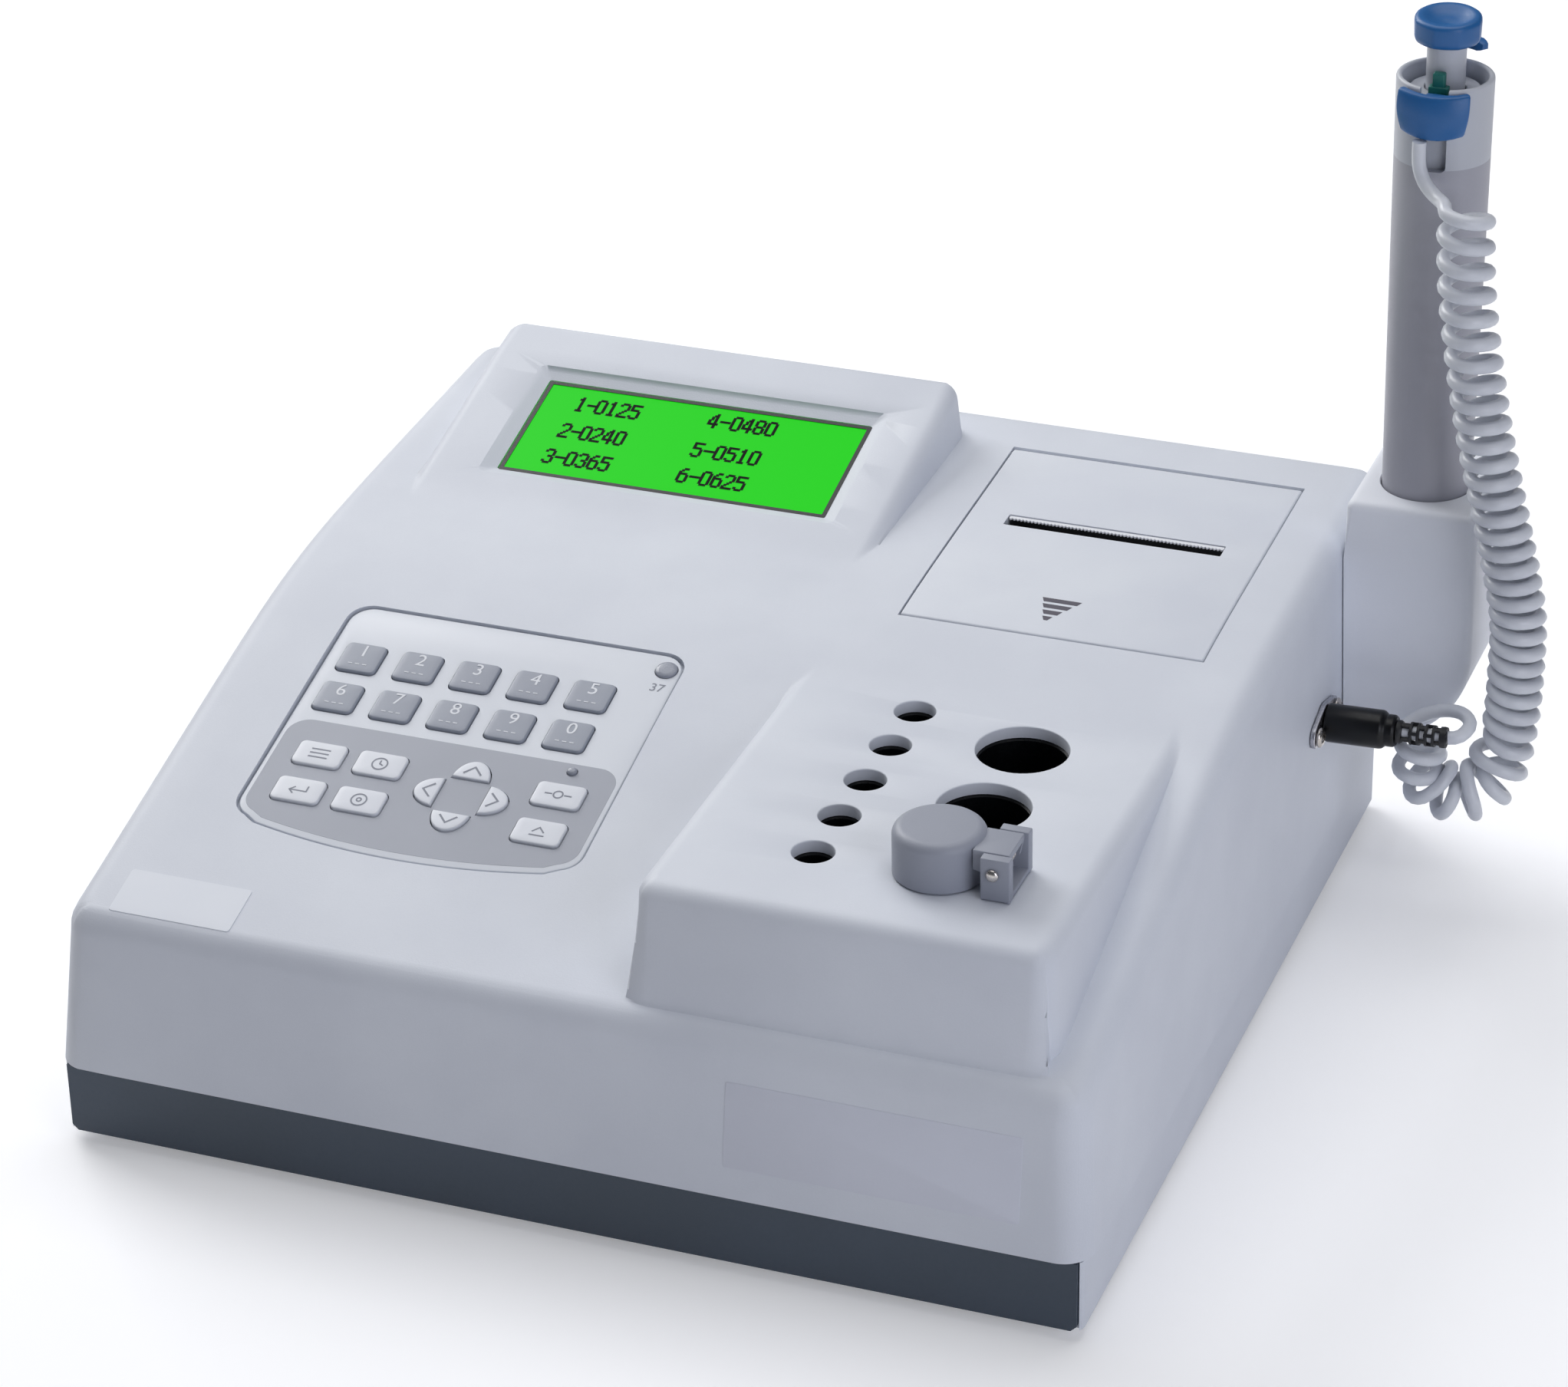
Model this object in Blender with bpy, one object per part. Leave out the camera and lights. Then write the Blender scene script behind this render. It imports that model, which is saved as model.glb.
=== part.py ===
"""Coagulation analyzer: a bench instrument with a moulded casing, a keypad, a lit display, a strip
printer under a flap, a heated well block with a hinged channel cap, and a pipette in a holder tube that
is wired to the casing by a curly cord.

Metres, +Z up, front towards -Y. The datum empty sits at the casing's front lower edge, in the middle of
the casing's width and at the underside of the tray; every place below is measured from it unless it
says otherwise. The world origin is on the floor, in the middle of the instrument without its cord.
"""

import math

import bmesh
import bpy
import numpy as np
from mathutils import Matrix, Vector

for old in list(bpy.data.objects):
    bpy.data.objects.remove(old, do_unlink=True)

# Clearances and shared values
GAP = 0.0003  # between pieces that touch or seat
OVERRUN = 0.002  # how far a cutter runs past the face it opens
LEAST_FLANK = 0.001  # width left to a flank where it has no height

# Casing outline
CASE_WIDTH = 0.270  # at its lower edge
CASE_DEPTH = 0.272
CASE_RIM = 0.0195  # height of its lower edge above the tray's underside
CASE_WALL = 0.0032
CASE_CORNER = 0.008  # corner radius in plan
CASE_EDGE = 0.0065  # roll of the upper edges
FRONT_EDGE = 0.005  # roll of the front's upper edge
SIDE_LEAN = 0.0024  # how far each side leans in from rim to deck
FRONT_LEAN = 0.0053  # how far the front leans back from rim to deck

# Deck, a curve in side view from the front edge to the rear edge, by its two end heights and two handles
DECK_FRONT_HEIGHT = 0.0605
DECK_REAR_HEIGHT = 0.1015
HANDLE_PLACE_SHARES = (0.602574, 0.416912)
HANDLE_RISE_SHARE = 0.848780
CURVE_STEPS = 160
DECK_ROWS = 8
SLOPE_ROWS = 4


def over_width(shares):
    """Places or sizes across the casing, from shares of its width."""
    return [share * CASE_WIDTH for share in shares]


def over_depth(shares):
    """Places or sizes from front to rear, from shares of the casing's depth."""
    return [share * CASE_DEPTH for share in shares]


def up_the_deck(share):
    """A height between the deck's front and rear heights."""
    return DECK_FRONT_HEIGHT + share * (DECK_REAR_HEIGHT - DECK_FRONT_HEIGHT)


HANDLE_FRONT_Y, HANDLE_REAR_Y = over_depth(HANDLE_PLACE_SHARES)
DECK_HANDLE_FRONT = (HANDLE_FRONT_Y, DECK_REAR_HEIGHT)
DECK_HANDLE_REAR = (HANDLE_REAR_Y, up_the_deck(HANDLE_RISE_SHARE))

# Raised display wedge
WEDGE_SIDE_SHARES = (-0.431481, 0.062963)
WEDGE_LEFT, WEDGE_RIGHT = over_width(WEDGE_SIDE_SHARES)
WEDGE_END_SHARES = (0.665441, 0.944853)  # where its face leaves the deck
WEDGE_START, WEDGE_REAR = over_depth(WEDGE_END_SHARES)
WEDGE_RISE = 0.0153  # of its rear over the deck's
WEDGE_TOP = DECK_REAR_HEIGHT + WEDGE_RISE
WEDGE_EDGE = 0.0045
WEDGE_CORNER = 0.006
WEDGE_DRAFT = math.radians(5)

# Raised well block
BLOCK_SIDE_SHARES = (0.062222, 0.445926)
BLOCK_LEFT, BLOCK_RIGHT = over_width(BLOCK_SIDE_SHARES)
BLOCK_FRONT_SHARE = 0.060662
BLOCK_FRONT = BLOCK_FRONT_SHARE * CASE_DEPTH
BLOCK_RISE_SHARE = 0.768293
BLOCK_TOP = up_the_deck(BLOCK_RISE_SHARE)
BLOCK_EDGE = 0.005
BLOCK_CORNER = 0.006
BLOCK_SIDE_DRAFT = math.radians(3.5)
BLOCK_FRONT_DRAFT = math.radians(10)

# Tray, front band and feet
TRAY_INSET = 0.0015
TRAY_WALL = 0.004
TRAY_FLOOR = 0.0025
TRAY_TONGUE_HEIGHT = 0.0045
TRAY_CORNER = 0.003
BAND_THICK = 0.0016
BAND_END_MARGIN = 0.0012
BAND_CHAMFER = 0.0015
FOOT_HEIGHT = 0.003
FOOT_RADIUS = 0.007
FOOT_TAPER = 0.0008
FOOT_MARGIN = 0.022

# Display
SCREEN_SIDE_SHARES = (-0.351852, -0.008148)
SCREEN_LEFT, SCREEN_RIGHT = over_width(SCREEN_SIDE_SHARES)
SCREEN_END_SHARES = (0.724265, 0.857721)  # along Y
SCREEN_FRONT, SCREEN_REAR = over_depth(SCREEN_END_SHARES)
SCREEN_BORDER = 0.0010
SCREEN_THICK = 0.0014
SCREEN_DEPTH = 0.0018  # under the wedge's face
SCREEN_BEVEL = 0.0040  # width of the sloping surround
MODULE_MARGIN = 0.0045
MODULE_THICK = 0.0055

# Keypad: a flat panel let into the deck, with keys through it and a board under it
PAD_SIDE_SHARES = (-0.392593, -0.042593)
PAD_LEFT, PAD_RIGHT = over_width(PAD_SIDE_SHARES)
PAD_END_SHARES = (0.174632, 0.465074)  # along Y, at its front corners
PAD_FRONT, PAD_REAR = over_depth(PAD_END_SHARES)
PAD_BOW = 0.0060  # how far the front edge bows out
BOW_SHARE = 0.92  # of the arc between the corners, the rest eases into them
PAD_CORNER = 0.0065
PAD_SUNK = 0.0004
PAD_THICK = 0.0012
PAD_LEDGE = 0.0014
BOARD_THICK = 0.0016
BOARD_UNDER = 0.0043  # from the pad's datum plane down to the board's face
BOARD_MARGIN = 0.0012
KEY_PROUD = 0.0006
KEY_TRAVEL = 0.0005
KEY_FLANGE = 0.0005
KEY_CORNER = 0.0016
KEY_ROUND = 0.0003
DIGIT_WIDE_SHARES = (0.041481, 0.059259, -0.354815)  # key, pitch, first key's middle
DIGIT_WIDTH, DIGIT_PITCH, DIGIT_FIRST_X = over_width(DIGIT_WIDE_SHARES)
DIGIT_LONG_SHARES = (0.038971, 0.054044, 0.393382)  # key, step between rows, rear row
DIGIT_DEPTH, DIGIT_ROW_STEP, DIGIT_FIRST_Y = over_depth(DIGIT_LONG_SHARES)
DIGIT_FIRST = (DIGIT_FIRST_X, DIGIT_FIRST_Y)
WHITE_WIDE_SHARES = (0.048889, 0.062222)  # key and pitch
WHITE_WIDTH, WHITE_PITCH = over_width(WHITE_WIDE_SHARES)
WHITE_LONG_SHARES = (0.030882, 0.047794, 0.263971)  # key, step between rows, rear row
WHITE_DEPTH, WHITE_ROW_STEP, WHITE_REAR = over_depth(WHITE_LONG_SHARES)
WHITE_SIDE_SHARES = (-0.339259, -0.096296)  # middles of the first and last columns
WHITE_LEFT, WHITE_RIGHT = over_width(WHITE_SIDE_SHARES)
ARROW_SHARES = (-0.185926, 0.243382)
ARROW_CENTRE = (ARROW_SHARES[0] * CASE_WIDTH, ARROW_SHARES[1] * CASE_DEPTH)
ARROW_OUT = 0.0059  # from the cross's middle to an arrow key's flat side
ARROW_HALF = 0.0050
ARROW_REACH = 0.0067
TEMP_LAMP_MARGINS = (0.0047, 0.0059)  # from the panel's right and rear edges
TEMP_LAMP_AT = (PAD_RIGHT - TEMP_LAMP_MARGINS[0], PAD_REAR - TEMP_LAMP_MARGINS[1])
TEMP_LAMP_RADIUS = 0.0029
STATUS_LAMP_AHEAD = 0.0090  # past the middle of the key before it
STATUS_LAMP_AT = (WHITE_RIGHT, WHITE_REAR + STATUS_LAMP_AHEAD)
STATUS_LAMP_RADIUS = 0.0013
LAMP_CROWN_SHARE = 0.8

# Printer: flap, tear bar, open bay, roller and head
FLAP_SIDE_SHARES = (0.124074, 0.427407)
FLAP_LEFT, FLAP_RIGHT = over_width(FLAP_SIDE_SHARES)
FLAP_END_SHARES = (0.577206, 0.926471)
FLAP_FRONT, FLAP_REAR = over_depth(FLAP_END_SHARES)
FLAP_THICK = 0.0030
FLAP_GAP = 0.0004
FLAP_SAMPLES = 8
FLAP_PIN_RADIUS = 0.0008
FLAP_PIN_LENGTH = 0.0016
FLAP_PIN_ROOM = 0.0002
SLOT_MARGIN = 0.0111  # from the flap's sides to the slot's ends
SLOT_LEFT = FLAP_LEFT + SLOT_MARGIN
SLOT_RIGHT = FLAP_RIGHT - SLOT_MARGIN
SLOT_END_SHARES = (0.769853, 0.790809)
SLOT_FRONT, SLOT_REAR = over_depth(SLOT_END_SHARES)
TEAR_WIDTH = 0.0026
TEAR_TOOTH = 0.0008
TEAR_TEETH = 30
TEAR_THICK = 0.0012
TEAR_SUNK = 0.0007
BAY_MARGIN = 0.0020  # from the flap's sides to the bay's side plates
BAY_WALL = 0.0020
BAY_END_SHARES = (0.590074, 0.908088)
BAY_FRONT, BAY_REAR = over_depth(BAY_END_SHARES)
BAY_FLOOR = 0.0460
PLATEN_PLACE_SHARE = 0.784926
PLATEN_UNDER = 0.0155  # its middle under the deck's rear height
PLATEN_AT = (PLATEN_PLACE_SHARE * CASE_DEPTH, DECK_REAR_HEIGHT - PLATEN_UNDER)
PLATEN_RADIUS = 0.0050
PLATEN_LENGTH_SHARE = 0.708181  # of the flap's width
PLATEN_LENGTH = PLATEN_LENGTH_SHARE * (FLAP_RIGHT - FLAP_LEFT)
PLATEN_PIN_RADIUS = 0.0015
PLATEN_PIN_ROOM = 0.0001
HEAD_THICK = 0.0045
HEAD_HEIGHT = 0.0120

# Wells and the metal block under them
WELL_PLACE_SHARES = (0.193333, 0.310370)  # the two rows' middles
SMALL_WELL_X, LARGE_WELL_X = over_width(WELL_PLACE_SHARES)
SMALL_WELL_SHARES = (0.162132, 0.067279)
SMALL_WELL_FIRST, SMALL_WELL_PITCH = over_depth(SMALL_WELL_SHARES)
SMALL_WELL_COUNT = 5
SMALL_WELL_RADIUS = 0.0053
LARGE_WELL_SHARES = (0.394118, 0.284559)
LARGE_WELL_YS = over_depth(LARGE_WELL_SHARES)
LARGE_WELL_RADIUS = 0.01175
CHANNEL_SHARE = 0.165441
CHANNEL_Y = CHANNEL_SHARE * CASE_DEPTH
CHANNEL_RADIUS = 0.0053
WELL_STEP = 0.0003  # how much narrower the metal bore is than the casing's hole
WELL_DEPTH = 0.034
METAL_LEFT_MARGIN = 0.0029  # of metal outside the wells, on each side
METAL_RIGHT_MARGIN = 0.00195
METAL_FRONT_MARGIN = 0.0053
METAL_REAR_MARGIN = 0.0019
METAL_LEFT = SMALL_WELL_X - SMALL_WELL_RADIUS - METAL_LEFT_MARGIN
METAL_RIGHT = LARGE_WELL_X + LARGE_WELL_RADIUS + METAL_RIGHT_MARGIN
METAL_FRONT = SMALL_WELL_FIRST - SMALL_WELL_RADIUS - METAL_FRONT_MARGIN
SMALL_WELL_LAST = SMALL_WELL_FIRST + SMALL_WELL_PITCH * (SMALL_WELL_COUNT - 1)
METAL_REAR = SMALL_WELL_LAST + SMALL_WELL_RADIUS + METAL_REAR_MARGIN
METAL_HEIGHT = 0.0385
POST_RADIUS = 0.0040
POST_MARGIN = 0.0050

# Channel cap, its arm, bracket, pin and spring
CAP_RADIUS = 0.0114
CAP_HEIGHT = 0.0127
CAP_EDGE = 0.0026
CAP_HOLLOW_RADIUS = 0.0090
CAP_HOLLOW_DEPTH = 0.0090
PIN_REACH = 0.0162  # from the channel's middle to the hinge pin
PIN_X = LARGE_WELL_X + PIN_REACH
PIN_HEIGHT = 0.0073  # above the well block's top
PIN_RADIUS = 0.0010
PIN_ROOM = 0.0001
PIN_HEAD_RADIUS = 0.0016
PIN_HEAD_HEIGHT = 0.0009
BRACKET_BEFORE = 0.0031  # to the left of the pin
BRACKET_PAST = 0.0042
BRACKET_AHEAD = 0.0094  # in front of the channel's middle
BRACKET_BEHIND = 0.0080
BRACKET_LEFT = PIN_X - BRACKET_BEFORE
BRACKET_RIGHT = PIN_X + BRACKET_PAST
BRACKET_FRONT = CHANNEL_Y - BRACKET_AHEAD
BRACKET_REAR = CHANNEL_Y + BRACKET_BEHIND
BRACKET_HEIGHT = 0.0111
BRACKET_BASE = 0.0014
EAR_THICK = 0.0028
ARM_TOP = 0.0041  # above the pin
ARM_THICK = 0.0016
ARM_END = 0.0032  # past the pin
CHEEK_THICK = 0.0018
CHEEK_RADIUS = 0.0026
SPRING_RADIUS = 0.00175
SPRING_WIRE = 0.0006
SPRING_CURLS = 5

# Arm block and holder tube on the right rear side
ARM_REACH = 0.033  # past the casing's side
ARM_RIGHT = CASE_WIDTH / 2 + ARM_REACH
ARM_END_SHARES = (0.834559, 0.998162)
ARM_FRONT, ARM_REAR = over_depth(ARM_END_SHARES)
ARM_BOTTOM = 0.042
ARM_HEIGHT = 0.1115
ARM_SWEEP = 0.028
ARM_EDGE = 0.0022
TUBE_REACH = 0.015  # from the casing's side to its axis
TUBE_X = CASE_WIDTH / 2 + TUBE_REACH
TUBE_PLACE_SHARE = 0.900735
TUBE_Y = TUBE_PLACE_SHARE * CASE_DEPTH
TUBE_FOOT_RADIUS = 0.0117
TUBE_TOP_RADIUS = 0.01245
TUBE_WALL = 0.0016
PIPETTE_TOP = 0.2225
TUBE_PAST = 0.0035  # of the tube's top over the pipette's
TUBE_TOP = PIPETTE_TOP + TUBE_PAST
TUBE_SOCKET = 0.006  # how deep it stands in the arm block
TUBE_LEDGE = 0.150
TUBE_LOWER_BORE = 0.0075
TUBE_SLOT_WIDTH = 0.013
TUBE_SLOT_DEPTH = 0.022
TUBE_SLOT_BOTTOM = TUBE_TOP - TUBE_SLOT_DEPTH

# Pipette
PIPETTE_RADIUS = 0.0093
PIPETTE_SHAFT_RADIUS = 0.0068
PIPETTE_CONE_TOP = 0.135
PIPETTE_TIP_RADIUS = 0.0026
PIPETTE_TIP = 0.114
ROD_RADIUS = 0.0050
ROD_SUNK = 0.0085  # into the pipette's top
ROD_BOTTOM = PIPETTE_TOP - ROD_SUNK
ROD_BORE_DEPTH = 0.0175
ROD_BORE_BOTTOM = PIPETTE_TOP - ROD_BORE_DEPTH
BUTTON_RADIUS = 0.0089
BUTTON_CLEAR = 0.0105  # over the pipette's top
BUTTON_BOTTOM = PIPETTE_TOP + BUTTON_CLEAR
BUTTON_HEIGHT = 0.0120
BUTTON_TOP = BUTTON_BOTTOM + BUTTON_HEIGHT
BUTTON_SIDES = 8
BUTTON_DISH = 0.0012
EJECTOR_INNER = 0.0095
EJECTOR_OUTER = 0.0133
EJECTOR_CLEAR = 0.0068
EJECTOR_BOTTOM = PIPETTE_TOP + EJECTOR_CLEAR
EJECTOR_THICK = 0.0030
EJECTOR_TOP = EJECTOR_BOTTOM + EJECTOR_THICK
EJECTOR_HALF_ANGLE = math.radians(42)
EJECTOR_STEM_HALF_ANGLE = math.radians(14)
EJECTOR_STEM_OUTER = 0.0103
EJECTOR_STEM_SUNK = 0.0145
EJECTOR_STEM_BOTTOM = PIPETTE_TOP - EJECTOR_STEM_SUNK
REST_INNER = 0.0129
REST_OUTER = 0.0160
REST_HALF_ANGLE = math.radians(38)
REST_UNDER = 0.0092
REST_BOTTOM = PIPETTE_TOP - REST_UNDER
REST_HEIGHT = 0.0123
REST_TOP = REST_BOTTOM + REST_HEIGHT
REST_WEB_WIDTH = 0.0100
TAB_WIDTH = 0.0052
TAB_NEAR = 0.0056
TAB_FAR = 0.0081
TAB_CLEAR = 0.0063
TAB_TOP = PIPETTE_TOP + TAB_CLEAR
TAB_HEIGHT = 0.0082
TAB_BOTTOM = TAB_TOP - TAB_HEIGHT
TAB_TRAVEL = 0.0035

# Jack socket, plug, strain relief and curly cord
JACK_AHEAD = 0.039  # in front of the tube's axis
JACK_Y = TUBE_Y - JACK_AHEAD
JACK_Z = 0.057
JACK_FLANGE_LENGTH = 0.0236
JACK_FLANGE_HEIGHT = 0.0110
JACK_FLANGE_THICK = 0.0012
JACK_ROUND_SHARE = 0.9  # of half its height, at the flange's corners
JACK_SCREW_SPACING = 0.0172
JACK_BARREL_RADIUS = 0.0046
JACK_BARREL_LENGTH = 0.0120
JACK_BORE_RADIUS = 0.0033
SCREW_HEAD_RADIUS = 0.0027
SCREW_HEAD_HEIGHT = 0.0016
SCREW_RIM_SHARE = 0.9  # where its head's side turns into the dome
SCREW_RISE_SHARE = 0.6
SCREW_SHANK_RADIUS = 0.0013
SCREW_LENGTH = 0.0060
PLUG_RADIUS = 0.00515
PLUG_LENGTH = 0.0186
PLUG_SHOULDER_RADIUS = 0.0043
PLUG_SHOULDER_LENGTH = 0.0025
PLUG_TIP_RADIUS = 0.0029
PLUG_TIP_LENGTH = 0.0100
RELIEF_LENGTH = 0.0131
RELIEF_RADIUS = 0.0031
RELIEF_NECK_RADIUS = 0.0024
RELIEF_RIBS = 6
CORD_DIAMETER = 0.0036
CORD_COIL_RADIUS = 0.0058  # from the coil's axis to the middle of the cord
CORD_POINTS_PER_CURL = 8
CORD_SAMPLES = 600
CORD_FIRST_ANGLE = math.radians(75)

# Rear: mains inlet, rocker switch and vents
REAR_PLACE_SHARES = (-0.351852, -0.222222, -0.118519)  # inlet, switch, first vent
INLET_X, SWITCH_X, VENT_FIRST_X = over_width(REAR_PLACE_SHARES)
INLET_Z = 0.050
INLET_WIDTH = 0.0300
INLET_HEIGHT = 0.0240
INLET_DEPTH = 0.0220
INLET_MOUTH_WIDTH = 0.0246
INLET_MOUTH_HEIGHT = 0.0170
INLET_MOUTH_DEPTH = 0.0170
INLET_PIN_WIDTH = 0.0020
INLET_PIN_HEIGHT = 0.0040
INLET_PIN_LENGTH = 0.0150
INLET_PIN_SPACING = 0.0140
INLET_PIN_RISE = 0.0020
SWITCH_WIDTH = 0.0120
SWITCH_RADIUS = 0.0080
SWITCH_PIVOT_DEPTH = 0.0061
SWITCH_TILT = math.radians(8)
SWITCH_LIP_ANGLE = math.radians(51)
SWITCH_HOLLOW = 0.0009
VENT_WIDTH = 0.0030
VENT_HEIGHT = 0.0220
VENT_PITCH = 0.0080
VENT_COUNT = 9
VENT_BOTTOM = 0.040

# Main board on the tray
MAIN_SIDE_SHARES = (-0.425926, 0.074074)
MAIN_LEFT, MAIN_RIGHT = over_width(MAIN_SIDE_SHARES)
MAIN_END_SHARES = (0.183824, 0.735294)
MAIN_FRONT, MAIN_REAR = over_depth(MAIN_END_SHARES)
MAIN_HEIGHT = 0.012
SUPPLY_SIZE = (0.050, 0.070, 0.030)
CHIP_SIZE = (0.024, 0.024, 0.003)

ROUND_STEPS = 24
SMALL_STEPS = 14
EDGE_STEPS = 3

# The datum that carries everything: the instrument without its cord is centred on the world origin
CASE_OFFSET_X = -(ARM_RIGHT - CASE_WIDTH / 2) / 2
case = bpy.data.objects.new("case_datum", None)
case.location = (CASE_OFFSET_X, -CASE_DEPTH / 2, FOOT_HEIGHT)
bpy.context.collection.objects.link(case)


# Colours from the photograph, as (red, green, blue, roughness, metallic)
SHELL = (0.62, 0.66, 0.74, 0.55, 0.0)
BAND = (0.035, 0.052, 0.082, 0.5, 0.0)
RUBBER = (0.03, 0.03, 0.03, 0.9, 0.0)
BLACK = (0.008, 0.008, 0.009, 0.4, 0.0)
GREEN_GLASS = (0.03, 0.70, 0.02, 0.2, 0.0)
PANEL = (0.72, 0.75, 0.82, 0.5, 0.0)
KEY_GREY = (0.30, 0.33, 0.40, 0.5, 0.0)
KEY_WHITE = (0.72, 0.75, 0.80, 0.5, 0.0)
LAMP = (0.42, 0.45, 0.50, 0.3, 0.0)
BOARD_GREEN = (0.02, 0.10, 0.05, 0.5, 0.0)
CAP_GREY = (0.27, 0.31, 0.37, 0.5, 0.0)
STEEL = (0.62, 0.60, 0.58, 0.25, 1.0)
TUBE_GREY = (0.36, 0.38, 0.43, 0.45, 0.0)
PALE = (0.60, 0.62, 0.68, 0.45, 0.0)
BLUE = (0.02, 0.11, 0.33, 0.45, 0.0)
TEAL = (0.02, 0.17, 0.15, 0.45, 0.0)
CORD_GREY = (0.60, 0.63, 0.69, 0.4, 0.0)
ANODISED = (0.010, 0.011, 0.014, 0.35, 0.4)


def material(name, look):
    red, green, blue, roughness, metallic = look
    made = bpy.data.materials.new(name)
    made.use_nodes = True
    shader = made.node_tree.nodes["Principled BSDF"]
    shader.inputs["Base Color"].default_value = (red, green, blue, 1.0)
    shader.inputs["Roughness"].default_value = roughness
    shader.inputs["Metallic"].default_value = metallic
    made.diffuse_color = (red, green, blue, 1.0)
    return made


def add(name, shape, look, at=(0, 0, 0), turn=(0, 0, 0), parent=None):
    """Makes a named object from a bmesh, with its material, placed in its parent's frame."""
    mesh = bpy.data.meshes.new(name)
    bmesh.ops.recalc_face_normals(shape, faces=shape.faces)
    shape.to_mesh(mesh)
    shape.free()
    mesh.shade_smooth()
    mesh.set_sharp_from_angle(angle=math.radians(35))
    made = bpy.data.objects.new(name, mesh)
    bpy.context.collection.objects.link(made)
    made.parent = parent or case
    made.location = at
    made.rotation_euler = turn
    if look:
        mesh.materials.append(material(name, look))
    return made


def helper(name, shape, at=(0, 0, 0), turn=(0, 0, 0), parent=None):
    """A cutter or a shape to be joined: never rendered, and drawn as wire."""
    made = add(name, shape, None, at, turn, parent)
    made.hide_render = True
    made.display_type = "WIRE"
    return made


def combine(target, other, operation):
    step = target.modifiers.new(other.name, "BOOLEAN")
    step.operation = operation
    step.solver = "EXACT"
    step.object = other


def cut(target, other):
    combine(target, other, "DIFFERENCE")


def join(target, other):
    combine(target, other, "UNION")


def soften(target, width, steps=2, angle=40):
    step = target.modifiers.new("soften", "BEVEL")
    step.width = width
    step.segments = steps
    step.limit_method = "ANGLE"
    step.angle_limit = math.radians(angle)


def empty(name, at, turn=(0, 0, 0)):
    made = bpy.data.objects.new(name, None)
    bpy.context.collection.objects.link(made)
    made.parent = case
    made.location = at
    made.rotation_euler = turn
    return made


def prism(outline, low, high, shape=None, place=lambda a, b, c: (a, b, c)):
    """A closed prism over an outline in X and Y, from one height to another."""
    shape = shape or bmesh.new()
    lower = [shape.verts.new(place(a, b, low)) for a, b in outline]
    upper = [shape.verts.new(place(a, b, high)) for a, b in outline]
    bridge([lower, upper], shape)
    return shape


def bridge(rings, shape):
    """Faces between rings of as many points each, closed by the first and the last."""
    shape.faces.new(rings[0][::-1])
    shape.faces.new(rings[-1])
    count = len(rings[0])
    for lower, upper in zip(rings, rings[1:]):
        for i in range(count):
            j = (i + 1) % count
            shape.faces.new((lower[i], lower[j], upper[j], upper[i]))


def side_prism(outline, left, right, shape=None):
    """A prism whose outline is in Y and Z, run along X."""
    return prism(outline, left, right, shape, lambda a, b, c: (c, a, b))


def front_prism(outline, front, rear, shape=None):
    """A prism whose outline is in X and Z, run along Y."""
    return prism(outline, front, rear, shape, lambda a, b, c: (a, c, b))


def rectangle(left, right, front, rear):
    return [(left, front), (right, front), (right, rear), (left, rear)]


def box(left, right, front, rear, low, high, shape=None):
    return prism(rectangle(left, right, front, rear), low, high, shape)


def arc(centre_x, centre_y, radius, start, end, steps):
    """Points along an arc, its ends included; angles in degrees."""
    angles = np.radians(np.linspace(start, end, steps + 1))
    return [(centre_x + radius * math.cos(a), centre_y + radius * math.sin(a)) for a in angles]


def rounded(left, right, front, rear, radius, steps=EDGE_STEPS):
    return (
        arc(right - radius, rear - radius, radius, 0, 90, steps)
        + arc(left + radius, rear - radius, radius, 90, 180, steps)
        + arc(left + radius, front + radius, radius, 180, 270, steps)
        + arc(right - radius, front + radius, radius, 270, 360, steps)
    )


def circle(x, y, radius, steps=ROUND_STEPS):
    angles = np.arange(steps) * 2 * math.pi / steps
    return [(x + radius * math.cos(a), y + radius * math.sin(a)) for a in angles]


def turned(profile, steps=ROUND_STEPS, shape=None):
    """A solid turned about Z from (radius, height) points that run up its outside and close on the axis."""
    shape = shape or bmesh.new()
    angles = np.arange(steps) * 2 * math.pi / steps
    rings = []
    for radius, height in profile:
        if radius == 0:
            rings.append([shape.verts.new((0, 0, height))])
        else:
            ring = [(radius * math.cos(a), radius * math.sin(a), height) for a in angles]
            rings.append([shape.verts.new(point) for point in ring])
    for lower, upper in zip(rings, rings[1:]):
        for i in range(steps):
            j = (i + 1) % steps
            corners = [lower[i % len(lower)], lower[j % len(lower)]]
            corners += [upper[j % len(upper)], upper[i % len(upper)]]
            distinct = list(dict.fromkeys(corners))
            if len(distinct) > 2:
                shape.faces.new(distinct)
    return shape


def tube_shape(profile, steps=ROUND_STEPS):
    """A ring turned about Z from a closed profile that never meets the axis."""
    shape = bmesh.new()
    angles = np.arange(steps) * 2 * math.pi / steps
    rings = [[shape.verts.new((r * math.cos(a), r * math.sin(a), z)) for a in angles] for r, z in profile]
    for lower, upper in zip(rings, rings[1:] + rings[:1]):
        for i in range(steps):
            j = (i + 1) % steps
            shape.faces.new((lower[i], lower[j], upper[j], upper[i]))
    return shape


# Side view curves of the casing

DECK_CURVE = np.array(
    [(FRONT_LEAN, DECK_FRONT_HEIGHT), DECK_HANDLE_FRONT, DECK_HANDLE_REAR, (CASE_DEPTH, DECK_REAR_HEIGHT)]
)


def deck_height(y):
    """The deck's height at Y: a cubic curve through its ends, pulled by its two handles."""
    t = np.linspace(0, 1, CURVE_STEPS)[:, None]
    weights = np.hstack([(1 - t) ** 3, 3 * (1 - t) ** 2 * t, 3 * (1 - t) * t**2, t**3])
    curve = weights @ DECK_CURVE
    return np.interp(y, curve[:, 0], curve[:, 1])


WEDGE_SLOPE = (WEDGE_TOP - float(deck_height(WEDGE_START))) / (WEDGE_REAR - WEDGE_START)


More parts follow.
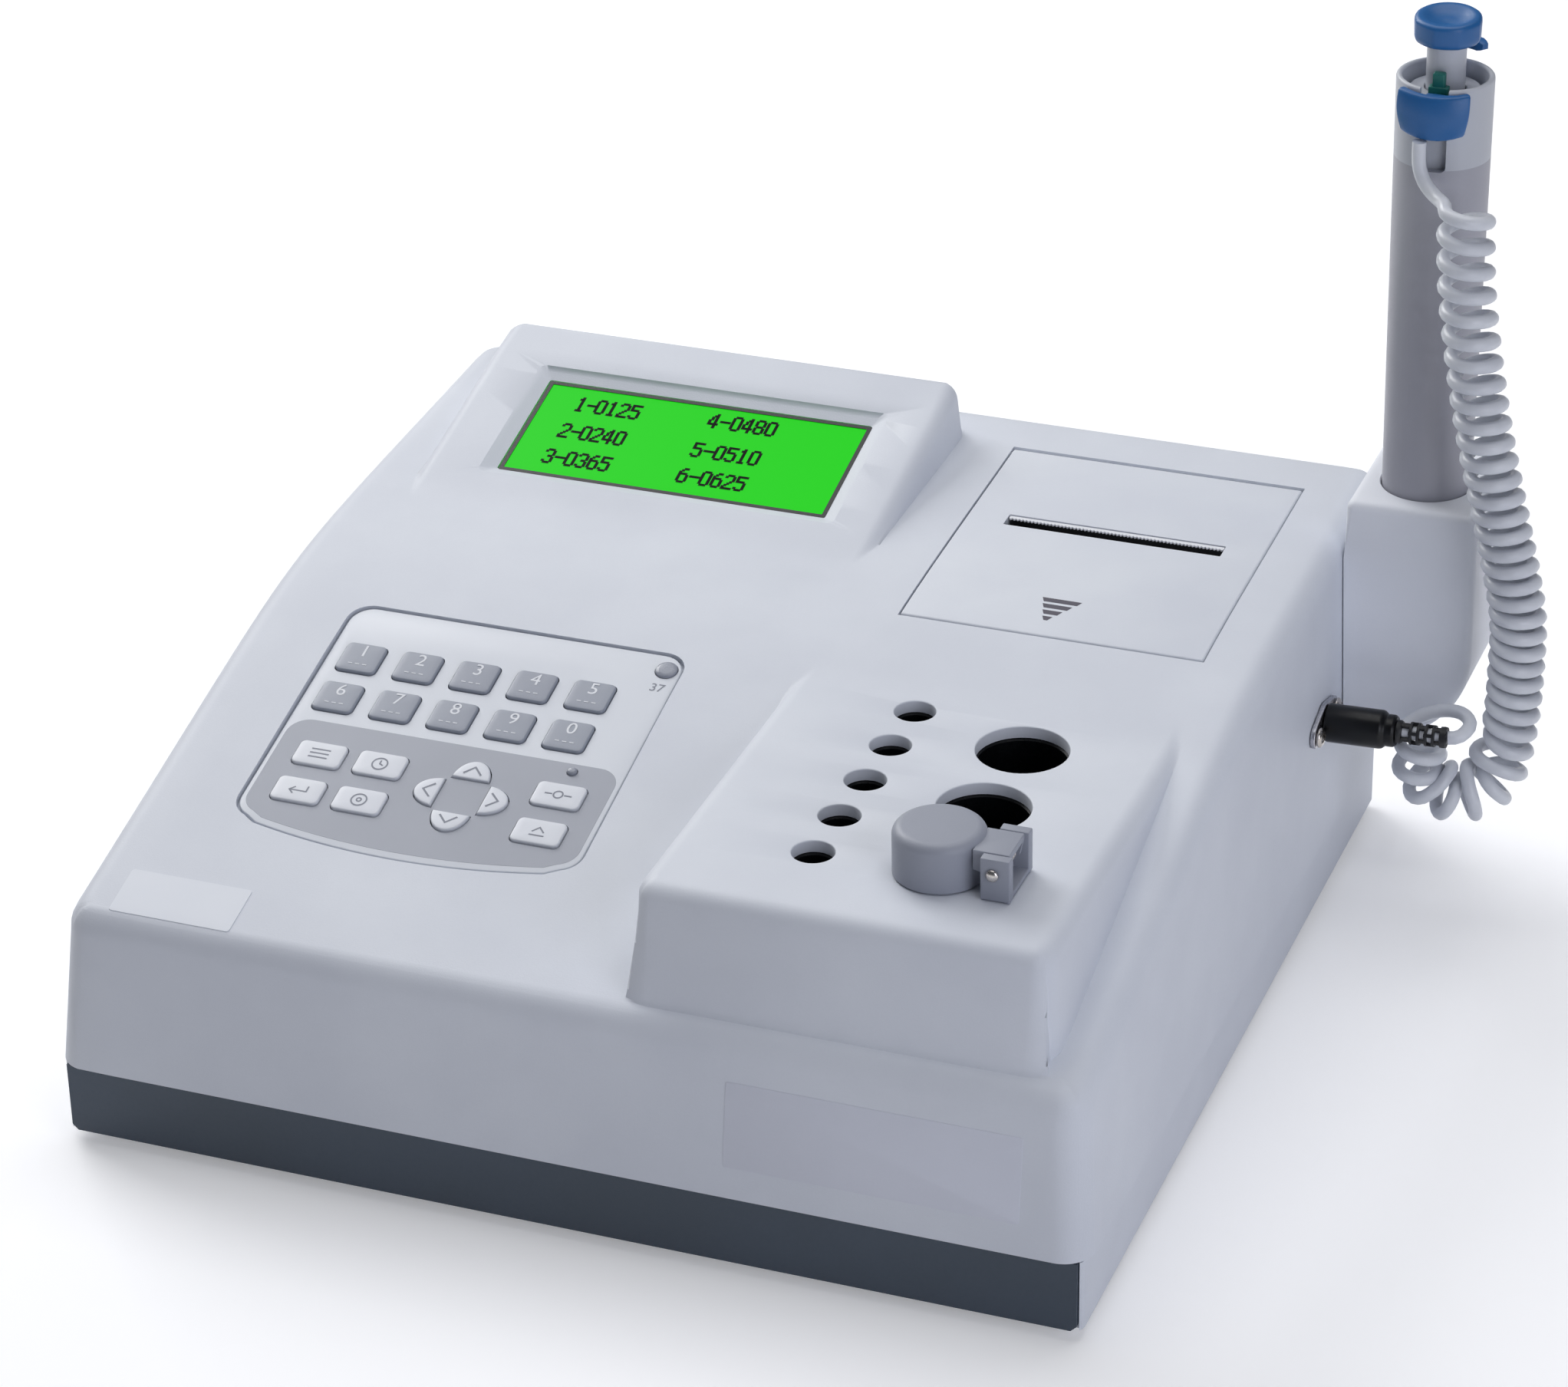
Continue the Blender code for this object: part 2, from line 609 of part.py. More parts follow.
def wedge_face(y):
    return WEDGE_TOP + (y - WEDGE_REAR) * WEDGE_SLOPE


def roll_points(radius, draft):
    """Where a rolled edge meets its wall, its middle and its top, measured in from the sharp edge."""
    top = radius * math.tan((math.pi / 2 - draft) / 2)
    return top - radius * math.cos(draft), top - radius * math.cos(math.pi / 4), top


def edge_drop(inside, radius, draft):
    """How far a top has dropped at a distance inside its sharp edge: a roll, then a drafted wall."""
    foot, _, top = roll_points(radius, draft)
    over = np.clip(top - inside, 0, radius * math.cos(draft))
    roll = radius - np.sqrt(radius**2 - over**2)
    return roll + np.maximum(foot - inside, 0) / math.tan(draft)


def block_drop(x, y, inset):
    radius = BLOCK_EDGE - inset
    sides = np.minimum(x - BLOCK_LEFT, BLOCK_RIGHT - x) - inset
    front = y - BLOCK_FRONT - inset
    return np.maximum(edge_drop(sides, radius, BLOCK_SIDE_DRAFT), edge_drop(front, radius, BLOCK_FRONT_DRAFT))


def wedge_drop(x, y, inset):
    inside = np.minimum(np.minimum(x - WEDGE_LEFT, WEDGE_RIGHT - x), WEDGE_REAR - y) - inset
    return edge_drop(inside, WEDGE_EDGE - inset, WEDGE_DRAFT)


def tracks(radius, draft, rise):
    """Distances in from a raised edge that need a line of points: the wall's foot and the roll."""
    foot, middle, top = roll_points(radius, draft)
    return np.array([min(foot - LEAST_FLANK, -rise * math.tan(draft)), foot, middle, top])


def merge_row():
    """Y where the deck has risen to the well block's top."""
    rows = np.linspace(BLOCK_FRONT, WEDGE_REAR, CURVE_STEPS)
    return float(rows[np.argmax(deck_height(rows) > BLOCK_TOP)])


def casing_columns(y, inset):
    """X of each grid column at Y: rolled sides, and both flanks of the wedge and the well block."""
    half = CASE_WIDTH / 2 - SIDE_LEAN - inset
    roll = (CASE_EDGE - inset) * (1 - np.cos(np.linspace(0, math.pi / 2, EDGE_STEPS + 1)))
    deck = float(deck_height(y))
    block = tracks(BLOCK_EDGE - inset, BLOCK_SIDE_DRAFT, max(BLOCK_TOP - deck, 0))
    wedge = tracks(WEDGE_EDGE - inset, WEDGE_DRAFT, max(wedge_face(y) - deck, 0))
    merge = merge_row()
    share = min(max((y - merge) / (WEDGE_START - merge), 0), 1)
    block_left = BLOCK_LEFT + inset + block
    wedge_right = WEDGE_RIGHT - inset - wedge[::-1]
    shared = block_left * (1 - share) + wedge_right * share
    block_right = BLOCK_RIGHT - inset - block[::-1]
    wedge_left = WEDGE_LEFT + inset + wedge
    return np.sort(np.concatenate([-half + roll, wedge_left, shared, block_right, half - roll[::-1]]))


def casing_rows(inset):
    """Y of each grid row: rolled front, block front, deck, wedge start, wedge rear, rolled rear, in order."""
    arc_share = 1 - np.cos(np.linspace(0, math.pi / 2, EDGE_STEPS + 1))
    front = FRONT_LEAN + inset + (FRONT_EDGE - inset) * arc_share
    rear = CASE_DEPTH - inset - (CASE_EDGE - inset) * arc_share[::-1]
    low = BLOCK_FRONT
    for _ in range(EDGE_STEPS + EDGE_STEPS):
        low = BLOCK_FRONT - (BLOCK_TOP - float(deck_height(low))) * math.tan(BLOCK_FRONT_DRAFT)
    climb = BLOCK_TOP - float(deck_height(low))
    block = BLOCK_FRONT + inset + tracks(BLOCK_EDGE - inset, BLOCK_FRONT_DRAFT, climb)
    merge = merge_row()
    deck = np.linspace(block[-1], merge, DECK_ROWS)[1:]
    slope = np.linspace(merge, WEDGE_START, SLOPE_ROWS)[1:]
    rise = WEDGE_TOP - float(deck_height(WEDGE_REAR))
    wedge_rear = WEDGE_REAR - inset - tracks(WEDGE_EDGE - inset, WEDGE_DRAFT, rise)[::-1]
    face = np.linspace(WEDGE_START, wedge_rear[0], SLOPE_ROWS)[1:-1]
    return np.sort(np.concatenate([front, block, deck, slope, face, wedge_rear, rear]))


def round_corner(x, y, corner_x, corner_y, way_x, way_y, reach):
    """Draws the points beyond a corner's centre onto arcs round it, so the corner is round in plan."""
    u = (x - corner_x) * way_x
    v = (y - corner_y) * way_y
    far = np.maximum(u, v)
    inside = (u > 0) & (v > 0) & (far <= reach)
    pull = np.where(inside, far / np.where(inside, np.hypot(u, v), 1), 1)
    return np.where(inside, corner_x + way_x * u * pull, x), np.where(inside, corner_y + way_y * v * pull, y)


def round_corners(x, y, inset):
    """Rounds the casing's four corners, the well block's front two and the wedge's rear two."""
    half = CASE_WIDTH / 2 - SIDE_LEAN - inset
    radius = CASE_CORNER - min(inset, CASE_CORNER / 2)
    front, rear = FRONT_LEAN + inset + radius, CASE_DEPTH - inset - radius
    for way in (-1, 1):
        x, y = round_corner(x, y, way * (half - radius), front, way, -1, CASE_CORNER)
        x, y = round_corner(x, y, way * (half - radius), rear, way, 1, CASE_CORNER)
    low = (BLOCK_TOP - DECK_FRONT_HEIGHT) * math.tan(BLOCK_FRONT_DRAFT)
    block_reach = BLOCK_CORNER + low
    x, y = round_corner(x, y, BLOCK_LEFT + BLOCK_CORNER, BLOCK_FRONT + BLOCK_CORNER, -1, -1, block_reach)
    x, y = round_corner(x, y, BLOCK_RIGHT - BLOCK_CORNER, BLOCK_FRONT + BLOCK_CORNER, 1, -1, block_reach)
    wedge_reach = WEDGE_CORNER + (WEDGE_TOP - float(deck_height(WEDGE_REAR))) * math.tan(WEDGE_DRAFT)
    x, y = round_corner(x, y, WEDGE_LEFT + WEDGE_CORNER, WEDGE_REAR - WEDGE_CORNER, -1, 1, wedge_reach)
    return round_corner(x, y, WEDGE_RIGHT - WEDGE_CORNER, WEDGE_REAR - WEDGE_CORNER, 1, 1, wedge_reach)


def casing_shape(inset, low):
    """The casing's outer body, or the hollow inside it, as a closed shape down to a given height."""
    rows = casing_rows(inset)
    flat_x = np.array([casing_columns(y, inset) for y in rows])
    flat_y = np.repeat(rows[:, None], flat_x.shape[1], axis=1)
    half = CASE_WIDTH / 2 - SIDE_LEAN - inset
    front, rear = FRONT_LEAN + inset, CASE_DEPTH - inset
    edge = CASE_EDGE - inset
    x, y = round_corners(flat_x, flat_y, inset)
    block = BLOCK_TOP - block_drop(flat_x, flat_y, inset)
    wedge = wedge_face(y) - wedge_drop(flat_x, flat_y, inset)
    height = np.maximum(np.maximum(deck_height(y), block), wedge) - inset
    side_over = edge - (half - np.abs(flat_x))
    rear_over = edge - (rear - flat_y)
    front_over = (FRONT_EDGE - inset - (flat_y - front)) * edge / (FRONT_EDGE - inset)
    over = np.clip(np.maximum(np.maximum(side_over, rear_over), front_over), 0, edge)
    height = height - (edge - np.sqrt(edge**2 - over**2))

    shape = bmesh.new()
    count_y, count_x = x.shape
    places = np.stack([x, y, height], axis=-1)
    grid = [[shape.verts.new(places[i, j]) for j in range(count_x)] for i in range(count_y)]
    for i in range(count_y - 1):
        for j in range(count_x - 1):
            a, b, c, d = grid[i][j], grid[i][j + 1], grid[i + 1][j + 1], grid[i + 1][j]
            if a.co.z + c.co.z >= b.co.z + d.co.z:
                shape.faces.new((a, b, c))
                shape.faces.new((a, c, d))
            else:
                shape.faces.new((a, b, d))
                shape.faces.new((b, c, d))
    border = grid[0] + [row[-1] for row in grid[1:]] + grid[-1][-2::-1] + [row[0] for row in grid[-2:0:-1]]
    wide = (CASE_WIDTH / 2 - inset) / half
    long = (rear - inset) / (rear - front)
    base = [shape.verts.new((v.co.x * wide, rear - (rear - v.co.y) * long, low)) for v in border]
    for k, vertex in enumerate(border):
        after = (k + 1) % len(border)
        shape.faces.new((vertex, base[k], base[after], border[after]))
    shape.faces.new(base)
    return shape


def side_wall(z):
    """X of the casing's right side at a height."""
    return CASE_WIDTH / 2 - SIDE_LEAN * (z - CASE_RIM) / (DECK_REAR_HEIGHT - CASE_EDGE - CASE_RIM)


def make_tray():
    left, right = -CASE_WIDTH / 2 + TRAY_INSET, CASE_WIDTH / 2 - TRAY_INSET
    front, rear = TRAY_INSET, CASE_DEPTH - TRAY_INSET
    top = CASE_RIM - GAP
    tray = add("base_tray", prism(rounded(left, right, front, rear, TRAY_CORNER), 0, top), SHELL)
    inside = CASE_WALL + GAP + GAP
    lean = FRONT_LEAN * TRAY_TONGUE_HEIGHT / (DECK_FRONT_HEIGHT - CASE_EDGE - CASE_RIM)
    corner = CASE_CORNER - CASE_WALL / 2
    half = CASE_WIDTH / 2 - inside
    outline = rounded(-half, half, inside + lean, CASE_DEPTH - inside, corner)
    join(tray, helper("tray_tongue", prism(outline, TRAY_FLOOR, top + TRAY_TONGUE_HEIGHT)))
    wall = TRAY_INSET + TRAY_WALL
    hollow = rounded(wall - CASE_WIDTH / 2, CASE_WIDTH / 2 - wall, wall, CASE_DEPTH - wall, TRAY_CORNER)
    cut(tray, helper("tray_hollow", prism(hollow, TRAY_FLOOR, top + TRAY_TONGUE_HEIGHT + OVERRUN)))
    reach = CASE_WIDTH / 2 - TRAY_INSET - BAND_END_MARGIN + GAP
    rebate = box(-reach, reach, front - OVERRUN, front + BAND_THICK + GAP, -OVERRUN, top + OVERRUN / 2)
    cut(tray, helper("band_rebate", rebate))
    posts = bmesh.new()
    for x in (METAL_LEFT + POST_MARGIN, METAL_RIGHT - POST_MARGIN):
        for y in (METAL_FRONT + POST_MARGIN, METAL_REAR - POST_MARGIN):
            prism(circle(x, y, POST_RADIUS, SMALL_STEPS), TRAY_FLOOR / 2, metal_bottom() - GAP, posts)
    for x in (MAIN_LEFT + POST_MARGIN, MAIN_RIGHT - POST_MARGIN):
        for y in (MAIN_FRONT + POST_MARGIN, MAIN_REAR - POST_MARGIN):
            prism(circle(x, y, POST_RADIUS, SMALL_STEPS), TRAY_FLOOR / 2, MAIN_HEIGHT - GAP, posts)
    join(tray, helper("tray_posts", posts))


def metal_bottom():
    return BLOCK_TOP - CASE_WALL - GAP - METAL_HEIGHT


def make_band():
    reach = CASE_WIDTH / 2 - TRAY_INSET - BAND_END_MARGIN
    top = CASE_RIM - GAP
    outline = [
        (-reach + BAND_CHAMFER, 0),
        (reach - BAND_CHAMFER, 0),
        (reach, BAND_CHAMFER),
        (reach, top),
        (-reach, top),
        (-reach, BAND_CHAMFER),
    ]
    return add("front_band", front_prism(outline, TRAY_INSET, TRAY_INSET + BAND_THICK), BAND)


def make_feet():
    across = CASE_WIDTH / 2 - FOOT_MARGIN
    places = {
        "foot_front_left": (-across, FOOT_MARGIN),
        "foot_front_right": (across, FOOT_MARGIN),
        "foot_rear_left": (-across, CASE_DEPTH - FOOT_MARGIN),
        "foot_rear_right": (across, CASE_DEPTH - FOOT_MARGIN),
    }
    for name, (x, y) in places.items():
        low = -FOOT_HEIGHT
        profile = [(0, low), (FOOT_RADIUS - FOOT_TAPER, low), (FOOT_RADIUS, -GAP), (0, -GAP)]
        add(name, turned(profile), RUBBER, (x, y, 0))


WEDGE_TILT = math.atan(WEDGE_SLOPE)


def wedge_datum():
    y = (SCREEN_FRONT + SCREEN_REAR) / 2
    x = (SCREEN_LEFT + SCREEN_RIGHT) / 2
    return empty("wedge_datum", (x, y, wedge_face(y)), (WEDGE_TILT, 0, 0))


def screen_half_sizes():
    return (SCREEN_RIGHT - SCREEN_LEFT) / 2, (SCREEN_REAR - SCREEN_FRONT) / 2 / math.cos(WEDGE_TILT)


def make_display(datum):
    half_x, half_y = screen_half_sizes()
    top = -SCREEN_DEPTH
    screen = box(-half_x, half_x, -half_y, half_y, top - SCREEN_THICK, top)
    add("lcd_screen", screen, GREEN_GLASS, parent=datum)
    wide, deep = half_x + MODULE_MARGIN, half_y + MODULE_MARGIN
    face = top - SCREEN_THICK - GAP
    add("lcd_module", box(-wide, wide, -deep, deep, face - MODULE_THICK, face), BLACK, parent=datum)


def display_cutter(datum):
    """A window with a sloping surround: wide at the wedge's face, straight below the screen's level."""
    half_x, half_y = screen_half_sizes()
    shape = bmesh.new()
    rings = []
    slope = SCREEN_BEVEL / SCREEN_DEPTH
    levels = [
        (SCREEN_BORDER, -CASE_WALL - OVERRUN),
        (SCREEN_BORDER, -SCREEN_DEPTH),
        (SCREEN_BORDER + SCREEN_BEVEL + OVERRUN * slope, OVERRUN),
    ]
    for grow, z in levels:
        outline = rectangle(-half_x - grow, half_x + grow, -half_y - grow, half_y + grow)
        rings.append([shape.verts.new((x, y, z)) for x, y in outline])
    bridge(rings, shape)
    return helper("display_window", shape, parent=datum)


PAD_ENDS = (float(deck_height(PAD_FRONT)), float(deck_height(PAD_REAR)))
PAD_SLOPE = math.atan((PAD_ENDS[1] - PAD_ENDS[0]) / (PAD_REAR - PAD_FRONT))
PAD_MIDDLE = ((PAD_LEFT + PAD_RIGHT) / 2, (PAD_FRONT + PAD_REAR) / 2)


def pad_datum():
    """Lies in the keypad's plane, flush with the deck: X across, Y up the slope."""
    return empty("pad_datum", (*PAD_MIDDLE, sum(PAD_ENDS) / 2), (PAD_SLOPE, 0, 0))


def on_pad(x, y):
    """A place given in the casing's X and Y, measured in the keypad's plane."""
    return x - PAD_MIDDLE[0], (y - PAD_MIDDLE[1]) / math.cos(PAD_SLOPE)


def pad_outline(shrink):
    """The panel's outline: straight back and sides, rounded corners and a bowed front."""
    left, front = on_pad(PAD_LEFT + shrink, PAD_FRONT)
    right, rear = on_pad(PAD_RIGHT - shrink, PAD_REAR)
    front, rear = front + shrink, rear - shrink
    radius = PAD_CORNER - shrink / 2
    half = (right - left) / 2
    bow = (half**2 + PAD_BOW**2) / (2 * PAD_BOW)
    spread = math.degrees(math.asin((half - radius) / bow))
    middle = (left + right) / 2
    return (
        arc(right - radius, rear - radius, radius, 0, 90, EDGE_STEPS)
        + arc(left + radius, rear - radius, radius, 90, 180, EDGE_STEPS)
        + arc(left + radius, front + radius, radius, 180, 250, EDGE_STEPS)
        + arc(middle, front - PAD_BOW + bow, bow, 270 - spread * BOW_SHARE, 270 + spread * BOW_SHARE, 6)
        + arc(right - radius, front + radius, radius, 290, 360, EDGE_STEPS)
    )


def key_table():
    """Each key's name, place in the keypad's plane, half sizes and colour; an arrow has a turn instead."""
    keys = []
    for k in range(10):
        x = DIGIT_FIRST[0] + DIGIT_PITCH * (k % 5)
        y = DIGIT_FIRST[1] - DIGIT_ROW_STEP * (k // 5)
        keys.append((f"key_{(k + 1) % 10}", on_pad(x, y), key_outline(DIGIT_WIDTH, DIGIT_DEPTH), KEY_GREY))
    whites = {
        "key_menu": (WHITE_LEFT, 0),
        "key_timer": (WHITE_LEFT + WHITE_PITCH, 0),
        "key_inline": (WHITE_RIGHT, 0),
        "key_enter": (WHITE_LEFT, 1),
        "key_optic": (WHITE_LEFT + WHITE_PITCH, 1),
        "key_feed": (WHITE_RIGHT, 1),
    }
    for name, (x, row) in whites.items():
        place = on_pad(x, WHITE_REAR - WHITE_ROW_STEP * row)
        keys.append((name, place, key_outline(WHITE_WIDTH, WHITE_DEPTH), KEY_WHITE))
    centre = on_pad(*ARROW_CENTRE)
    for name, degrees in {"key_right": 0, "key_up": 90, "key_left": 180, "key_down": 270}.items():
        way = Vector((math.cos(math.radians(degrees)), math.sin(math.radians(degrees))))
        place = (centre[0] + way.x * ARROW_OUT, centre[1] + way.y * ARROW_OUT)
        keys.append((name, place, lambda grow, turn=degrees: arrow_outline(grow, turn), KEY_WHITE))
    return keys


def key_outline(width, depth):
    def outline(grow):
        x, y = width / 2 + grow, depth / 2 + grow
        return rounded(-x, x, -y, y, KEY_CORNER + max(grow, 0), 2)

    return outline


def arrow_outline(grow, degrees):
    """Half an oval, its flat side towards the cross's middle, turned to face its way."""
    flat = -min(grow, GAP)
    points = [((ARROW_REACH + grow) * x, (ARROW_HALF + grow) * y) for x, y in arc(0, 0, 1, -78, 78, 8)]
    points = [(flat, -ARROW_HALF - grow)] + points + [(flat, ARROW_HALF + grow)]
    turn = math.radians(degrees)
    c, s = math.cos(turn), math.sin(turn)
    return [(x * c - y * s, x * s + y * c) for x, y in points]


def make_key(name, place, outline, look, datum):
    """A key: a flange that the panel holds down, and a body that stands proud with a softened rim."""
    shape = bmesh.new()
    panel_under = -PAD_SUNK - PAD_THICK
    flange_top = panel_under - GAP
    bottom = -BOARD_UNDER + GAP + KEY_TRAVEL
    top = -PAD_SUNK + KEY_PROUD
    levels = [
        (KEY_FLANGE, bottom),
        (KEY_FLANGE, flange_top),
        (0, flange_top),
        (0, top - KEY_ROUND),
        (-KEY_ROUND, top),
    ]
    bridge([[shape.verts.new((x, y, z)) for x, y in outline(grow)] for grow, z in levels], shape)
    add(name, shape, look, (place[0], place[1], 0), parent=datum)


def make_keypad(datum):
    top = -PAD_SUNK
    panel = add("keypad_panel", prism(pad_outline(GAP), top - PAD_THICK, top), PANEL, parent=datum)
    holes = bmesh.new()
    for name, place, outline, look in key_table():
        points = [(place[0] + x, place[1] + y) for x, y in outline(GAP)]
        prism(points, top - PAD_THICK - OVERRUN, top + OVERRUN, holes)
        make_key(name, place, outline, look, datum)
    lamps = {
        "temp_lamp": (TEMP_LAMP_AT, TEMP_LAMP_RADIUS),
        "status_lamp": (STATUS_LAMP_AT, STATUS_LAMP_RADIUS),
    }
    for name, (at, radius) in lamps.items():
        x, y = on_pad(*at)
        prism(circle(x, y, radius + GAP, SMALL_STEPS), top - PAD_THICK - OVERRUN, top + OVERRUN, holes)
        profile = [
            (0, -BOARD_UNDER + GAP),
            (radius, -BOARD_UNDER + GAP),
            (radius, top),
            (radius * LAMP_CROWN_SHARE, top + KEY_ROUND),
            (0, top + KEY_ROUND),
        ]
        add(name, turned(profile, SMALL_STEPS), LAMP, (x, y, 0), parent=datum)
    cut(panel, helper("panel_holes", holes, parent=datum))
    board = prism(pad_outline(BOARD_MARGIN), -BOARD_UNDER - BOARD_THICK, -BOARD_UNDER)
    add("keypad_board", board, BOARD_GREEN, parent=datum)


def flap_hinge():
    """Y and Z of the flap's hinge line: the middle of its rounded rear edge."""
    radius = FLAP_THICK / 2
    y = FLAP_REAR - FLAP_GAP - radius
    return y, float(deck_height(y)) - radius


def make_flap():
    hinge_y, hinge_z = flap_hinge()
    radius = FLAP_THICK / 2
    ys = np.linspace(FLAP_FRONT + FLAP_GAP, hinge_y, FLAP_SAMPLES)
    upper = [(y - hinge_y, float(deck_height(y)) - hinge_z) for y in ys]
    lower = [(y, z - FLAP_THICK) for y, z in upper]
    nose = arc(0, 0, radius, 90, -90, 6)
    outline = lower + nose[::-1][1:-1] + upper[::-1]
    left, right = FLAP_LEFT + FLAP_GAP, FLAP_RIGHT - FLAP_GAP
    flap = add("printer_cover", side_prism(outline, left, right), SHELL, (0, hinge_y, hinge_z))
    pins = bmesh.new()
    side_prism(circle(0, 0, FLAP_PIN_RADIUS, 8), left - FLAP_PIN_LENGTH, left + OVERRUN, pins)
    side_prism(circle(0, 0, FLAP_PIN_RADIUS, 8), right - OVERRUN, right + FLAP_PIN_LENGTH, pins)
    join(flap, helper("flap_pins", pins, (0, hinge_y, hinge_z)))
    slot = box(SLOT_LEFT, SLOT_RIGHT, SLOT_FRONT, SLOT_REAR, BLOCK_TOP - OVERRUN, DECK_REAR_HEIGHT + OVERRUN)
    cut(flap, helper("paper_slot", slot))


def make_tear_bar():
    """A toothed bar along the rear of the slot, its teeth towards the front."""
    left, right = SLOT_LEFT + GAP, SLOT_RIGHT - GAP
    rear = SLOT_REAR - GAP
    front = rear - TEAR_WIDTH + TEAR_TOOTH
    pitch = (right - left) / TEAR_TEETH
    outline = [(right, rear), (left, rear)]
    for k in range(TEAR_TEETH):
        outline.append((left + pitch * k, front))
        outline.append((left + pitch * (k + 1 / 2), front - TEAR_TOOTH))
    outline.append((right, front))
    top = float(deck_height(SLOT_REAR)) - TEAR_SUNK
    hinge_y, hinge_z = flap_hinge()
    moved = [(x, y - hinge_y) for x, y in outline]
    shape = prism(moved, top - TEAR_THICK - hinge_z, top - hinge_z)
    add("tear_bar", shape, PANEL, (0, hinge_y, hinge_z))


def bay_sides():
    return FLAP_LEFT + BAY_MARGIN, FLAP_RIGHT - BAY_MARGIN


def bay_top(y):
    return float(deck_height(y)) - FLAP_THICK - GAP


def make_printer_bay():
    left, right = bay_sides()
    low = TRAY_FLOOR + GAP
    outline = [(BAY_FRONT, low), (BAY_REAR, low)]
    outline += [(y, bay_top(y)) for y in np.linspace(BAY_REAR, BAY_FRONT, 5)]
    bay = add("printer_frame", side_prism(outline, left, right), BLACK)
    inner_left, inner_right = left + BAY_WALL, right - BAY_WALL
    tub = box(
        inner_left,
        inner_right,
        BAY_FRONT + BAY_WALL,
        BAY_REAR - BAY_WALL,
        BAY_FLOOR,
        DECK_REAR_HEIGHT + OVERRUN,
    )
    cut(bay, helper("bay_tub", tub))
    under = box(
        inner_left, inner_right, BAY_FRONT - OVERRUN, BAY_REAR + OVERRUN, low - OVERRUN, BAY_FLOOR - BAY_WALL
    )
    cut(bay, helper("bay_underside", under))
    y, z = PLATEN_AT
    bore = side_prism(circle(y, z, PLATEN_PIN_RADIUS + PLATEN_PIN_ROOM, 12), left - OVERRUN, right + OVERRUN)
    cut(bay, helper("bay_bearings", bore))


def make_platen():
    left, right = bay_sides()
    middle = (left + right) / 2
    half, reach = PLATEN_LENGTH / 2, (right - left) / 2
    profile = [
        (0, -reach),
        (PLATEN_PIN_RADIUS, -reach),
        (PLATEN_PIN_RADIUS, -half),
        (PLATEN_RADIUS, -half),
        (PLATEN_RADIUS, half),
        (PLATEN_PIN_RADIUS, half),
        (PLATEN_PIN_RADIUS, reach),
        (0, reach),
    ]
    y, z = PLATEN_AT
    add("platen_roller", turned(profile, 16), RUBBER, (middle, y, z), (0, math.radians(90), 0))


def make_print_head():
    left, right = bay_sides()
    left, right = left + BAY_WALL + GAP, right - BAY_WALL - GAP
    y, z = PLATEN_AT
    rear = y - PLATEN_RADIUS - GAP
    front = rear - HEAD_THICK
    low = z - HEAD_HEIGHT / 2
    outline = [(front, low), (rear, low), (rear, z + HEAD_HEIGHT / 3), (front, z + HEAD_HEIGHT / 2)]
    add("print_head", side_prism(outline, left, right), STEEL)


def well_places():
    """X, Y and radius of every well's hole in the casing."""
    wells = [
        (SMALL_WELL_X, SMALL_WELL_FIRST + SMALL_WELL_PITCH * k, SMALL_WELL_RADIUS)
        for k in range(SMALL_WELL_COUNT)
    ]
    wells += [(LARGE_WELL_X, y, LARGE_WELL_RADIUS) for y in LARGE_WELL_YS]
    wells.append((LARGE_WELL_X, CHANNEL_Y, CHANNEL_RADIUS))
    return wells


def well_cutter(name, low, high, shrink):
    shape = bmesh.new()
    for x, y, radius in well_places():
        steps = ROUND_STEPS if radius > SMALL_WELL_RADIUS else SMALL_STEPS + 2
        prism(circle(x, y, radius - shrink, steps), low, high, shape)
    return helper(name, shape)


def make_metal_block():
    low = metal_bottom()
    top = low + METAL_HEIGHT
    outline = rounded(METAL_LEFT, METAL_RIGHT, METAL_FRONT, METAL_REAR, POST_RADIUS, 2)
    block = add("incubator_block", prism(outline, low, top), ANODISED)
    cut(block, well_cutter("metal_wells", top - WELL_DEPTH, top + OVERRUN, WELL_STEP))


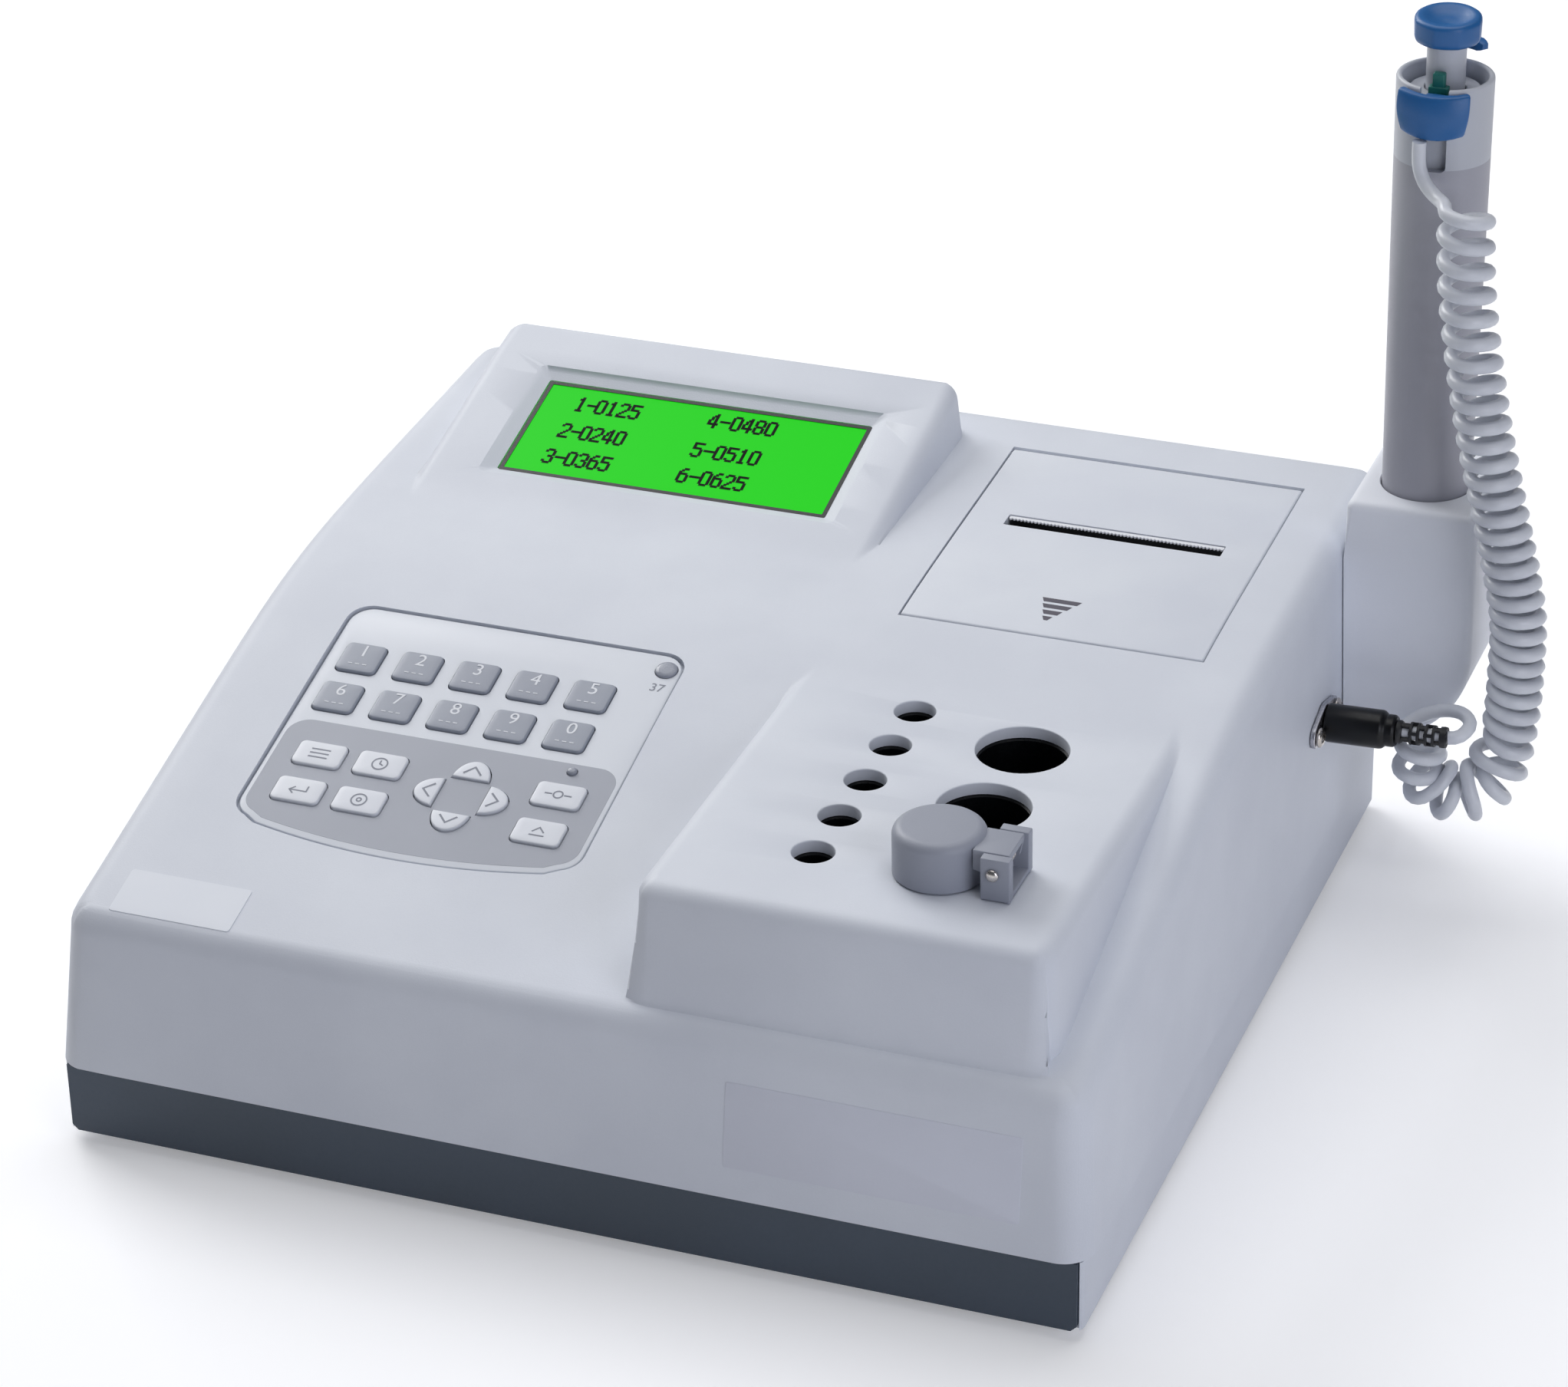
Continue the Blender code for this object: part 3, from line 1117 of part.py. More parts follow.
def make_casing(wedge, pad):
    casing = add("top_cover", casing_shape(0, CASE_RIM), SHELL)
    cut(casing, helper("casing_hollow", casing_shape(CASE_WALL, CASE_RIM - OVERRUN)))
    cut(casing, display_cutter(wedge))
    room = PAD_SUNK + PAD_THICK + GAP
    cut(casing, helper("pad_pocket", prism(pad_outline(0), -room, OVERRUN), parent=pad))
    opening = prism(pad_outline(PAD_LEDGE), -BOARD_UNDER - OVERRUN, OVERRUN)
    cut(casing, helper("pad_opening", opening, parent=pad))
    bay = box(FLAP_LEFT, FLAP_RIGHT, FLAP_FRONT, FLAP_REAR, BLOCK_TOP - CASE_WALL, DECK_REAR_HEIGHT + OVERRUN)
    cut(casing, helper("flap_opening", bay))
    hinge_y, hinge_z = flap_hinge()
    reach = FLAP_PIN_LENGTH + FLAP_PIN_ROOM
    bores = side_prism(
        circle(hinge_y, hinge_z, FLAP_PIN_RADIUS + FLAP_PIN_ROOM, 8), FLAP_LEFT - reach, FLAP_RIGHT + reach
    )
    cut(casing, helper("flap_bores", bores))
    cut(casing, well_cutter("casing_wells", BLOCK_TOP - CASE_WALL - OVERRUN, BLOCK_TOP + OVERRUN, 0))
    rear = bmesh.new()
    back, wall = CASE_DEPTH + OVERRUN, CASE_DEPTH - CASE_WALL - OVERRUN
    half, tall = INLET_WIDTH / 2 + GAP, INLET_HEIGHT / 2 + GAP
    box(INLET_X - half, INLET_X + half, wall, back, INLET_Z - tall, INLET_Z + tall, rear)
    half, tall = SWITCH_WIDTH / 2 + GAP, SWITCH_RADIUS + GAP
    box(SWITCH_X - half, SWITCH_X + half, wall, back, INLET_Z - tall, INLET_Z + tall, rear)
    for k in range(VENT_COUNT):
        x = VENT_FIRST_X + VENT_PITCH * k
        box(x, x + VENT_WIDTH, wall, back, VENT_BOTTOM, VENT_BOTTOM + VENT_HEIGHT, rear)
    cut(casing, helper("rear_openings", rear))


def make_cap():
    """The light-tight cap with its channel arm, built round its hinge pin."""
    centre = (LARGE_WELL_X - PIN_X, 0)
    low = GAP - PIN_HEIGHT
    top = low + CAP_HEIGHT
    profile = [(0, low), (CAP_RADIUS, low), (CAP_RADIUS, top - CAP_EDGE)]
    profile += [(CAP_RADIUS - CAP_EDGE + x, top - CAP_EDGE + y) for x, y in arc(0, 0, CAP_EDGE, 22.5, 90, 3)]
    profile.append((0, top))
    body = turned(profile)
    bmesh.ops.translate(body, vec=(centre[0], 0, 0), verts=body.verts)
    at = (PIN_X, CHANNEL_Y, BLOCK_TOP + PIN_HEIGHT)
    cap = add("channel_cap", body, CAP_GREY, at)
    front, rear = BRACKET_FRONT + EAR_THICK + GAP - CHANNEL_Y, BRACKET_REAR - EAR_THICK - GAP - CHANNEL_Y
    start = centre[0] + CAP_HOLLOW_RADIUS + (CAP_RADIUS - CAP_HOLLOW_RADIUS) / 2
    outline = [(start, -CHEEK_RADIUS / 2)] + arc(0, 0, CHEEK_RADIUS, 250, 340, 4)
    outline += [(ARM_END, ARM_TOP - ARM_THICK), (ARM_END, ARM_TOP), (start, ARM_TOP)]
    join(cap, helper("cap_arm", front_prism(outline, front, rear), at))
    channel = box(
        centre[0] + CAP_RADIUS,
        ARM_END + OVERRUN,
        front + CHEEK_THICK,
        rear - CHEEK_THICK,
        low,
        ARM_TOP - ARM_THICK,
    )
    cut(cap, helper("arm_channel", channel, at))
    cut(cap, helper("cap_pin_bore", along_y(PIN_RADIUS + PIN_ROOM, front - OVERRUN, rear + OVERRUN, 12), at))
    hollow = prism(circle(centre[0], 0, CAP_HOLLOW_RADIUS), low - OVERRUN, low + CAP_HOLLOW_DEPTH)
    cut(cap, helper("cap_hollow", hollow, at))


def along_y(radius, front, rear, steps):
    return front_prism(circle(0, 0, radius, steps), front, rear)


def make_bracket():
    low = BLOCK_TOP + GAP
    inner_front, inner_rear = BRACKET_FRONT + EAR_THICK, BRACKET_REAR - EAR_THICK
    top = low + BRACKET_HEIGHT
    base = low + BRACKET_BASE
    outline = [
        (BRACKET_FRONT, low),
        (BRACKET_REAR, low),
        (BRACKET_REAR, top),
        (inner_rear, top),
        (inner_rear, base),
        (inner_front, base),
        (inner_front, top),
        (BRACKET_FRONT, top),
    ]
    bracket = add("cap_bracket", side_prism(outline, BRACKET_LEFT, BRACKET_RIGHT), CAP_GREY)
    bore = along_y(PIN_RADIUS + PIN_ROOM, BRACKET_FRONT - OVERRUN, BRACKET_REAR + OVERRUN, 12)
    cut(bracket, helper("bracket_bore", bore, (PIN_X, 0, BLOCK_TOP + PIN_HEIGHT)))


def make_pin():
    middle = (BRACKET_FRONT + BRACKET_REAR) / 2
    reach = (BRACKET_REAR - BRACKET_FRONT) / 2 + GAP
    half = [(PIN_HEAD_RADIUS, reach)]
    half += [
        (PIN_HEAD_RADIUS * math.cos(a), reach + PIN_HEAD_HEIGHT * math.sin(a))
        for a in (math.pi / 6, math.pi / 3)
    ]
    profile = [(0, -reach - PIN_HEAD_HEIGHT)] + [(r, -z) for r, z in half[::-1]]
    profile += [(PIN_RADIUS, -reach), (PIN_RADIUS, reach)] + half + [(0, reach + PIN_HEAD_HEIGHT)]
    at = (PIN_X, middle, BLOCK_TOP + PIN_HEIGHT)
    add("cap_pin", turned(profile, 12), STEEL, at, (math.radians(90), 0, 0))


def wire(name, points, diameter, look, at=(0, 0, 0)):
    """A round wire along points, as a curve with filled ends."""
    curve = bpy.data.curves.new(name, "CURVE")
    curve.dimensions = "3D"
    curve.bevel_depth = diameter / 2
    curve.bevel_resolution = 1
    curve.use_fill_caps = True
    line = curve.splines.new("POLY")
    line.points.add(len(points) - 1)
    for point, place in zip(line.points, points):
        point.co = (*place, 1)
    curve.materials.append(material(name, look))
    made = bpy.data.objects.new(name, curve)
    bpy.context.collection.objects.link(made)
    made.parent = case
    made.location = at
    return made


def make_spring():
    """A torsion spring round the pin, one leg on the bracket's base and one under the arm."""
    front = BRACKET_FRONT + EAR_THICK + GAP + CHEEK_THICK
    rear = BRACKET_REAR - EAR_THICK - GAP - CHEEK_THICK
    length = rear - front - SPRING_WIRE - GAP - GAP
    steps = SPRING_CURLS * CORD_POINTS_PER_CURL
    turn = np.arange(steps + 1) / CORD_POINTS_PER_CURL
    angle = math.pi + turn * 2 * math.pi
    y = front + GAP + SPRING_WIRE / 2 + length * turn / SPRING_CURLS
    coil = np.stack([SPRING_RADIUS * np.cos(angle), y, SPRING_RADIUS * np.sin(angle)], axis=1)
    touch = GAP + SPRING_WIRE / 2
    first = coil[0] * (1, 1, 0) + (0, 0, BRACKET_BASE + GAP - PIN_HEIGHT + touch)
    last = coil[-1] * (1, 1, 0) + (0, 0, ARM_TOP - ARM_THICK - touch)
    points = np.vstack([first, coil, last])
    wire("cap_spring", points, SPRING_WIRE, STEEL, (PIN_X, 0, BLOCK_TOP + PIN_HEIGHT))


def make_arm_block():
    inner_low, inner_top = side_wall(ARM_BOTTOM) + GAP, side_wall(DECK_REAR_HEIGHT - CASE_EDGE) + GAP
    outline = [(inner_low, ARM_BOTTOM)]
    outline += arc(ARM_RIGHT - ARM_SWEEP, ARM_BOTTOM + ARM_SWEEP, ARM_SWEEP, 270, 360, 6)
    outline += [(ARM_RIGHT, ARM_HEIGHT), (inner_top, ARM_HEIGHT), (inner_top, DECK_REAR_HEIGHT - CASE_EDGE)]
    block = add("arm_block", front_prism(outline, ARM_FRONT, ARM_REAR), SHELL)
    soften(block, ARM_EDGE, 2, 40)
    socket = turned(
        [
            (0, ARM_HEIGHT - TUBE_SOCKET),
            (TUBE_FOOT_RADIUS + GAP, ARM_HEIGHT - TUBE_SOCKET),
            (TUBE_FOOT_RADIUS + GAP, ARM_HEIGHT + OVERRUN),
            (0, ARM_HEIGHT + OVERRUN),
        ]
    )
    cut(block, helper("tube_socket", socket, (TUBE_X, TUBE_Y, 0)))


def make_tube():
    low = ARM_HEIGHT - TUBE_SOCKET + GAP
    bore = TUBE_TOP_RADIUS - TUBE_WALL
    profile = [
        (TUBE_FOOT_RADIUS, low),
        (TUBE_FOOT_RADIUS, ARM_HEIGHT + GAP),
        (TUBE_TOP_RADIUS, TUBE_TOP - TUBE_WALL / 2),
        (TUBE_TOP_RADIUS - TUBE_WALL / 3, TUBE_TOP),
        (bore, TUBE_TOP),
        (bore - TUBE_TOP_RADIUS + TUBE_FOOT_RADIUS, TUBE_LEDGE),
        (TUBE_LOWER_BORE, TUBE_LEDGE),
        (TUBE_LOWER_BORE, low),
    ]
    tube = add("holder_tube", tube_shape(profile), TUBE_GREY, (TUBE_X, TUBE_Y, 0))
    half = TUBE_SLOT_WIDTH / 2
    slot = box(-half, half, -TUBE_TOP_RADIUS - OVERRUN, 0, TUBE_SLOT_BOTTOM, TUBE_TOP + OVERRUN)
    cut(tube, helper("tube_slot", slot, (TUBE_X, TUBE_Y, 0)))


def make_pipette():
    at = (TUBE_X, TUBE_Y, 0)
    shoulder = TUBE_LEDGE + GAP
    profile = [
        (0, PIPETTE_TIP),
        (PIPETTE_TIP_RADIUS / 2, PIPETTE_TIP),
        (PIPETTE_TIP_RADIUS, PIPETTE_CONE_TOP),
        (PIPETTE_SHAFT_RADIUS, shoulder),
        (PIPETTE_RADIUS, shoulder),
        (PIPETTE_RADIUS, PIPETTE_TOP - KEY_ROUND),
        (PIPETTE_RADIUS - KEY_ROUND, PIPETTE_TOP),
        (0, PIPETTE_TOP),
    ]
    body = add("pipette_body", turned(profile), PALE, at)
    bore = prism(circle(0, 0, ROD_RADIUS + GAP, 16), ROD_BORE_BOTTOM, PIPETTE_TOP + OVERRUN)
    cut(body, helper("rod_bore", bore, at))
    half = TAB_WIDTH / 2 + GAP
    bottom = TAB_BOTTOM - TAB_TRAVEL - GAP
    pocket = box(-half, half, -TAB_FAR - GAP, -ROD_RADIUS / 2, bottom, PIPETTE_TOP + OVERRUN)
    cut(body, helper("tab_pocket", pocket, at))

    rod_top = BUTTON_BOTTOM - GAP
    rod = [(0, ROD_BOTTOM), (ROD_RADIUS, ROD_BOTTOM), (ROD_RADIUS, rod_top), (0, rod_top)]
    add("plunger_rod", turned(rod, 16), PALE, at)
    rise = BUTTON_TOP - BUTTON_BOTTOM
    edge = rise / 5
    button = [
        (0, BUTTON_BOTTOM),
        (BUTTON_RADIUS - edge, BUTTON_BOTTOM),
        (BUTTON_RADIUS, BUTTON_BOTTOM + edge),
        (BUTTON_RADIUS, BUTTON_TOP - edge),
        (BUTTON_RADIUS - edge, BUTTON_TOP),
        (BUTTON_RADIUS / 2, BUTTON_TOP - BUTTON_DISH * 2 / 3),
        (0, BUTTON_TOP - BUTTON_DISH),
    ]
    add("plunger_button", turned(button, BUTTON_SIDES * 2), BLUE, at)

    half_width = TAB_WIDTH / 2
    tab = box(-half_width, half_width, -TAB_FAR, -TAB_NEAR, TAB_BOTTOM, TAB_TOP)
    add("start_tab", tab, TEAL, at)

    crown = ring_sector(EJECTOR_INNER, EJECTOR_OUTER, EJECTOR_HALF_ANGLE, 90)
    ejector = add("ejector_button", prism(crown, EJECTOR_BOTTOM, EJECTOR_TOP), BLUE, at)
    stem = ring_sector(EJECTOR_INNER + GAP / 3, EJECTOR_STEM_OUTER, EJECTOR_STEM_HALF_ANGLE, 90)
    join(ejector, helper("ejector_stem", prism(stem, EJECTOR_STEM_BOTTOM, EJECTOR_TOP - GAP), at))

    saddle = ring_sector(REST_INNER, REST_OUTER, REST_HALF_ANGLE, 270)
    rest = add("finger_rest", prism(saddle, REST_BOTTOM, REST_TOP), BLUE, at)
    web_half = REST_WEB_WIDTH / 2
    near = PIPETTE_RADIUS + GAP
    web = box(-web_half, web_half, -REST_OUTER + GAP, -near, REST_BOTTOM + GAP, REST_TOP - GAP)
    join(rest, helper("rest_web", web, at))


def ring_sector(inner, outer, half_angle, facing):
    """A plan outline: part of a ring, facing an angle in degrees."""
    spread = math.degrees(half_angle)
    outside = arc(0, 0, outer, facing - spread, facing + spread, 6)
    inside = arc(0, 0, inner, facing + spread, facing - spread, 6)
    return outside + inside


def side_datum():
    """On the casing's right side at the jack: X points out of the wall."""
    lean = math.atan(SIDE_LEAN / (DECK_REAR_HEIGHT - CASE_EDGE - CASE_RIM))
    return empty("side_datum", (side_wall(JACK_Z), JACK_Y, JACK_Z), (0, -lean, 0))


def along_x(profile, steps=ROUND_STEPS):
    shape = turned(profile, steps)
    bmesh.ops.transform(shape, matrix=Matrix.Rotation(math.radians(90), 4, "Y"), verts=shape.verts)
    return shape


def make_jack(datum):
    face = GAP + JACK_FLANGE_THICK
    half, tall = JACK_FLANGE_LENGTH / 2, JACK_FLANGE_HEIGHT / 2
    outline = rounded(-half, half, -tall, tall, tall * JACK_ROUND_SHARE, EDGE_STEPS)
    socket = add("jack_socket", side_prism(outline, GAP, face), STEEL, parent=datum)
    barrel = [
        (0, -JACK_BARREL_LENGTH),
        (JACK_BARREL_RADIUS, -JACK_BARREL_LENGTH),
        (JACK_BARREL_RADIUS, face - GAP),
        (0, face - GAP),
    ]
    join(socket, helper("jack_barrel", along_x(barrel, 16), parent=datum))
    bore = [
        (0, -JACK_BARREL_LENGTH + JACK_FLANGE_THICK),
        (JACK_BORE_RADIUS, -JACK_BARREL_LENGTH + JACK_FLANGE_THICK),
        (JACK_BORE_RADIUS, face + OVERRUN),
        (0, face + OVERRUN),
    ]
    cut(socket, helper("jack_bore", along_x(bore, 16), parent=datum))
    hole = [
        (0, -OVERRUN - CASE_WALL),
        (SCREW_SHANK_RADIUS + GAP, -OVERRUN - CASE_WALL),
        (SCREW_SHANK_RADIUS + GAP, face + OVERRUN),
        (0, face + OVERRUN),
    ]
    casing = bpy.data.objects["top_cover"]
    apart = JACK_SCREW_SPACING / 2
    for name, y in (("socket_screw_front", -apart), ("socket_screw_rear", apart)):
        cutter = helper(name + "_hole", along_x(hole, 10), (0, y, 0), parent=datum)
        cut(socket, cutter)
        cut(casing, cutter)
        head = face + GAP
        screw = [
            (0, head - SCREW_LENGTH),
            (SCREW_SHANK_RADIUS, head - SCREW_LENGTH),
            (SCREW_SHANK_RADIUS, head),
            (SCREW_HEAD_RADIUS, head),
            (SCREW_HEAD_RADIUS * SCREW_RIM_SHARE, head + SCREW_HEAD_HEIGHT * SCREW_RISE_SHARE),
            (SCREW_HEAD_RADIUS / 2, head + SCREW_HEAD_HEIGHT),
            (0, head + SCREW_HEAD_HEIGHT),
        ]
        add(name, along_x(screw, 12), STEEL, (0, y, 0), parent=datum)
    wide = [
        (0, -OVERRUN - CASE_WALL),
        (JACK_BARREL_RADIUS + GAP, -OVERRUN - CASE_WALL),
        (JACK_BARREL_RADIUS + GAP, OVERRUN),
        (0, OVERRUN),
    ]
    cut(casing, helper("jack_hole", along_x(wide, 16), parent=datum))


def plug_end():
    """How far the plug and its strain relief reach out from the wall."""
    return GAP + JACK_FLANGE_THICK + GAP + PLUG_LENGTH


def make_plug(datum):
    start = GAP + JACK_FLANGE_THICK + GAP
    end = plug_end()
    shoulder = end - PLUG_SHOULDER_LENGTH
    edge = PLUG_SHOULDER_LENGTH / 4
    plug = [
        (0, start - PLUG_TIP_LENGTH),
        (PLUG_TIP_RADIUS / 2, start - PLUG_TIP_LENGTH),
        (PLUG_TIP_RADIUS, start - PLUG_TIP_LENGTH + PLUG_TIP_RADIUS),
        (PLUG_TIP_RADIUS, start),
        (PLUG_RADIUS, start),
        (PLUG_RADIUS, shoulder - edge),
        (PLUG_RADIUS - edge, shoulder),
        (PLUG_SHOULDER_RADIUS, shoulder),
        (PLUG_SHOULDER_RADIUS, end),
        (0, end),
    ]
    add("jack_plug", along_x(plug, 20), BLACK, parent=datum)
    begin = end + GAP
    pitch = RELIEF_LENGTH / (RELIEF_RIBS * 2)
    relief = [(0, begin)]
    for k in range(RELIEF_RIBS):
        x = begin + pitch * 2 * k
        relief += [(RELIEF_RADIUS, x), (RELIEF_RADIUS, x + pitch)]
        relief += [(RELIEF_NECK_RADIUS, x + pitch), (RELIEF_NECK_RADIUS, x + pitch * 2)]
    relief.append((0, begin + RELIEF_LENGTH))
    add("strain_relief", along_x(relief, 12), BLACK, parent=datum)


# The curly cord's middle line, chosen by eye from the photograph, from the pipette down, round the bend
# and up to the plug: X and Y from the holder tube's axis, and height
CORD_ROUTE = [
    (0.0125, -0.0245, 0.2010),
    (0.0130, -0.0250, 0.1900),
    (0.0140, -0.0255, 0.1780),
    (0.0168, -0.0262, 0.1600),
    (0.0208, -0.0267, 0.1395),
    (0.0260, -0.0269, 0.1176),
    (0.0298, -0.0269, 0.1015),
    (0.0320, -0.0269, 0.0890),
    (0.0322, -0.0269, 0.0755),
    (0.0318, -0.0270, 0.0615),
    (0.0303, -0.0278, 0.0480),
    (0.0280, -0.0287, 0.0418),
    (0.0242, -0.0297, 0.0382),
    (0.0192, -0.0308, 0.0368),
    (0.0142, -0.0318, 0.0382),
    (0.0104, -0.0326, 0.0420),
    (0.0090, -0.0332, 0.0475),
]
# Pitch of the curls along that line, from one end to the other: stretched at the top, close lower down,
# and open again round the bend, where its inner side draws together
CORD_PITCHES = [0.0068, 0.0065, 0.0061, 0.0056, 0.0052, 0.0049, 0.0047, 0.0046]
CORD_PITCHES += [0.0045, 0.0045, 0.0047, 0.0066, 0.0096, 0.0101, 0.0100]
# Where it hangs down from the pipette before its curls, and how it comes round into the plug after them
CORD_LEAD = [
    (-0.0025, -0.0148, 0.2130),
    (-0.0025, -0.0148, 0.2094),
    (-0.0023, -0.0149, 0.2052),
    (-0.0008, -0.0154, 0.2022),
    (0.0028, -0.0165, 0.2008),
    (0.0075, -0.0177, 0.2005),
]
CORD_TURN_IN = [
    (0.0160, -0.0395, 0.0492),
    (0.0202, -0.0398, 0.0500),
    (0.0240, -0.0396, 0.0520),
    (0.0255, -0.0393, 0.0550),
    (0.0244, -0.0391, 0.0573),
]


def smooth_line(points, count):
    """A smooth line through points, read at even steps along it."""
    points = np.array(points)
    padded = np.vstack([2 * points[0] - points[1], points, 2 * points[-1] - points[-2]])
    steps = 12
    t = np.linspace(0, 1, steps, endpoint=False)[:, None]
    pieces = []
    for a, b, c, d in zip(padded, padded[1:], padded[2:], padded[3:]):
        pieces.append(
            b + t * (c - a) / 2 + t**2 * (2 * a - 5 * b + 4 * c - d) / 2 + t**3 * (3 * b - a - 3 * c + d) / 2
        )
    line = np.vstack(pieces + [points[-1:]])
    run = np.concatenate([[0], np.cumsum(np.linalg.norm(np.diff(line, axis=0), axis=1))])
    even = np.linspace(0, run[-1], count)
    return np.stack([np.interp(even, run, line[:, k]) for k in range(3)], axis=1), run[-1]


def curly_points(end_point, end_way):
    """The cord's points: lead, curls round the route, and a tail that runs square into the plug."""
    axis = np.array([TUBE_X, TUBE_Y, 0])
    line, length = smooth_line(CORD_ROUTE + axis, CORD_SAMPLES)
    along = np.linspace(0, length, len(line))
    pitch_at = np.linspace(0, length, len(CORD_PITCHES))
    pitch = np.interp(along, pitch_at, CORD_PITCHES)
    turns = np.concatenate([[0], np.cumsum(np.diff(along) / ((pitch[1:] + pitch[:-1]) / 2))])
    curls = math.floor(turns[-1])
    count = curls * CORD_POINTS_PER_CURL
    wanted = np.arange(count + 1) / CORD_POINTS_PER_CURL
    place = np.interp(wanted, turns, along)
    centre = np.stack([np.interp(place, along, line[:, k]) for k in range(3)], axis=1)
    way = np.gradient(centre, axis=0)
    way /= np.linalg.norm(way, axis=1)[:, None]
    across = np.cross(way, (0, 1, 0))
    across /= np.linalg.norm(across, axis=1)[:, None]
    other = np.cross(across, way)
    angle = CORD_FIRST_ANGLE - wanted * 2 * math.pi
    coil = centre + CORD_COIL_RADIUS * (np.cos(angle)[:, None] * across + np.sin(angle)[:, None] * other)
    end = np.array(end_point)
    tail = [end + np.array(end_way) * CORD_DIAMETER, end]
    return np.vstack([CORD_LEAD + axis, coil, CORD_TURN_IN + axis, tail]), curls


def least_gap(points, diameter, apart):
    """Least gap between stretches of the cord further apart than that along it, and the cord's length."""
    points, _ = smooth_line(points, len(points) * 6)
    run = np.concatenate([[0], np.cumsum(np.linalg.norm(np.diff(points, axis=0), axis=1))])
    least = math.inf
    for k in range(len(points)):
        far = run - run[k] > apart
        if far.any():
            least = min(least, float(np.linalg.norm(points[far] - points[k], axis=1).min()))
    return least - diameter, run[-1]


def make_cord(datum):
    reach = plug_end() + GAP + RELIEF_LENGTH + GAP
    lean = datum.rotation_euler.y
    way = Vector((math.cos(lean), 0, -math.sin(lean)))
    end = Vector(datum.location) + way * reach
    points, curls = curly_points(end, way)
    wire("curly_cord", points, CORD_DIAMETER, CORD_GREY)
    gap, length = least_gap(points, CORD_DIAMETER, CORD_DIAMETER * 3)
    print(f"curly cord: {curls} curls, {length:.3f} m long, least gap to itself {gap * 1000:.2f} mm")


def make_rear():
    front, rear = CASE_DEPTH - INLET_DEPTH, CASE_DEPTH
    half, tall = INLET_WIDTH / 2, INLET_HEIGHT / 2
    at = (INLET_X, 0, INLET_Z)
    inlet = add("power_inlet", box(-half, half, front, rear, -tall, tall), BLACK, at)
    half, tall = INLET_MOUTH_WIDTH / 2, INLET_MOUTH_HEIGHT / 2
    floor = rear - INLET_MOUTH_DEPTH
    cut(inlet, helper("inlet_mouth", box(-half, half, floor, rear + OVERRUN, -tall, tall), at))
    pins = bmesh.new()
    wide, high = INLET_PIN_WIDTH / 2, INLET_PIN_HEIGHT / 2
    for x, z in (
        (-INLET_PIN_SPACING / 2, -INLET_PIN_RISE),
        (0, INLET_PIN_RISE),
        (INLET_PIN_SPACING / 2, -INLET_PIN_RISE),
    ):
        box(x - wide, x + wide, floor - OVERRUN, floor + INLET_PIN_LENGTH, z - high, z + high, pins)
    join(inlet, helper("inlet_pins", pins, at))

    lip_y, lip_z = SWITCH_RADIUS * math.cos(SWITCH_LIP_ANGLE), SWITCH_RADIUS * math.sin(SWITCH_LIP_ANGLE)
    outline = arc(0, 0, SWITCH_RADIUS, 100, 260, 6)
    outline += [(lip_y, -lip_z), (lip_y - SWITCH_HOLLOW, 0), (lip_y, lip_z)]
    half = SWITCH_WIDTH / 2
    rocker = side_prism(outline, -half, half)
    bmesh.ops.rotate(rocker, matrix=Matrix.Rotation(-SWITCH_TILT, 3, "X"), verts=rocker.verts)
    add("power_switch", rocker, BLACK, (SWITCH_X, CASE_DEPTH - SWITCH_PIVOT_DEPTH, INLET_Z))


def make_main_board():
    outline = rectangle(MAIN_LEFT, MAIN_RIGHT, MAIN_FRONT, MAIN_REAR)
    board = add("main_board", prism(outline, MAIN_HEIGHT, MAIN_HEIGHT + BOARD_THICK), BOARD_GREEN)
    parts = bmesh.new()
    face = MAIN_HEIGHT + BOARD_THICK / 2
    wide, deep, tall = SUPPLY_SIZE
    left, rear = MAIN_LEFT + POST_RADIUS * 3, MAIN_REAR - POST_RADIUS * 3
    box(left, left + wide, rear - deep, rear, face, face + tall, parts)
    wide, deep, tall = CHIP_SIZE
    right, front = MAIN_RIGHT - POST_RADIUS * 3, MAIN_FRONT + POST_RADIUS * 3
    box(right - wide, right, front, front + deep, face, face + tall, parts)
    join(board, helper("board_parts", parts))


def build():
    wedge = wedge_datum()
    pad = pad_datum()
    side = side_datum()
    make_tray()
    make_band()
    make_feet()
    make_casing(wedge, pad)
    make_display(wedge)
    make_keypad(pad)
    make_flap()
    make_tear_bar()
    make_printer_bay()
    make_platen()
    make_print_head()
    make_metal_block()
    make_cap()
    make_bracket()
    make_pin()
    make_spring()
    make_arm_block()
    make_tube()
    make_pipette()
    make_jack(side)
    make_plug(side)
    make_cord(side)
    make_rear()
    make_main_board()


build()
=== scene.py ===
"""Looks of the coagulation analyzer: a bench instrument of moulded, lightly textured plastic with a keypad,
a lit green display, a strip printer under a flap, a heated well block with a hinged channel cap, and a
pipette in a holder tube that a curly cord joins to the casing.

Lengths are in metres. Shapes are worked out in the instrument's own frame, measured from the front lower
edge in the middle of the casing, and `place` moves them into the frame of the CAD.
"""

import math

import bpy
import numpy as np
from mathutils import Matrix, Vector


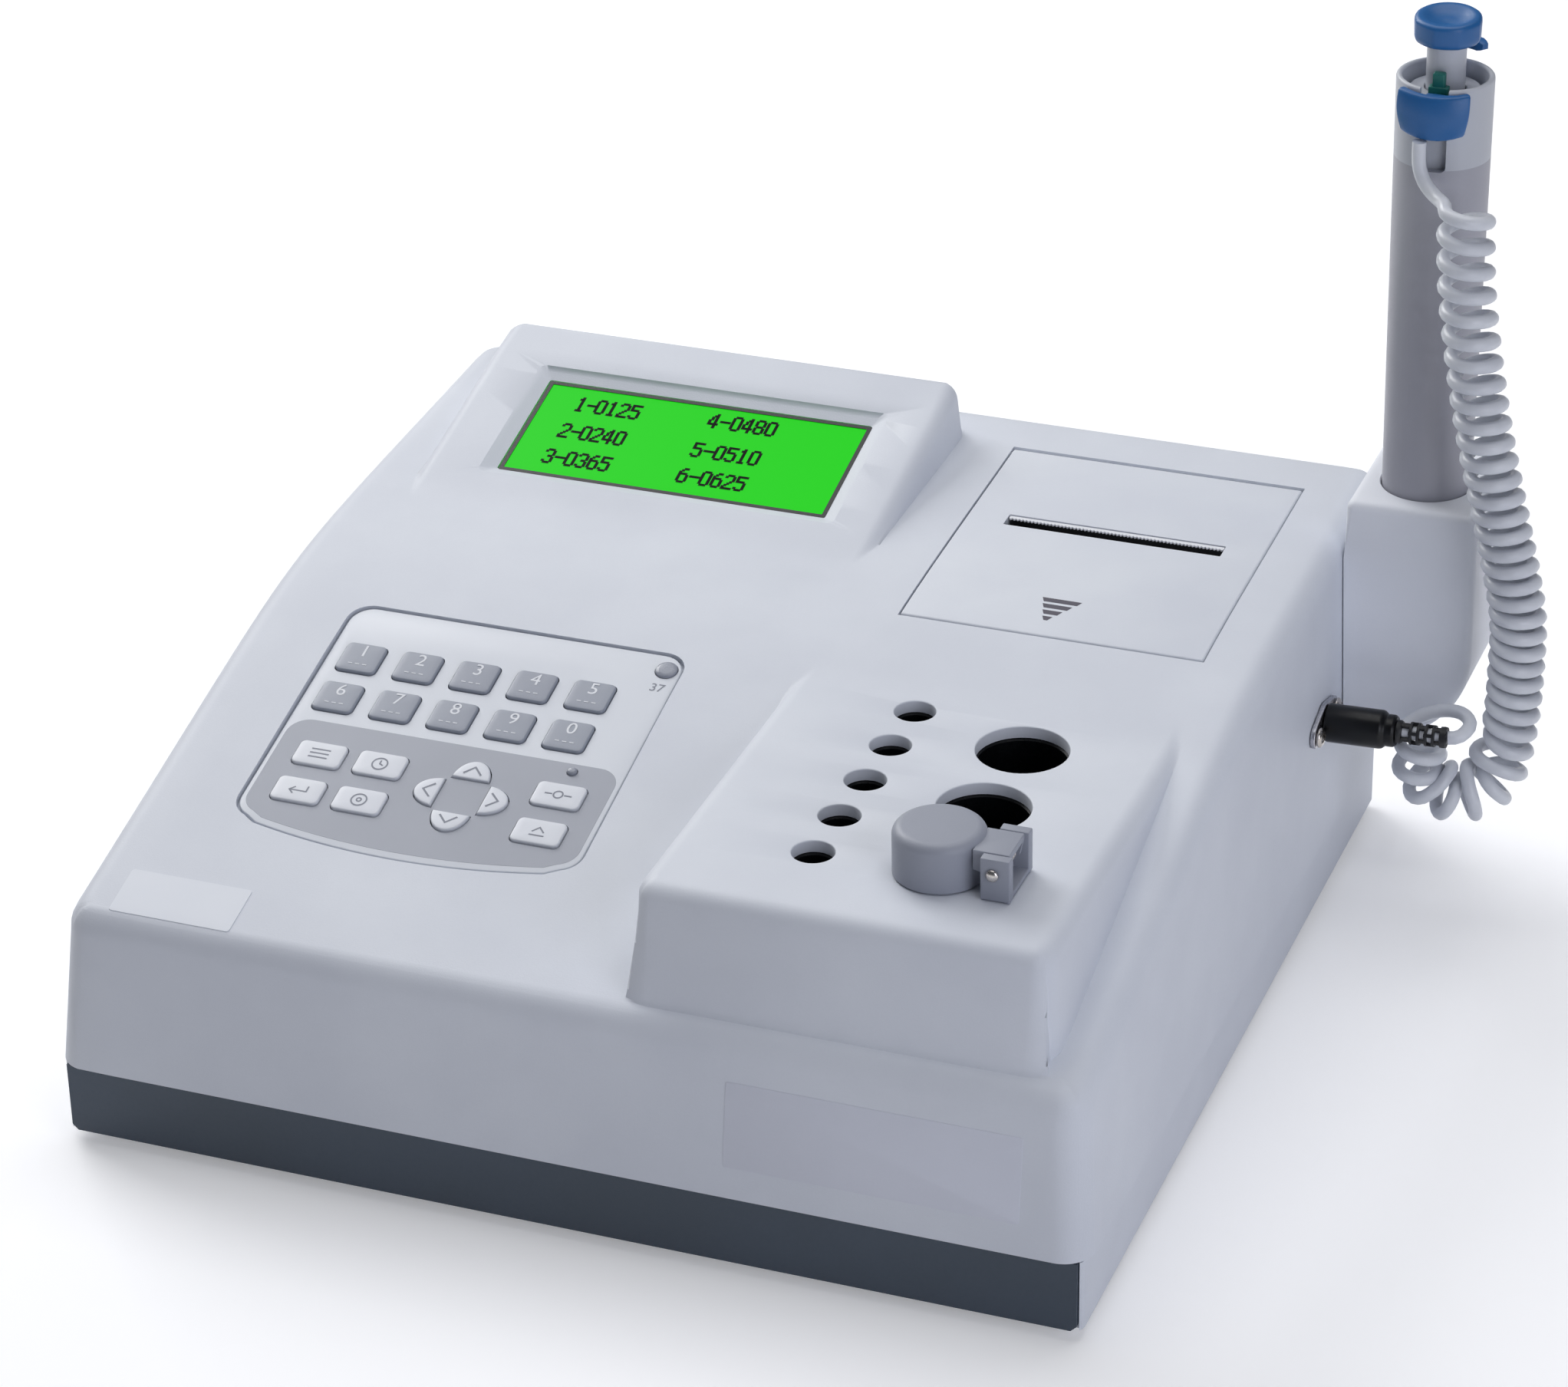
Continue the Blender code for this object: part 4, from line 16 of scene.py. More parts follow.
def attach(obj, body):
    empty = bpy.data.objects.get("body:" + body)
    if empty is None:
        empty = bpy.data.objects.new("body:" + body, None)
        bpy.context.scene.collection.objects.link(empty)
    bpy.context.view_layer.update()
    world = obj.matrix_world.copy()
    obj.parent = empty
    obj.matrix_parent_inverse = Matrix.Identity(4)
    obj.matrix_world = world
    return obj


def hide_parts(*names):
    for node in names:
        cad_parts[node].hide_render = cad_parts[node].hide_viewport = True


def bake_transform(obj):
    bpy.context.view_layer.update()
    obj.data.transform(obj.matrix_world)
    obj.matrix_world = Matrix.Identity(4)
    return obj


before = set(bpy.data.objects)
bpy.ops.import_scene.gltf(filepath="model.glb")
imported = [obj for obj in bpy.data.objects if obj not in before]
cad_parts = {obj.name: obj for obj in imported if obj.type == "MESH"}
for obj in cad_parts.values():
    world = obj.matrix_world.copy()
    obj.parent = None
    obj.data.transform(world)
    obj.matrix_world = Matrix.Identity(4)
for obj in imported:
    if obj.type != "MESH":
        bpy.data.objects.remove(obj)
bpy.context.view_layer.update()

DATUM = np.array([-0.0165, -0.136, 0.003])
MM = 0.001


# Main sizes and places, the same as in the CAD

CASE_HALF = 0.135
CASE_DEPTH = 0.272
CASE_RIM = 0.0195  # height of its lower edge
CASE_WALL = 0.0032
CASE_EDGE = 0.0065  # roll of its upper edges
CASE_CORNER = 0.008
FRONT_EDGE = 0.005
SIDE_LEAN = 0.0024
FRONT_LEAN = 0.0053
DECK_FRONT_HEIGHT, DECK_REAR_HEIGHT = 0.0605, 0.1015
SIDE_HEIGHT = DECK_REAR_HEIGHT - CASE_EDGE - CASE_RIM
SIDE_LEAN_ANGLE = math.atan(SIDE_LEAN / SIDE_HEIGHT)
TUBE_AT = np.array([0.150, 0.245, 0.0])
PIN_AT = np.array([0.1000, 0.0450, 0.0993])
INLET_AT = np.array([-0.095, 0.0, 0.050])
SWITCH_AT = np.array([-0.060, 0.0, 0.050])
SCREW_APART = 0.0086  # from the jack's axis to that of each screw
PLUG_START, PLUG_LENGTH = 0.0018, 0.0186  # along the jack's axis, from the casing's side
RELIEF_GAP, RELIEF_LENGTH = 0.0003, 0.0131


def case_side(height):
    """X of the casing's leaning right side at a height."""
    return CASE_HALF - SIDE_LEAN * (height - CASE_RIM) / SIDE_HEIGHT


JACK_HEIGHT = 0.057
JACK_AT = np.array([case_side(JACK_HEIGHT), 0.206, JACK_HEIGHT])
JACK_WAY = np.array([math.cos(SIDE_LEAN_ANGLE), 0, math.sin(SIDE_LEAN_ANGLE)])


def linked(name, data):
    """A new object with its data, linked into the scene."""
    made = bpy.data.objects.new(name, data)
    bpy.context.scene.collection.objects.link(made)
    return made


# Camera

CAMERA_AT = (0.40017889, -1.04459170, 0.69405189)
CAMERA_RIGHT = (0.93544015, 0.35294993, -0.0194441)
CAMERA_UP = (-0.1530273, 0.45393363, 0.87779662)
CAMERA_LENS, CAMERA_SENSOR = 114.062, 36
CAMERA_REACH = 50


def make_camera():
    """The camera that was fitted to the photograph."""
    data = bpy.data.cameras.new("camera")
    data.lens = CAMERA_LENS
    data.sensor_width = CAMERA_SENSOR
    data.sensor_fit = "HORIZONTAL"
    data.clip_end = CAMERA_REACH
    camera = linked("camera", data)
    right, up = np.array(CAMERA_RIGHT), np.array(CAMERA_UP)
    turn = np.eye(4)
    turn[:3, 0], turn[:3, 1], turn[:3, 2], turn[:3, 3] = right, up, np.cross(right, up), CAMERA_AT
    camera.matrix_world = Matrix(turn.tolist())
    bpy.context.scene.camera = camera


make_camera()


# Shaping helpers


def place(points):
    """Points in the instrument's frame, moved into the frame of the CAD."""
    return np.asarray(points, float) + DATUM


def tilted(points, at, slope, lean=0.0):
    """Points on a tilted datum: turned about X by slope, or about Y by minus lean, then moved to its place."""
    points = np.asarray(points, float)
    if slope:
        c, s = math.cos(slope), math.sin(slope)
        turn = np.array([[1, 0, 0], [0, c, -s], [0, s, c]])
    else:
        c, s = math.cos(lean), math.sin(lean)
        turn = np.array([[c, 0, -s], [0, 1, 0], [s, 0, c]])
    return points @ turn.T + np.asarray(at, float)


def grid_faces(rows, columns, wrap):
    """Quads between neighbouring rows and columns of points; wrap joins the last column to the first."""
    i = np.arange(rows - 1)[:, None]
    j = np.arange(columns if wrap else columns - 1)[None, :]
    k = (j + 1) % columns
    corners = np.stack([i * columns + j, i * columns + k, (i + 1) * columns + k, (i + 1) * columns + j], axis=-1)
    return corners.reshape(-1, 4)


def to_mesh(points, faces, sharp=35):
    """A smooth mesh whose edges stay sharp where they turn by more than an angle in degrees."""
    mesh = bpy.data.meshes.new("shape")
    mesh.from_pydata(np.asarray(points, float).reshape(-1, 3), [], faces)
    mesh.shade_smooth()
    mesh.set_sharp_from_angle(angle=math.radians(sharp))
    return mesh


def piece(name, mesh, body, look, replaces=(), at=(0, 0, 0)):
    """A finished piece: a mesh drawn in the instrument's frame, or about a place in it, moved into the frame of the
    CAD. It has one material and rides on a body of the CAD."""
    mesh.name = name
    mesh.transform(Matrix.Translation(Vector(DATUM + at)))
    mesh.materials.clear()
    mesh.materials.append(look)
    made = linked(name, mesh)
    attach(made, body)
    if replaces:
        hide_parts(*replaces)


def bodies_mesh(bodies, sharp=35):
    """Several closed bodies as one mesh, each from closed rings of points, one above the other, with a face at each
    end."""
    points, faces, first = [], [], 0
    for rings in bodies:
        rings = np.asarray(rings, float)
        rows, columns = rings.shape[:2]
        body = grid_faces(rows, columns, True).tolist()
        body += [list(range(columns))[::-1], list(range((rows - 1) * columns, rows * columns))]
        faces += [[first + k for k in face] for face in body]
        points.append(rings.reshape(-1, 3))
        first += rows * columns
    return to_mesh(np.vstack(points), faces, sharp)


def rings_mesh(rings, sharp=35):
    """One closed body of rings as a mesh."""
    return bodies_mesh([rings], sharp)


def loop_mesh(rings, sharp=35):
    """A body from rings whose last joins the first, such as a tube with its two walls."""
    rings = np.asarray(rings, float)
    rows, columns = rings.shape[:2]
    i, j = np.meshgrid(np.arange(rows), np.arange(columns), indexing="ij")
    a, b = (i + 1) % rows * columns, (j + 1) % columns
    faces = np.stack([i * columns + j, i * columns + b, a + b, a + j], axis=-1).reshape(-1, 4)
    return to_mesh(rings, faces.tolist(), sharp)


def cut_mesh(mesh, *tools, sharp=32, operation="DIFFERENCE"):
    """The mesh with each tool taken out of it, or joined to it, as a new mesh. A tool is a mesh, or a list of closed
    bodies of rings."""
    host = linked("host", mesh)
    others = [linked("tool", tool if isinstance(tool, bpy.types.Mesh) else bodies_mesh(tool)) for tool in tools]
    for other in others:
        step = host.modifiers.new("step", "BOOLEAN")
        step.operation = operation
        step.solver = "EXACT"
        step.object = other
    made = bpy.data.meshes.new_from_object(host.evaluated_get(bpy.context.evaluated_depsgraph_get()))
    for used in (host, *others):
        bpy.data.objects.remove(used)
    made.shade_smooth()
    made.set_sharp_from_angle(angle=math.radians(sharp))
    return made


def arc(centre, radius, start, end, steps):
    """Points on an arc about a centre, from one angle to another in degrees, its ends included."""
    angle = np.radians(np.linspace(start, end, steps + 1))
    return np.stack([centre[0] + radius * np.cos(angle), centre[1] + radius * np.sin(angle)], axis=1)


def rounded(left, right, front, rear, radius, steps=8):
    """A rectangle with round corners, anticlockwise."""
    return np.vstack([
        arc((right - radius, rear - radius), radius, 0, 90, steps),
        arc((left + radius, rear - radius), radius, 90, 180, steps),
        arc((left + radius, front + radius), radius, 180, 270, steps),
        arc((right - radius, front + radius), radius, 270, 360, steps),
    ])


def finer(outline, steps):
    """An outline with each of its sides cut into even steps, so that it can be bent."""
    share = np.arange(steps)[None, :, None] / steps
    side = np.roll(outline, -1, axis=0) - outline
    return (outline[:, None, :] + side[:, None, :] * share).reshape(-1, 2)


def grown(outline, out):
    """An outline moved outwards: each point slides along the mitre of its two edges' normals."""
    after = np.roll(outline, -1, axis=0) - outline
    after = np.where(np.linalg.norm(after, axis=1, keepdims=True) > 1e-9, after, np.roll(after, 1, axis=0))
    after /= np.linalg.norm(after, axis=1, keepdims=True)
    before = np.roll(after, 1, axis=0)
    normal = np.stack([after[:, 1], -after[:, 0]], axis=1)
    other = np.stack([before[:, 1], -before[:, 0]], axis=1)
    mitre = (normal + other) / np.maximum(1 + (normal * other).sum(axis=1, keepdims=True), 0.4)
    return outline + mitre * out


def at_height(outline, height):
    """An outline in X and Y with a height, or one height for each point, as points in space."""
    return np.column_stack([outline, np.broadcast_to(height, len(outline))])


def slab_rings(outline, low, high, edge, steps=4, low_edge=0.0):
    """Rings of a slab over an outline: straight sides, and a quarter-round edge along its top, perhaps its foot."""
    angle = np.linspace(0, math.pi / 2, steps + 1)
    rings = []
    if low_edge:
        rings += [at_height(grown(outline, -low_edge * (1 - math.sin(a))), low + low_edge * (1 - math.cos(a)))
                  for a in angle]
    else:
        rings.append(at_height(outline, low))
    if edge:
        rings += [at_height(grown(outline, -edge * (1 - math.cos(a))), high - edge + edge * math.sin(a))
                  for a in angle]
    else:
        rings.append(at_height(outline, high))
    return np.array(rings)


def turned_rings(profile, steps=64):
    """Rings of a body turned about Z: each (radius, height) of the profile swept once round."""
    profile = np.asarray(profile, float)
    angle = np.arange(steps) * 2 * math.pi / steps
    radius, height = profile[:, 0, None], profile[:, 1, None]
    return np.stack([radius * np.cos(angle), radius * np.sin(angle), height + 0 * angle], axis=-1)


def along_x(points):
    """Turns a shape made along Z so that it runs along X."""
    return np.asarray(points)[..., [2, 1, 0]] * (1, 1, -1)


def drawn_along_x(rings):
    """Rings drawn in X and Y, one above the other, laid into Y and Z, one beside the other."""
    return np.asarray(rings)[..., [2, 0, 1]]


def drawn_along_y(rings):
    """Rings drawn in X and Y, one above the other, laid into X and Z, one behind the other."""
    return np.asarray(rings)[:, ::-1][..., [0, 2, 1]]


def turned_flat(points, degrees):
    """Points in a plane, turned about its origin."""
    c, s = math.cos(math.radians(degrees)), math.sin(math.radians(degrees))
    return np.asarray(points) @ np.array([[c, s], [-s, c]])


def box_rings(left, right, front, rear, low, high):
    """A box as two rings."""
    outline = np.array([(left, front), (right, front), (right, rear), (left, rear)])
    return np.array([at_height(outline, low), at_height(outline, high)])


def circle(x, y, radius, steps=48):
    """An even circle about a place in X and Y."""
    angle = np.arange(steps) * 2 * math.pi / steps
    return np.stack([x + radius * np.cos(angle), y + radius * np.sin(angle)], axis=1)


def round_profile(profile, radius, steps=4):
    """A profile whose inner corners are replaced by short curves: a quadratic bend between points set back from
    each corner by the radius or by 45% of its shorter side."""
    profile = np.asarray(profile, float)
    made = [profile[0]]
    for before, corner, after in zip(profile, profile[1:], profile[2:]):
        back, on = before - corner, after - corner
        reach = min(radius, 0.45 * np.linalg.norm(back), 0.45 * np.linalg.norm(on))
        start = corner + back / np.linalg.norm(back) * reach
        end = corner + on / np.linalg.norm(on) * reach
        t = np.linspace(0, 1, steps + 1)[:, None]
        made += list((1 - t) ** 2 * start + 2 * t * (1 - t) * corner + t**2 * end)
    made.append(profile[-1])
    return np.array(made)


def soft_corners(outline, radius, steps=3):
    """A closed outline whose corners are replaced by short curves."""
    outline = np.asarray(outline, float)
    start = (outline[-1:] + outline[:1]) / 2
    return round_profile(np.vstack([start, outline, start]), radius, steps)[:-1]


def tube_along(path, radius, sides, first_across):
    """Rings of a tube carried along a path: at each point a circle square to the path, whose start direction is
    carried along without twist by taking out its part along the way there."""
    path = np.asarray(path, float)
    way = np.gradient(path, axis=0)
    way /= np.linalg.norm(way, axis=1)[:, None]
    across = np.empty_like(way)
    side = np.asarray(first_across, float)
    for k, step in enumerate(way):
        side = side - step * (side @ step)
        side = side / np.linalg.norm(side)
        across[k] = side
    other = np.cross(way, across)
    angle = np.arange(sides) * 2 * math.pi / sides
    radius = np.broadcast_to(radius, len(path))[:, None, None]
    return path[:, None, :] + radius * (
        np.cos(angle)[None, :, None] * across[:, None, :] + np.sin(angle)[None, :, None] * other[:, None, :]
    )


# Materials


def linear(colour):
    """A colour written as sRGB hex, as linear red, green, blue and alpha."""
    values = np.array([int(colour[k:k + 2], 16) for k in (1, 3, 5)]) / 255
    values = np.where(values <= 0.04045, values / 12.92, ((values + 0.055) / 1.055) ** 2.4)
    return (*values.tolist(), 1.0)


def node(tree, kind, inputs=None, **settings):
    """Adds a node, sets its settings, and gives each named input a value or a link."""
    made = tree.nodes.new(kind)
    for name, value in settings.items():
        setattr(made, name, value)
    for name, value in (inputs or {}).items():
        if isinstance(value, bpy.types.NodeSocket):
            tree.links.new(value, made.inputs[name])
        else:
            made.inputs[name].default_value = value
    return made


def new_material(name, shader_values):
    """A material with the given values on its shader, with its node tree and its shader."""
    made = bpy.data.materials.new(name)
    made.use_nodes = True
    tree = made.node_tree
    shader = tree.nodes["Principled BSDF"]
    for socket, value in shader_values.items():
        shader.inputs[socket].default_value = value
    return made, tree, shader


def moulded(name, light, dark, roughness, grain_mm, depth_mm, mottle_mm=40.0, spread=0.06, **shader_values):
    """A moulded surface: colour drifts between two tones over broad patches, a fine grain dents the surface and
    varies its gloss. Grain and patches are given by their real size in millimetres."""
    made, tree, shader = new_material(name, shader_values)
    where = node(tree, "ShaderNodeTexCoord").outputs["Object"]
    patches = node(tree, "ShaderNodeTexNoise", {"Vector": where, "Scale": 1 / (mottle_mm * MM), "Detail": 3.0})
    grain = node(tree, "ShaderNodeTexNoise", {"Vector": where, "Scale": 1 / (grain_mm * MM), "Detail": 2.0})
    share = node(tree, "ShaderNodeMapRange", {"Value": patches.outputs["Fac"], "From Min": 0.3, "From Max": 0.7})
    speck = node(tree, "ShaderNodeMath", {0: grain.outputs["Fac"], 1: 0.35}, operation="MULTIPLY")
    both = node(tree, "ShaderNodeMath", {0: share.outputs["Result"], 1: speck.outputs[0]}, operation="ADD",
                use_clamp=True)
    colour = node(tree, "ShaderNodeMix", {"Factor": both.outputs[0], 6: linear(light), 7: linear(dark)},
                  data_type="RGBA")
    tree.links.new(colour.outputs[2], shader.inputs["Base Color"])
    gloss = node(tree, "ShaderNodeMapRange", {"Value": grain.outputs["Fac"], "From Min": 0.25, "From Max": 0.75,
                                              "To Min": roughness - spread, "To Max": roughness + spread})
    tree.links.new(gloss.outputs["Result"], shader.inputs["Roughness"])
    bump = node(tree, "ShaderNodeBump", {"Height": grain.outputs["Fac"], "Distance": depth_mm * MM,
                                         "Strength": 1.0})
    tree.links.new(bump.outputs["Normal"], shader.inputs["Normal"])
    return made


def metal(name, colour, roughness, scratch_mm, along=(1.0, 1.0, 1.0), depth_mm=0.004, **shader_values):
    """Bare metal: a noise drawn out along one way, at the real spacing of its tool marks, varies gloss and dents."""
    made, tree, shader = new_material(name, {"Metallic": 1.0, "Base Color": linear(colour), **shader_values})
    where = node(tree, "ShaderNodeTexCoord").outputs["Object"]
    drawn = node(tree, "ShaderNodeMapping", {"Vector": where, "Scale": along})
    marks = node(tree, "ShaderNodeTexNoise", {"Vector": drawn.outputs["Vector"], "Scale": 1 / (scratch_mm * MM),
                                              "Detail": 3.0})
    gloss = node(tree, "ShaderNodeMapRange", {"Value": marks.outputs["Fac"], "From Min": 0.3, "From Max": 0.7,
                                              "To Min": roughness * 0.75, "To Max": roughness * 1.3})
    tree.links.new(gloss.outputs["Result"], shader.inputs["Roughness"])
    bump = node(tree, "ShaderNodeBump", {"Height": marks.outputs["Fac"], "Distance": depth_mm * MM})
    tree.links.new(bump.outputs["Normal"], shader.inputs["Normal"])
    return made


# Spark-textured ABS: the casing's fine even grain spreads every highlight into a soft one
CASE_ABS = moulded("case_spark_textured_abs", "#dde1e9", "#d5d9e2", 0.52, 0.45, 0.030)
# The same ABS on the arm that carries the tube, made paler than the casing's: painted light, standing in for the
# stronger light that falls on the arm
ARM_PAINTED_LIGHT_ABS = moulded("arm_abs_painted_light", "#f1f3f9", "#e9ecf3", 0.54, 0.45, 0.030)
# The same ABS on the flap, moulded apart, so its tone is a shade off the casing's
FLAP_ABS = moulded("flap_spark_textured_abs", "#dfe3ea", "#d7dbe4", 0.50, 0.45, 0.028)
# Acetal of the printer's tear bar: whiter and slicker than the flap
TEAR_ACETAL = moulded("tear_bar_white_acetal", "#f0f1f5", "#e8eaef", 0.34, 0.3, 0.006)
# Polycarbonate overlay with a fine velvet back: even and slightly glossier than the casing round it
PANEL_FILM = moulded("keypad_velvet_polycarbonate", "#dde1e8", "#d7dbe3", 0.40, 0.30, 0.010)
# Printed grey ground under the same film
FIELD_PRINT = moulded("keypad_grey_screen_print", "#a6aab5", "#a0a4af", 0.38, 0.30, 0.010)
# Embossed key pads, grey: the film is stretched here, so the gloss is a little higher
KEY_GREY_FILM = moulded("key_grey_embossed_film", "#9aa0ac", "#9499a6", 0.36, 0.30, 0.010)
# Embossed key pads, white
KEY_WHITE_FILM = moulded("key_white_embossed_film", "#e3e6ec", "#dcdfe7", 0.36, 0.30, 0.010)
# Printing ink on the keys: flat and dull
KEY_INK = moulded("key_white_ink", "#eceef3", "#e6e8ee", 0.6, 0.2, 0.004)
# Grey ink of the signs on the white keys and of the number on the film
MARK_INK = moulded("mark_grey_ink", "#8f939e", "#878b97", 0.6, 0.2, 0.004)
# Dark ink of the flap's arrow
FLAP_INK = moulded("flap_mark_dark_ink", "#5b5863", "#524f5a", 0.6, 0.2, 0.004)
# Blue-grey painted band: satin paint on ABS with a little orange peel
BAND_PAINT = moulded("band_satin_paint", "#3a4757", "#35414f", 0.42, 1.2, 0.020)
# Black ABS inside the printer and the mains inlet
BLACK_ABS = moulded("black_moulded_abs", "#101114", "#0b0c0e", 0.45, 0.4, 0.020)
# Black plug sleeve: smooth thermoplastic, so its reflections are few and soft
PLUG_BLACK = moulded("plug_smooth_black", "#0b0d12", "#08090c", 0.33, 0.8, 0.004, **{"Specular IOR Level": 0.3})
# Soft PVC of the strain relief
RELIEF_PVC = moulded("relief_soft_pvc", "#15161a", "#101115", 0.5, 0.5, 0.012)
# Rubber: feet and platen, dull and slightly dusty
FOOT_RUBBER = moulded("foot_black_rubber", "#232326", "#1b1b1e", 0.82, 0.6, 0.03)
# Tinted grey ABS of the cap and bracket
CAP_ABS = moulded("cap_grey_spark_textured_abs", "#a0a4b0", "#989ca8", 0.46, 0.40, 0.025)
# Extruded grey tube: satin, with a fine grain
TUBE_PLASTIC = moulded("tube_satin_grey_plastic", "#b2b2ba", "#a9a9b2", 0.40, 0.6, 0.012)


def paler_above(made, height, colour):
    """Gives a finish a second tone above a height, with a sharp line."""
    tree = made.node_tree
    shader = next(n for n in tree.nodes if n.type == "BSDF_PRINCIPLED")
    below = shader.inputs["Base Color"].links[0].from_socket
    split = node(tree, "ShaderNodeSeparateXYZ", {"Vector": node(tree, "ShaderNodeTexCoord").outputs["Object"]})
    upper = node(tree, "ShaderNodeMath", {0: split.outputs["Z"], 1: height + DATUM[2]}, operation="GREATER_THAN")
    both = node(tree, "ShaderNodeMix", {"Factor": upper.outputs[0], 6: below, 7: linear(colour)}, data_type="RGBA")
    tree.links.new(both.outputs[2], shader.inputs["Base Color"])


paler_above(TUBE_PLASTIC, 0.2045, "#c3c6cd")
# Pipette handle: pale smooth polypropylene, waxy
PIPETTE_PP = moulded("pipette_pale_polypropylene", "#c9ccd3", "#bfc2ca", 0.38, 0.5, 0.010)
# Blue polypropylene of the button, the ejector and the finger rest
PIPETTE_BLUE = moulded("pipette_blue_polypropylene", "#2468a8", "#1f5d99", 0.38, 0.5, 0.012)
# Green plastic of the tab that follows the plunger
START_TEAL = moulded("start_tab_teal_plastic", "#1f7a70", "#1b6c63", 0.4, 0.5, 0.010)
# Epoxy glass board with solder mask, inside
BOARD_MASK = moulded("board_green_solder_mask", "#1c5a37", "#154a2c", 0.35, 1.5, 0.02)
# Nickel-plated screws
SCREW_STEEL = metal("nickel_plated_screws", "#c4beb8", 0.22, 0.25)
# Steel of the cap's pin and of the wire of its spring: fine marks along the pin
PIN_STEEL = metal("turned_steel_pin", "#cfcac6", 0.25, 0.2, (1.0, 0.1, 1.0))
# Rolled and stamped sheet of the jack's flange: fine rolling lines along its length
FLANGE_STEEL = metal("stamped_steel_sheet", "#b4b4ba", 0.30, 0.25, (1.0, 0.15, 1.0))
# Ground steel of the print head: its marks run along the head
HEAD_STEEL = metal("print_head_steel", "#b9b9bd", 0.35, 0.3, (0.1, 1.0, 1.0))
# Black anodised aluminium of the well block: a dull dark metal with a fine grain
WELL_ANODISED = moulded("wells_black_anodised", "#121519", "#090b0e", 0.34, 0.35, 0.02, 3.0, 0.10, Metallic=0.35)
# Unlit indicator windows
LAMP_LENS = moulded("lamp_smoked_lens", "#9da1ac", "#989ca8", 0.25, 0.5, 0.005)
# Thin polyester film of the bare label on the deck
BADGE_PLATE = moulded("badge_thin_film", "#e2e5ec", "#dde1e9", 0.34, 0.3, 0.006)
# Matt film of the bare label on the front
LABEL_FILM = moulded("front_label_film", "#dadde8", "#d4d7e2", 0.5, 0.5, 0.012)


def display_material():
    """Green backlit liquid crystal: most of its light is its own, so it stays bright in any room light. A very
    fine cell grid, 0.28 mm apart, darkens it a little along its lines."""
    made, tree, shader = new_material("lit_green_display", {
        "Roughness": 0.30, "Specular IOR Level": 0.08, "Base Color": linear("#083006"), "Emission Strength": 0.95})
    where = node(tree, "ShaderNodeTexCoord").outputs["Object"]
    split = node(tree, "ShaderNodeSeparateXYZ", {"Vector": where})
    lines = [
        node(tree, "ShaderNodeMath", {0: split.outputs[axis], 1: 2 * math.pi / (0.28 * MM)}, operation="MULTIPLY")
        for axis in ("X", "Y")
    ]
    waves = [node(tree, "ShaderNodeMath", {0: line.outputs[0]}, operation="COSINE") for line in lines]
    grid = node(tree, "ShaderNodeMath", {0: waves[0].outputs[0], 1: waves[1].outputs[0]}, operation="MAXIMUM")
    share = node(tree, "ShaderNodeMapRange", {"Value": grid.outputs[0], "From Min": 0.6, "From Max": 1.0,
                                              "To Min": 0.0, "To Max": 0.12})
    colour = node(tree, "ShaderNodeMix", {"Factor": share.outputs["Result"], 6: linear("#1cd414"),
                                          7: linear("#18a514")}, data_type="RGBA")
    tree.links.new(colour.outputs[2], shader.inputs["Emission Color"])
    return made


LCD_GREEN = display_material()
# Dark cells of the display
LCD_INK = moulded("display_black_cells", "#020603", "#010402", 0.4, 0.3, 0.002, **{"Specular IOR Level": 0.08})


def cord_material():
    """Smooth PVC of a curly cord, glossy, with slight handling dirt: a broad noise dulls and darkens patches."""
    made, tree, shader = new_material("cord_smooth_pvc", {"Coat Weight": 0.15, "Coat Roughness": 0.2})
    where = node(tree, "ShaderNodeTexCoord").outputs["Object"]
    dirt = node(tree, "ShaderNodeTexNoise", {"Vector": where, "Scale": 1 / (9 * MM), "Detail": 4.0})
    share = node(tree, "ShaderNodeMapRange", {"Value": dirt.outputs["Fac"], "From Min": 0.35, "From Max": 0.75})
    colour = node(tree, "ShaderNodeMix", {"Factor": share.outputs["Result"], 6: linear("#dcdfe5"),
                                          7: linear("#cdd0d8")}, data_type="RGBA")
    tree.links.new(colour.outputs[2], shader.inputs["Base Color"])
    gloss = node(tree, "ShaderNodeMapRange", {"Value": dirt.outputs["Fac"], "To Min": 0.28, "To Max": 0.42})
    tree.links.new(gloss.outputs["Result"], shader.inputs["Roughness"])
    bump = node(tree, "ShaderNodeBump", {"Height": dirt.outputs["Fac"], "Distance": 0.05 * MM})
    tree.links.new(bump.outputs["Normal"], shader.inputs["Normal"])
    return made


CORD_PVC = cord_material()


# Curly cord: lead from the pipette, curls round a smooth route, and a turn into the plug's strain relief

CORD_RADIUS = 1.8 * MM
CORD_SAMPLES, CORD_SIDES = 760, 20
POINTS_PER_CURL = 8
COIL_RADIUS = 5.71 * MM
COIL_ROUTE = np.array([
    (0.1625, 0.2205, 0.2010), (0.1630, 0.2200, 0.1900), (0.1640, 0.2195, 0.1780), (0.1668, 0.2188, 0.1600),
    (0.1708, 0.2183, 0.1395), (0.1760, 0.2181, 0.1176), (0.1798, 0.2181, 0.1015), (0.1820, 0.2181, 0.0890),
    (0.1822, 0.2181, 0.0755), (0.1818, 0.2180, 0.0615), (0.1803, 0.2172, 0.0480), (0.1780, 0.2163, 0.0418),
    (0.1742, 0.2153, 0.0382), (0.1692, 0.2142, 0.0368), (0.1642, 0.2132, 0.0382), (0.1604, 0.2124, 0.0420),
    (0.1590, 0.2118, 0.0475),
])
COIL_PITCHES = [6.9, 6.6, 6.2, 5.8, 5.4, 5.1, 4.9, 4.7, 4.6, 4.5, 4.6, 5.2, 6.2, 6.3, 5.2]  # mm, along the route
BEND_MIDDLE = np.array([0.1700, 0.0490])  # of the bend at the bottom, in X and Z
BEND_REACH, BEND_FADE = 0.0115, 0.005  # how far from it the curls are crowded, and over what width that begins
BEND_STEP = 0.0019  # how far neighbouring curls step past each other there
COIL_LAST = 0.78  # the part of a turn that the last curl makes, which ends it behind
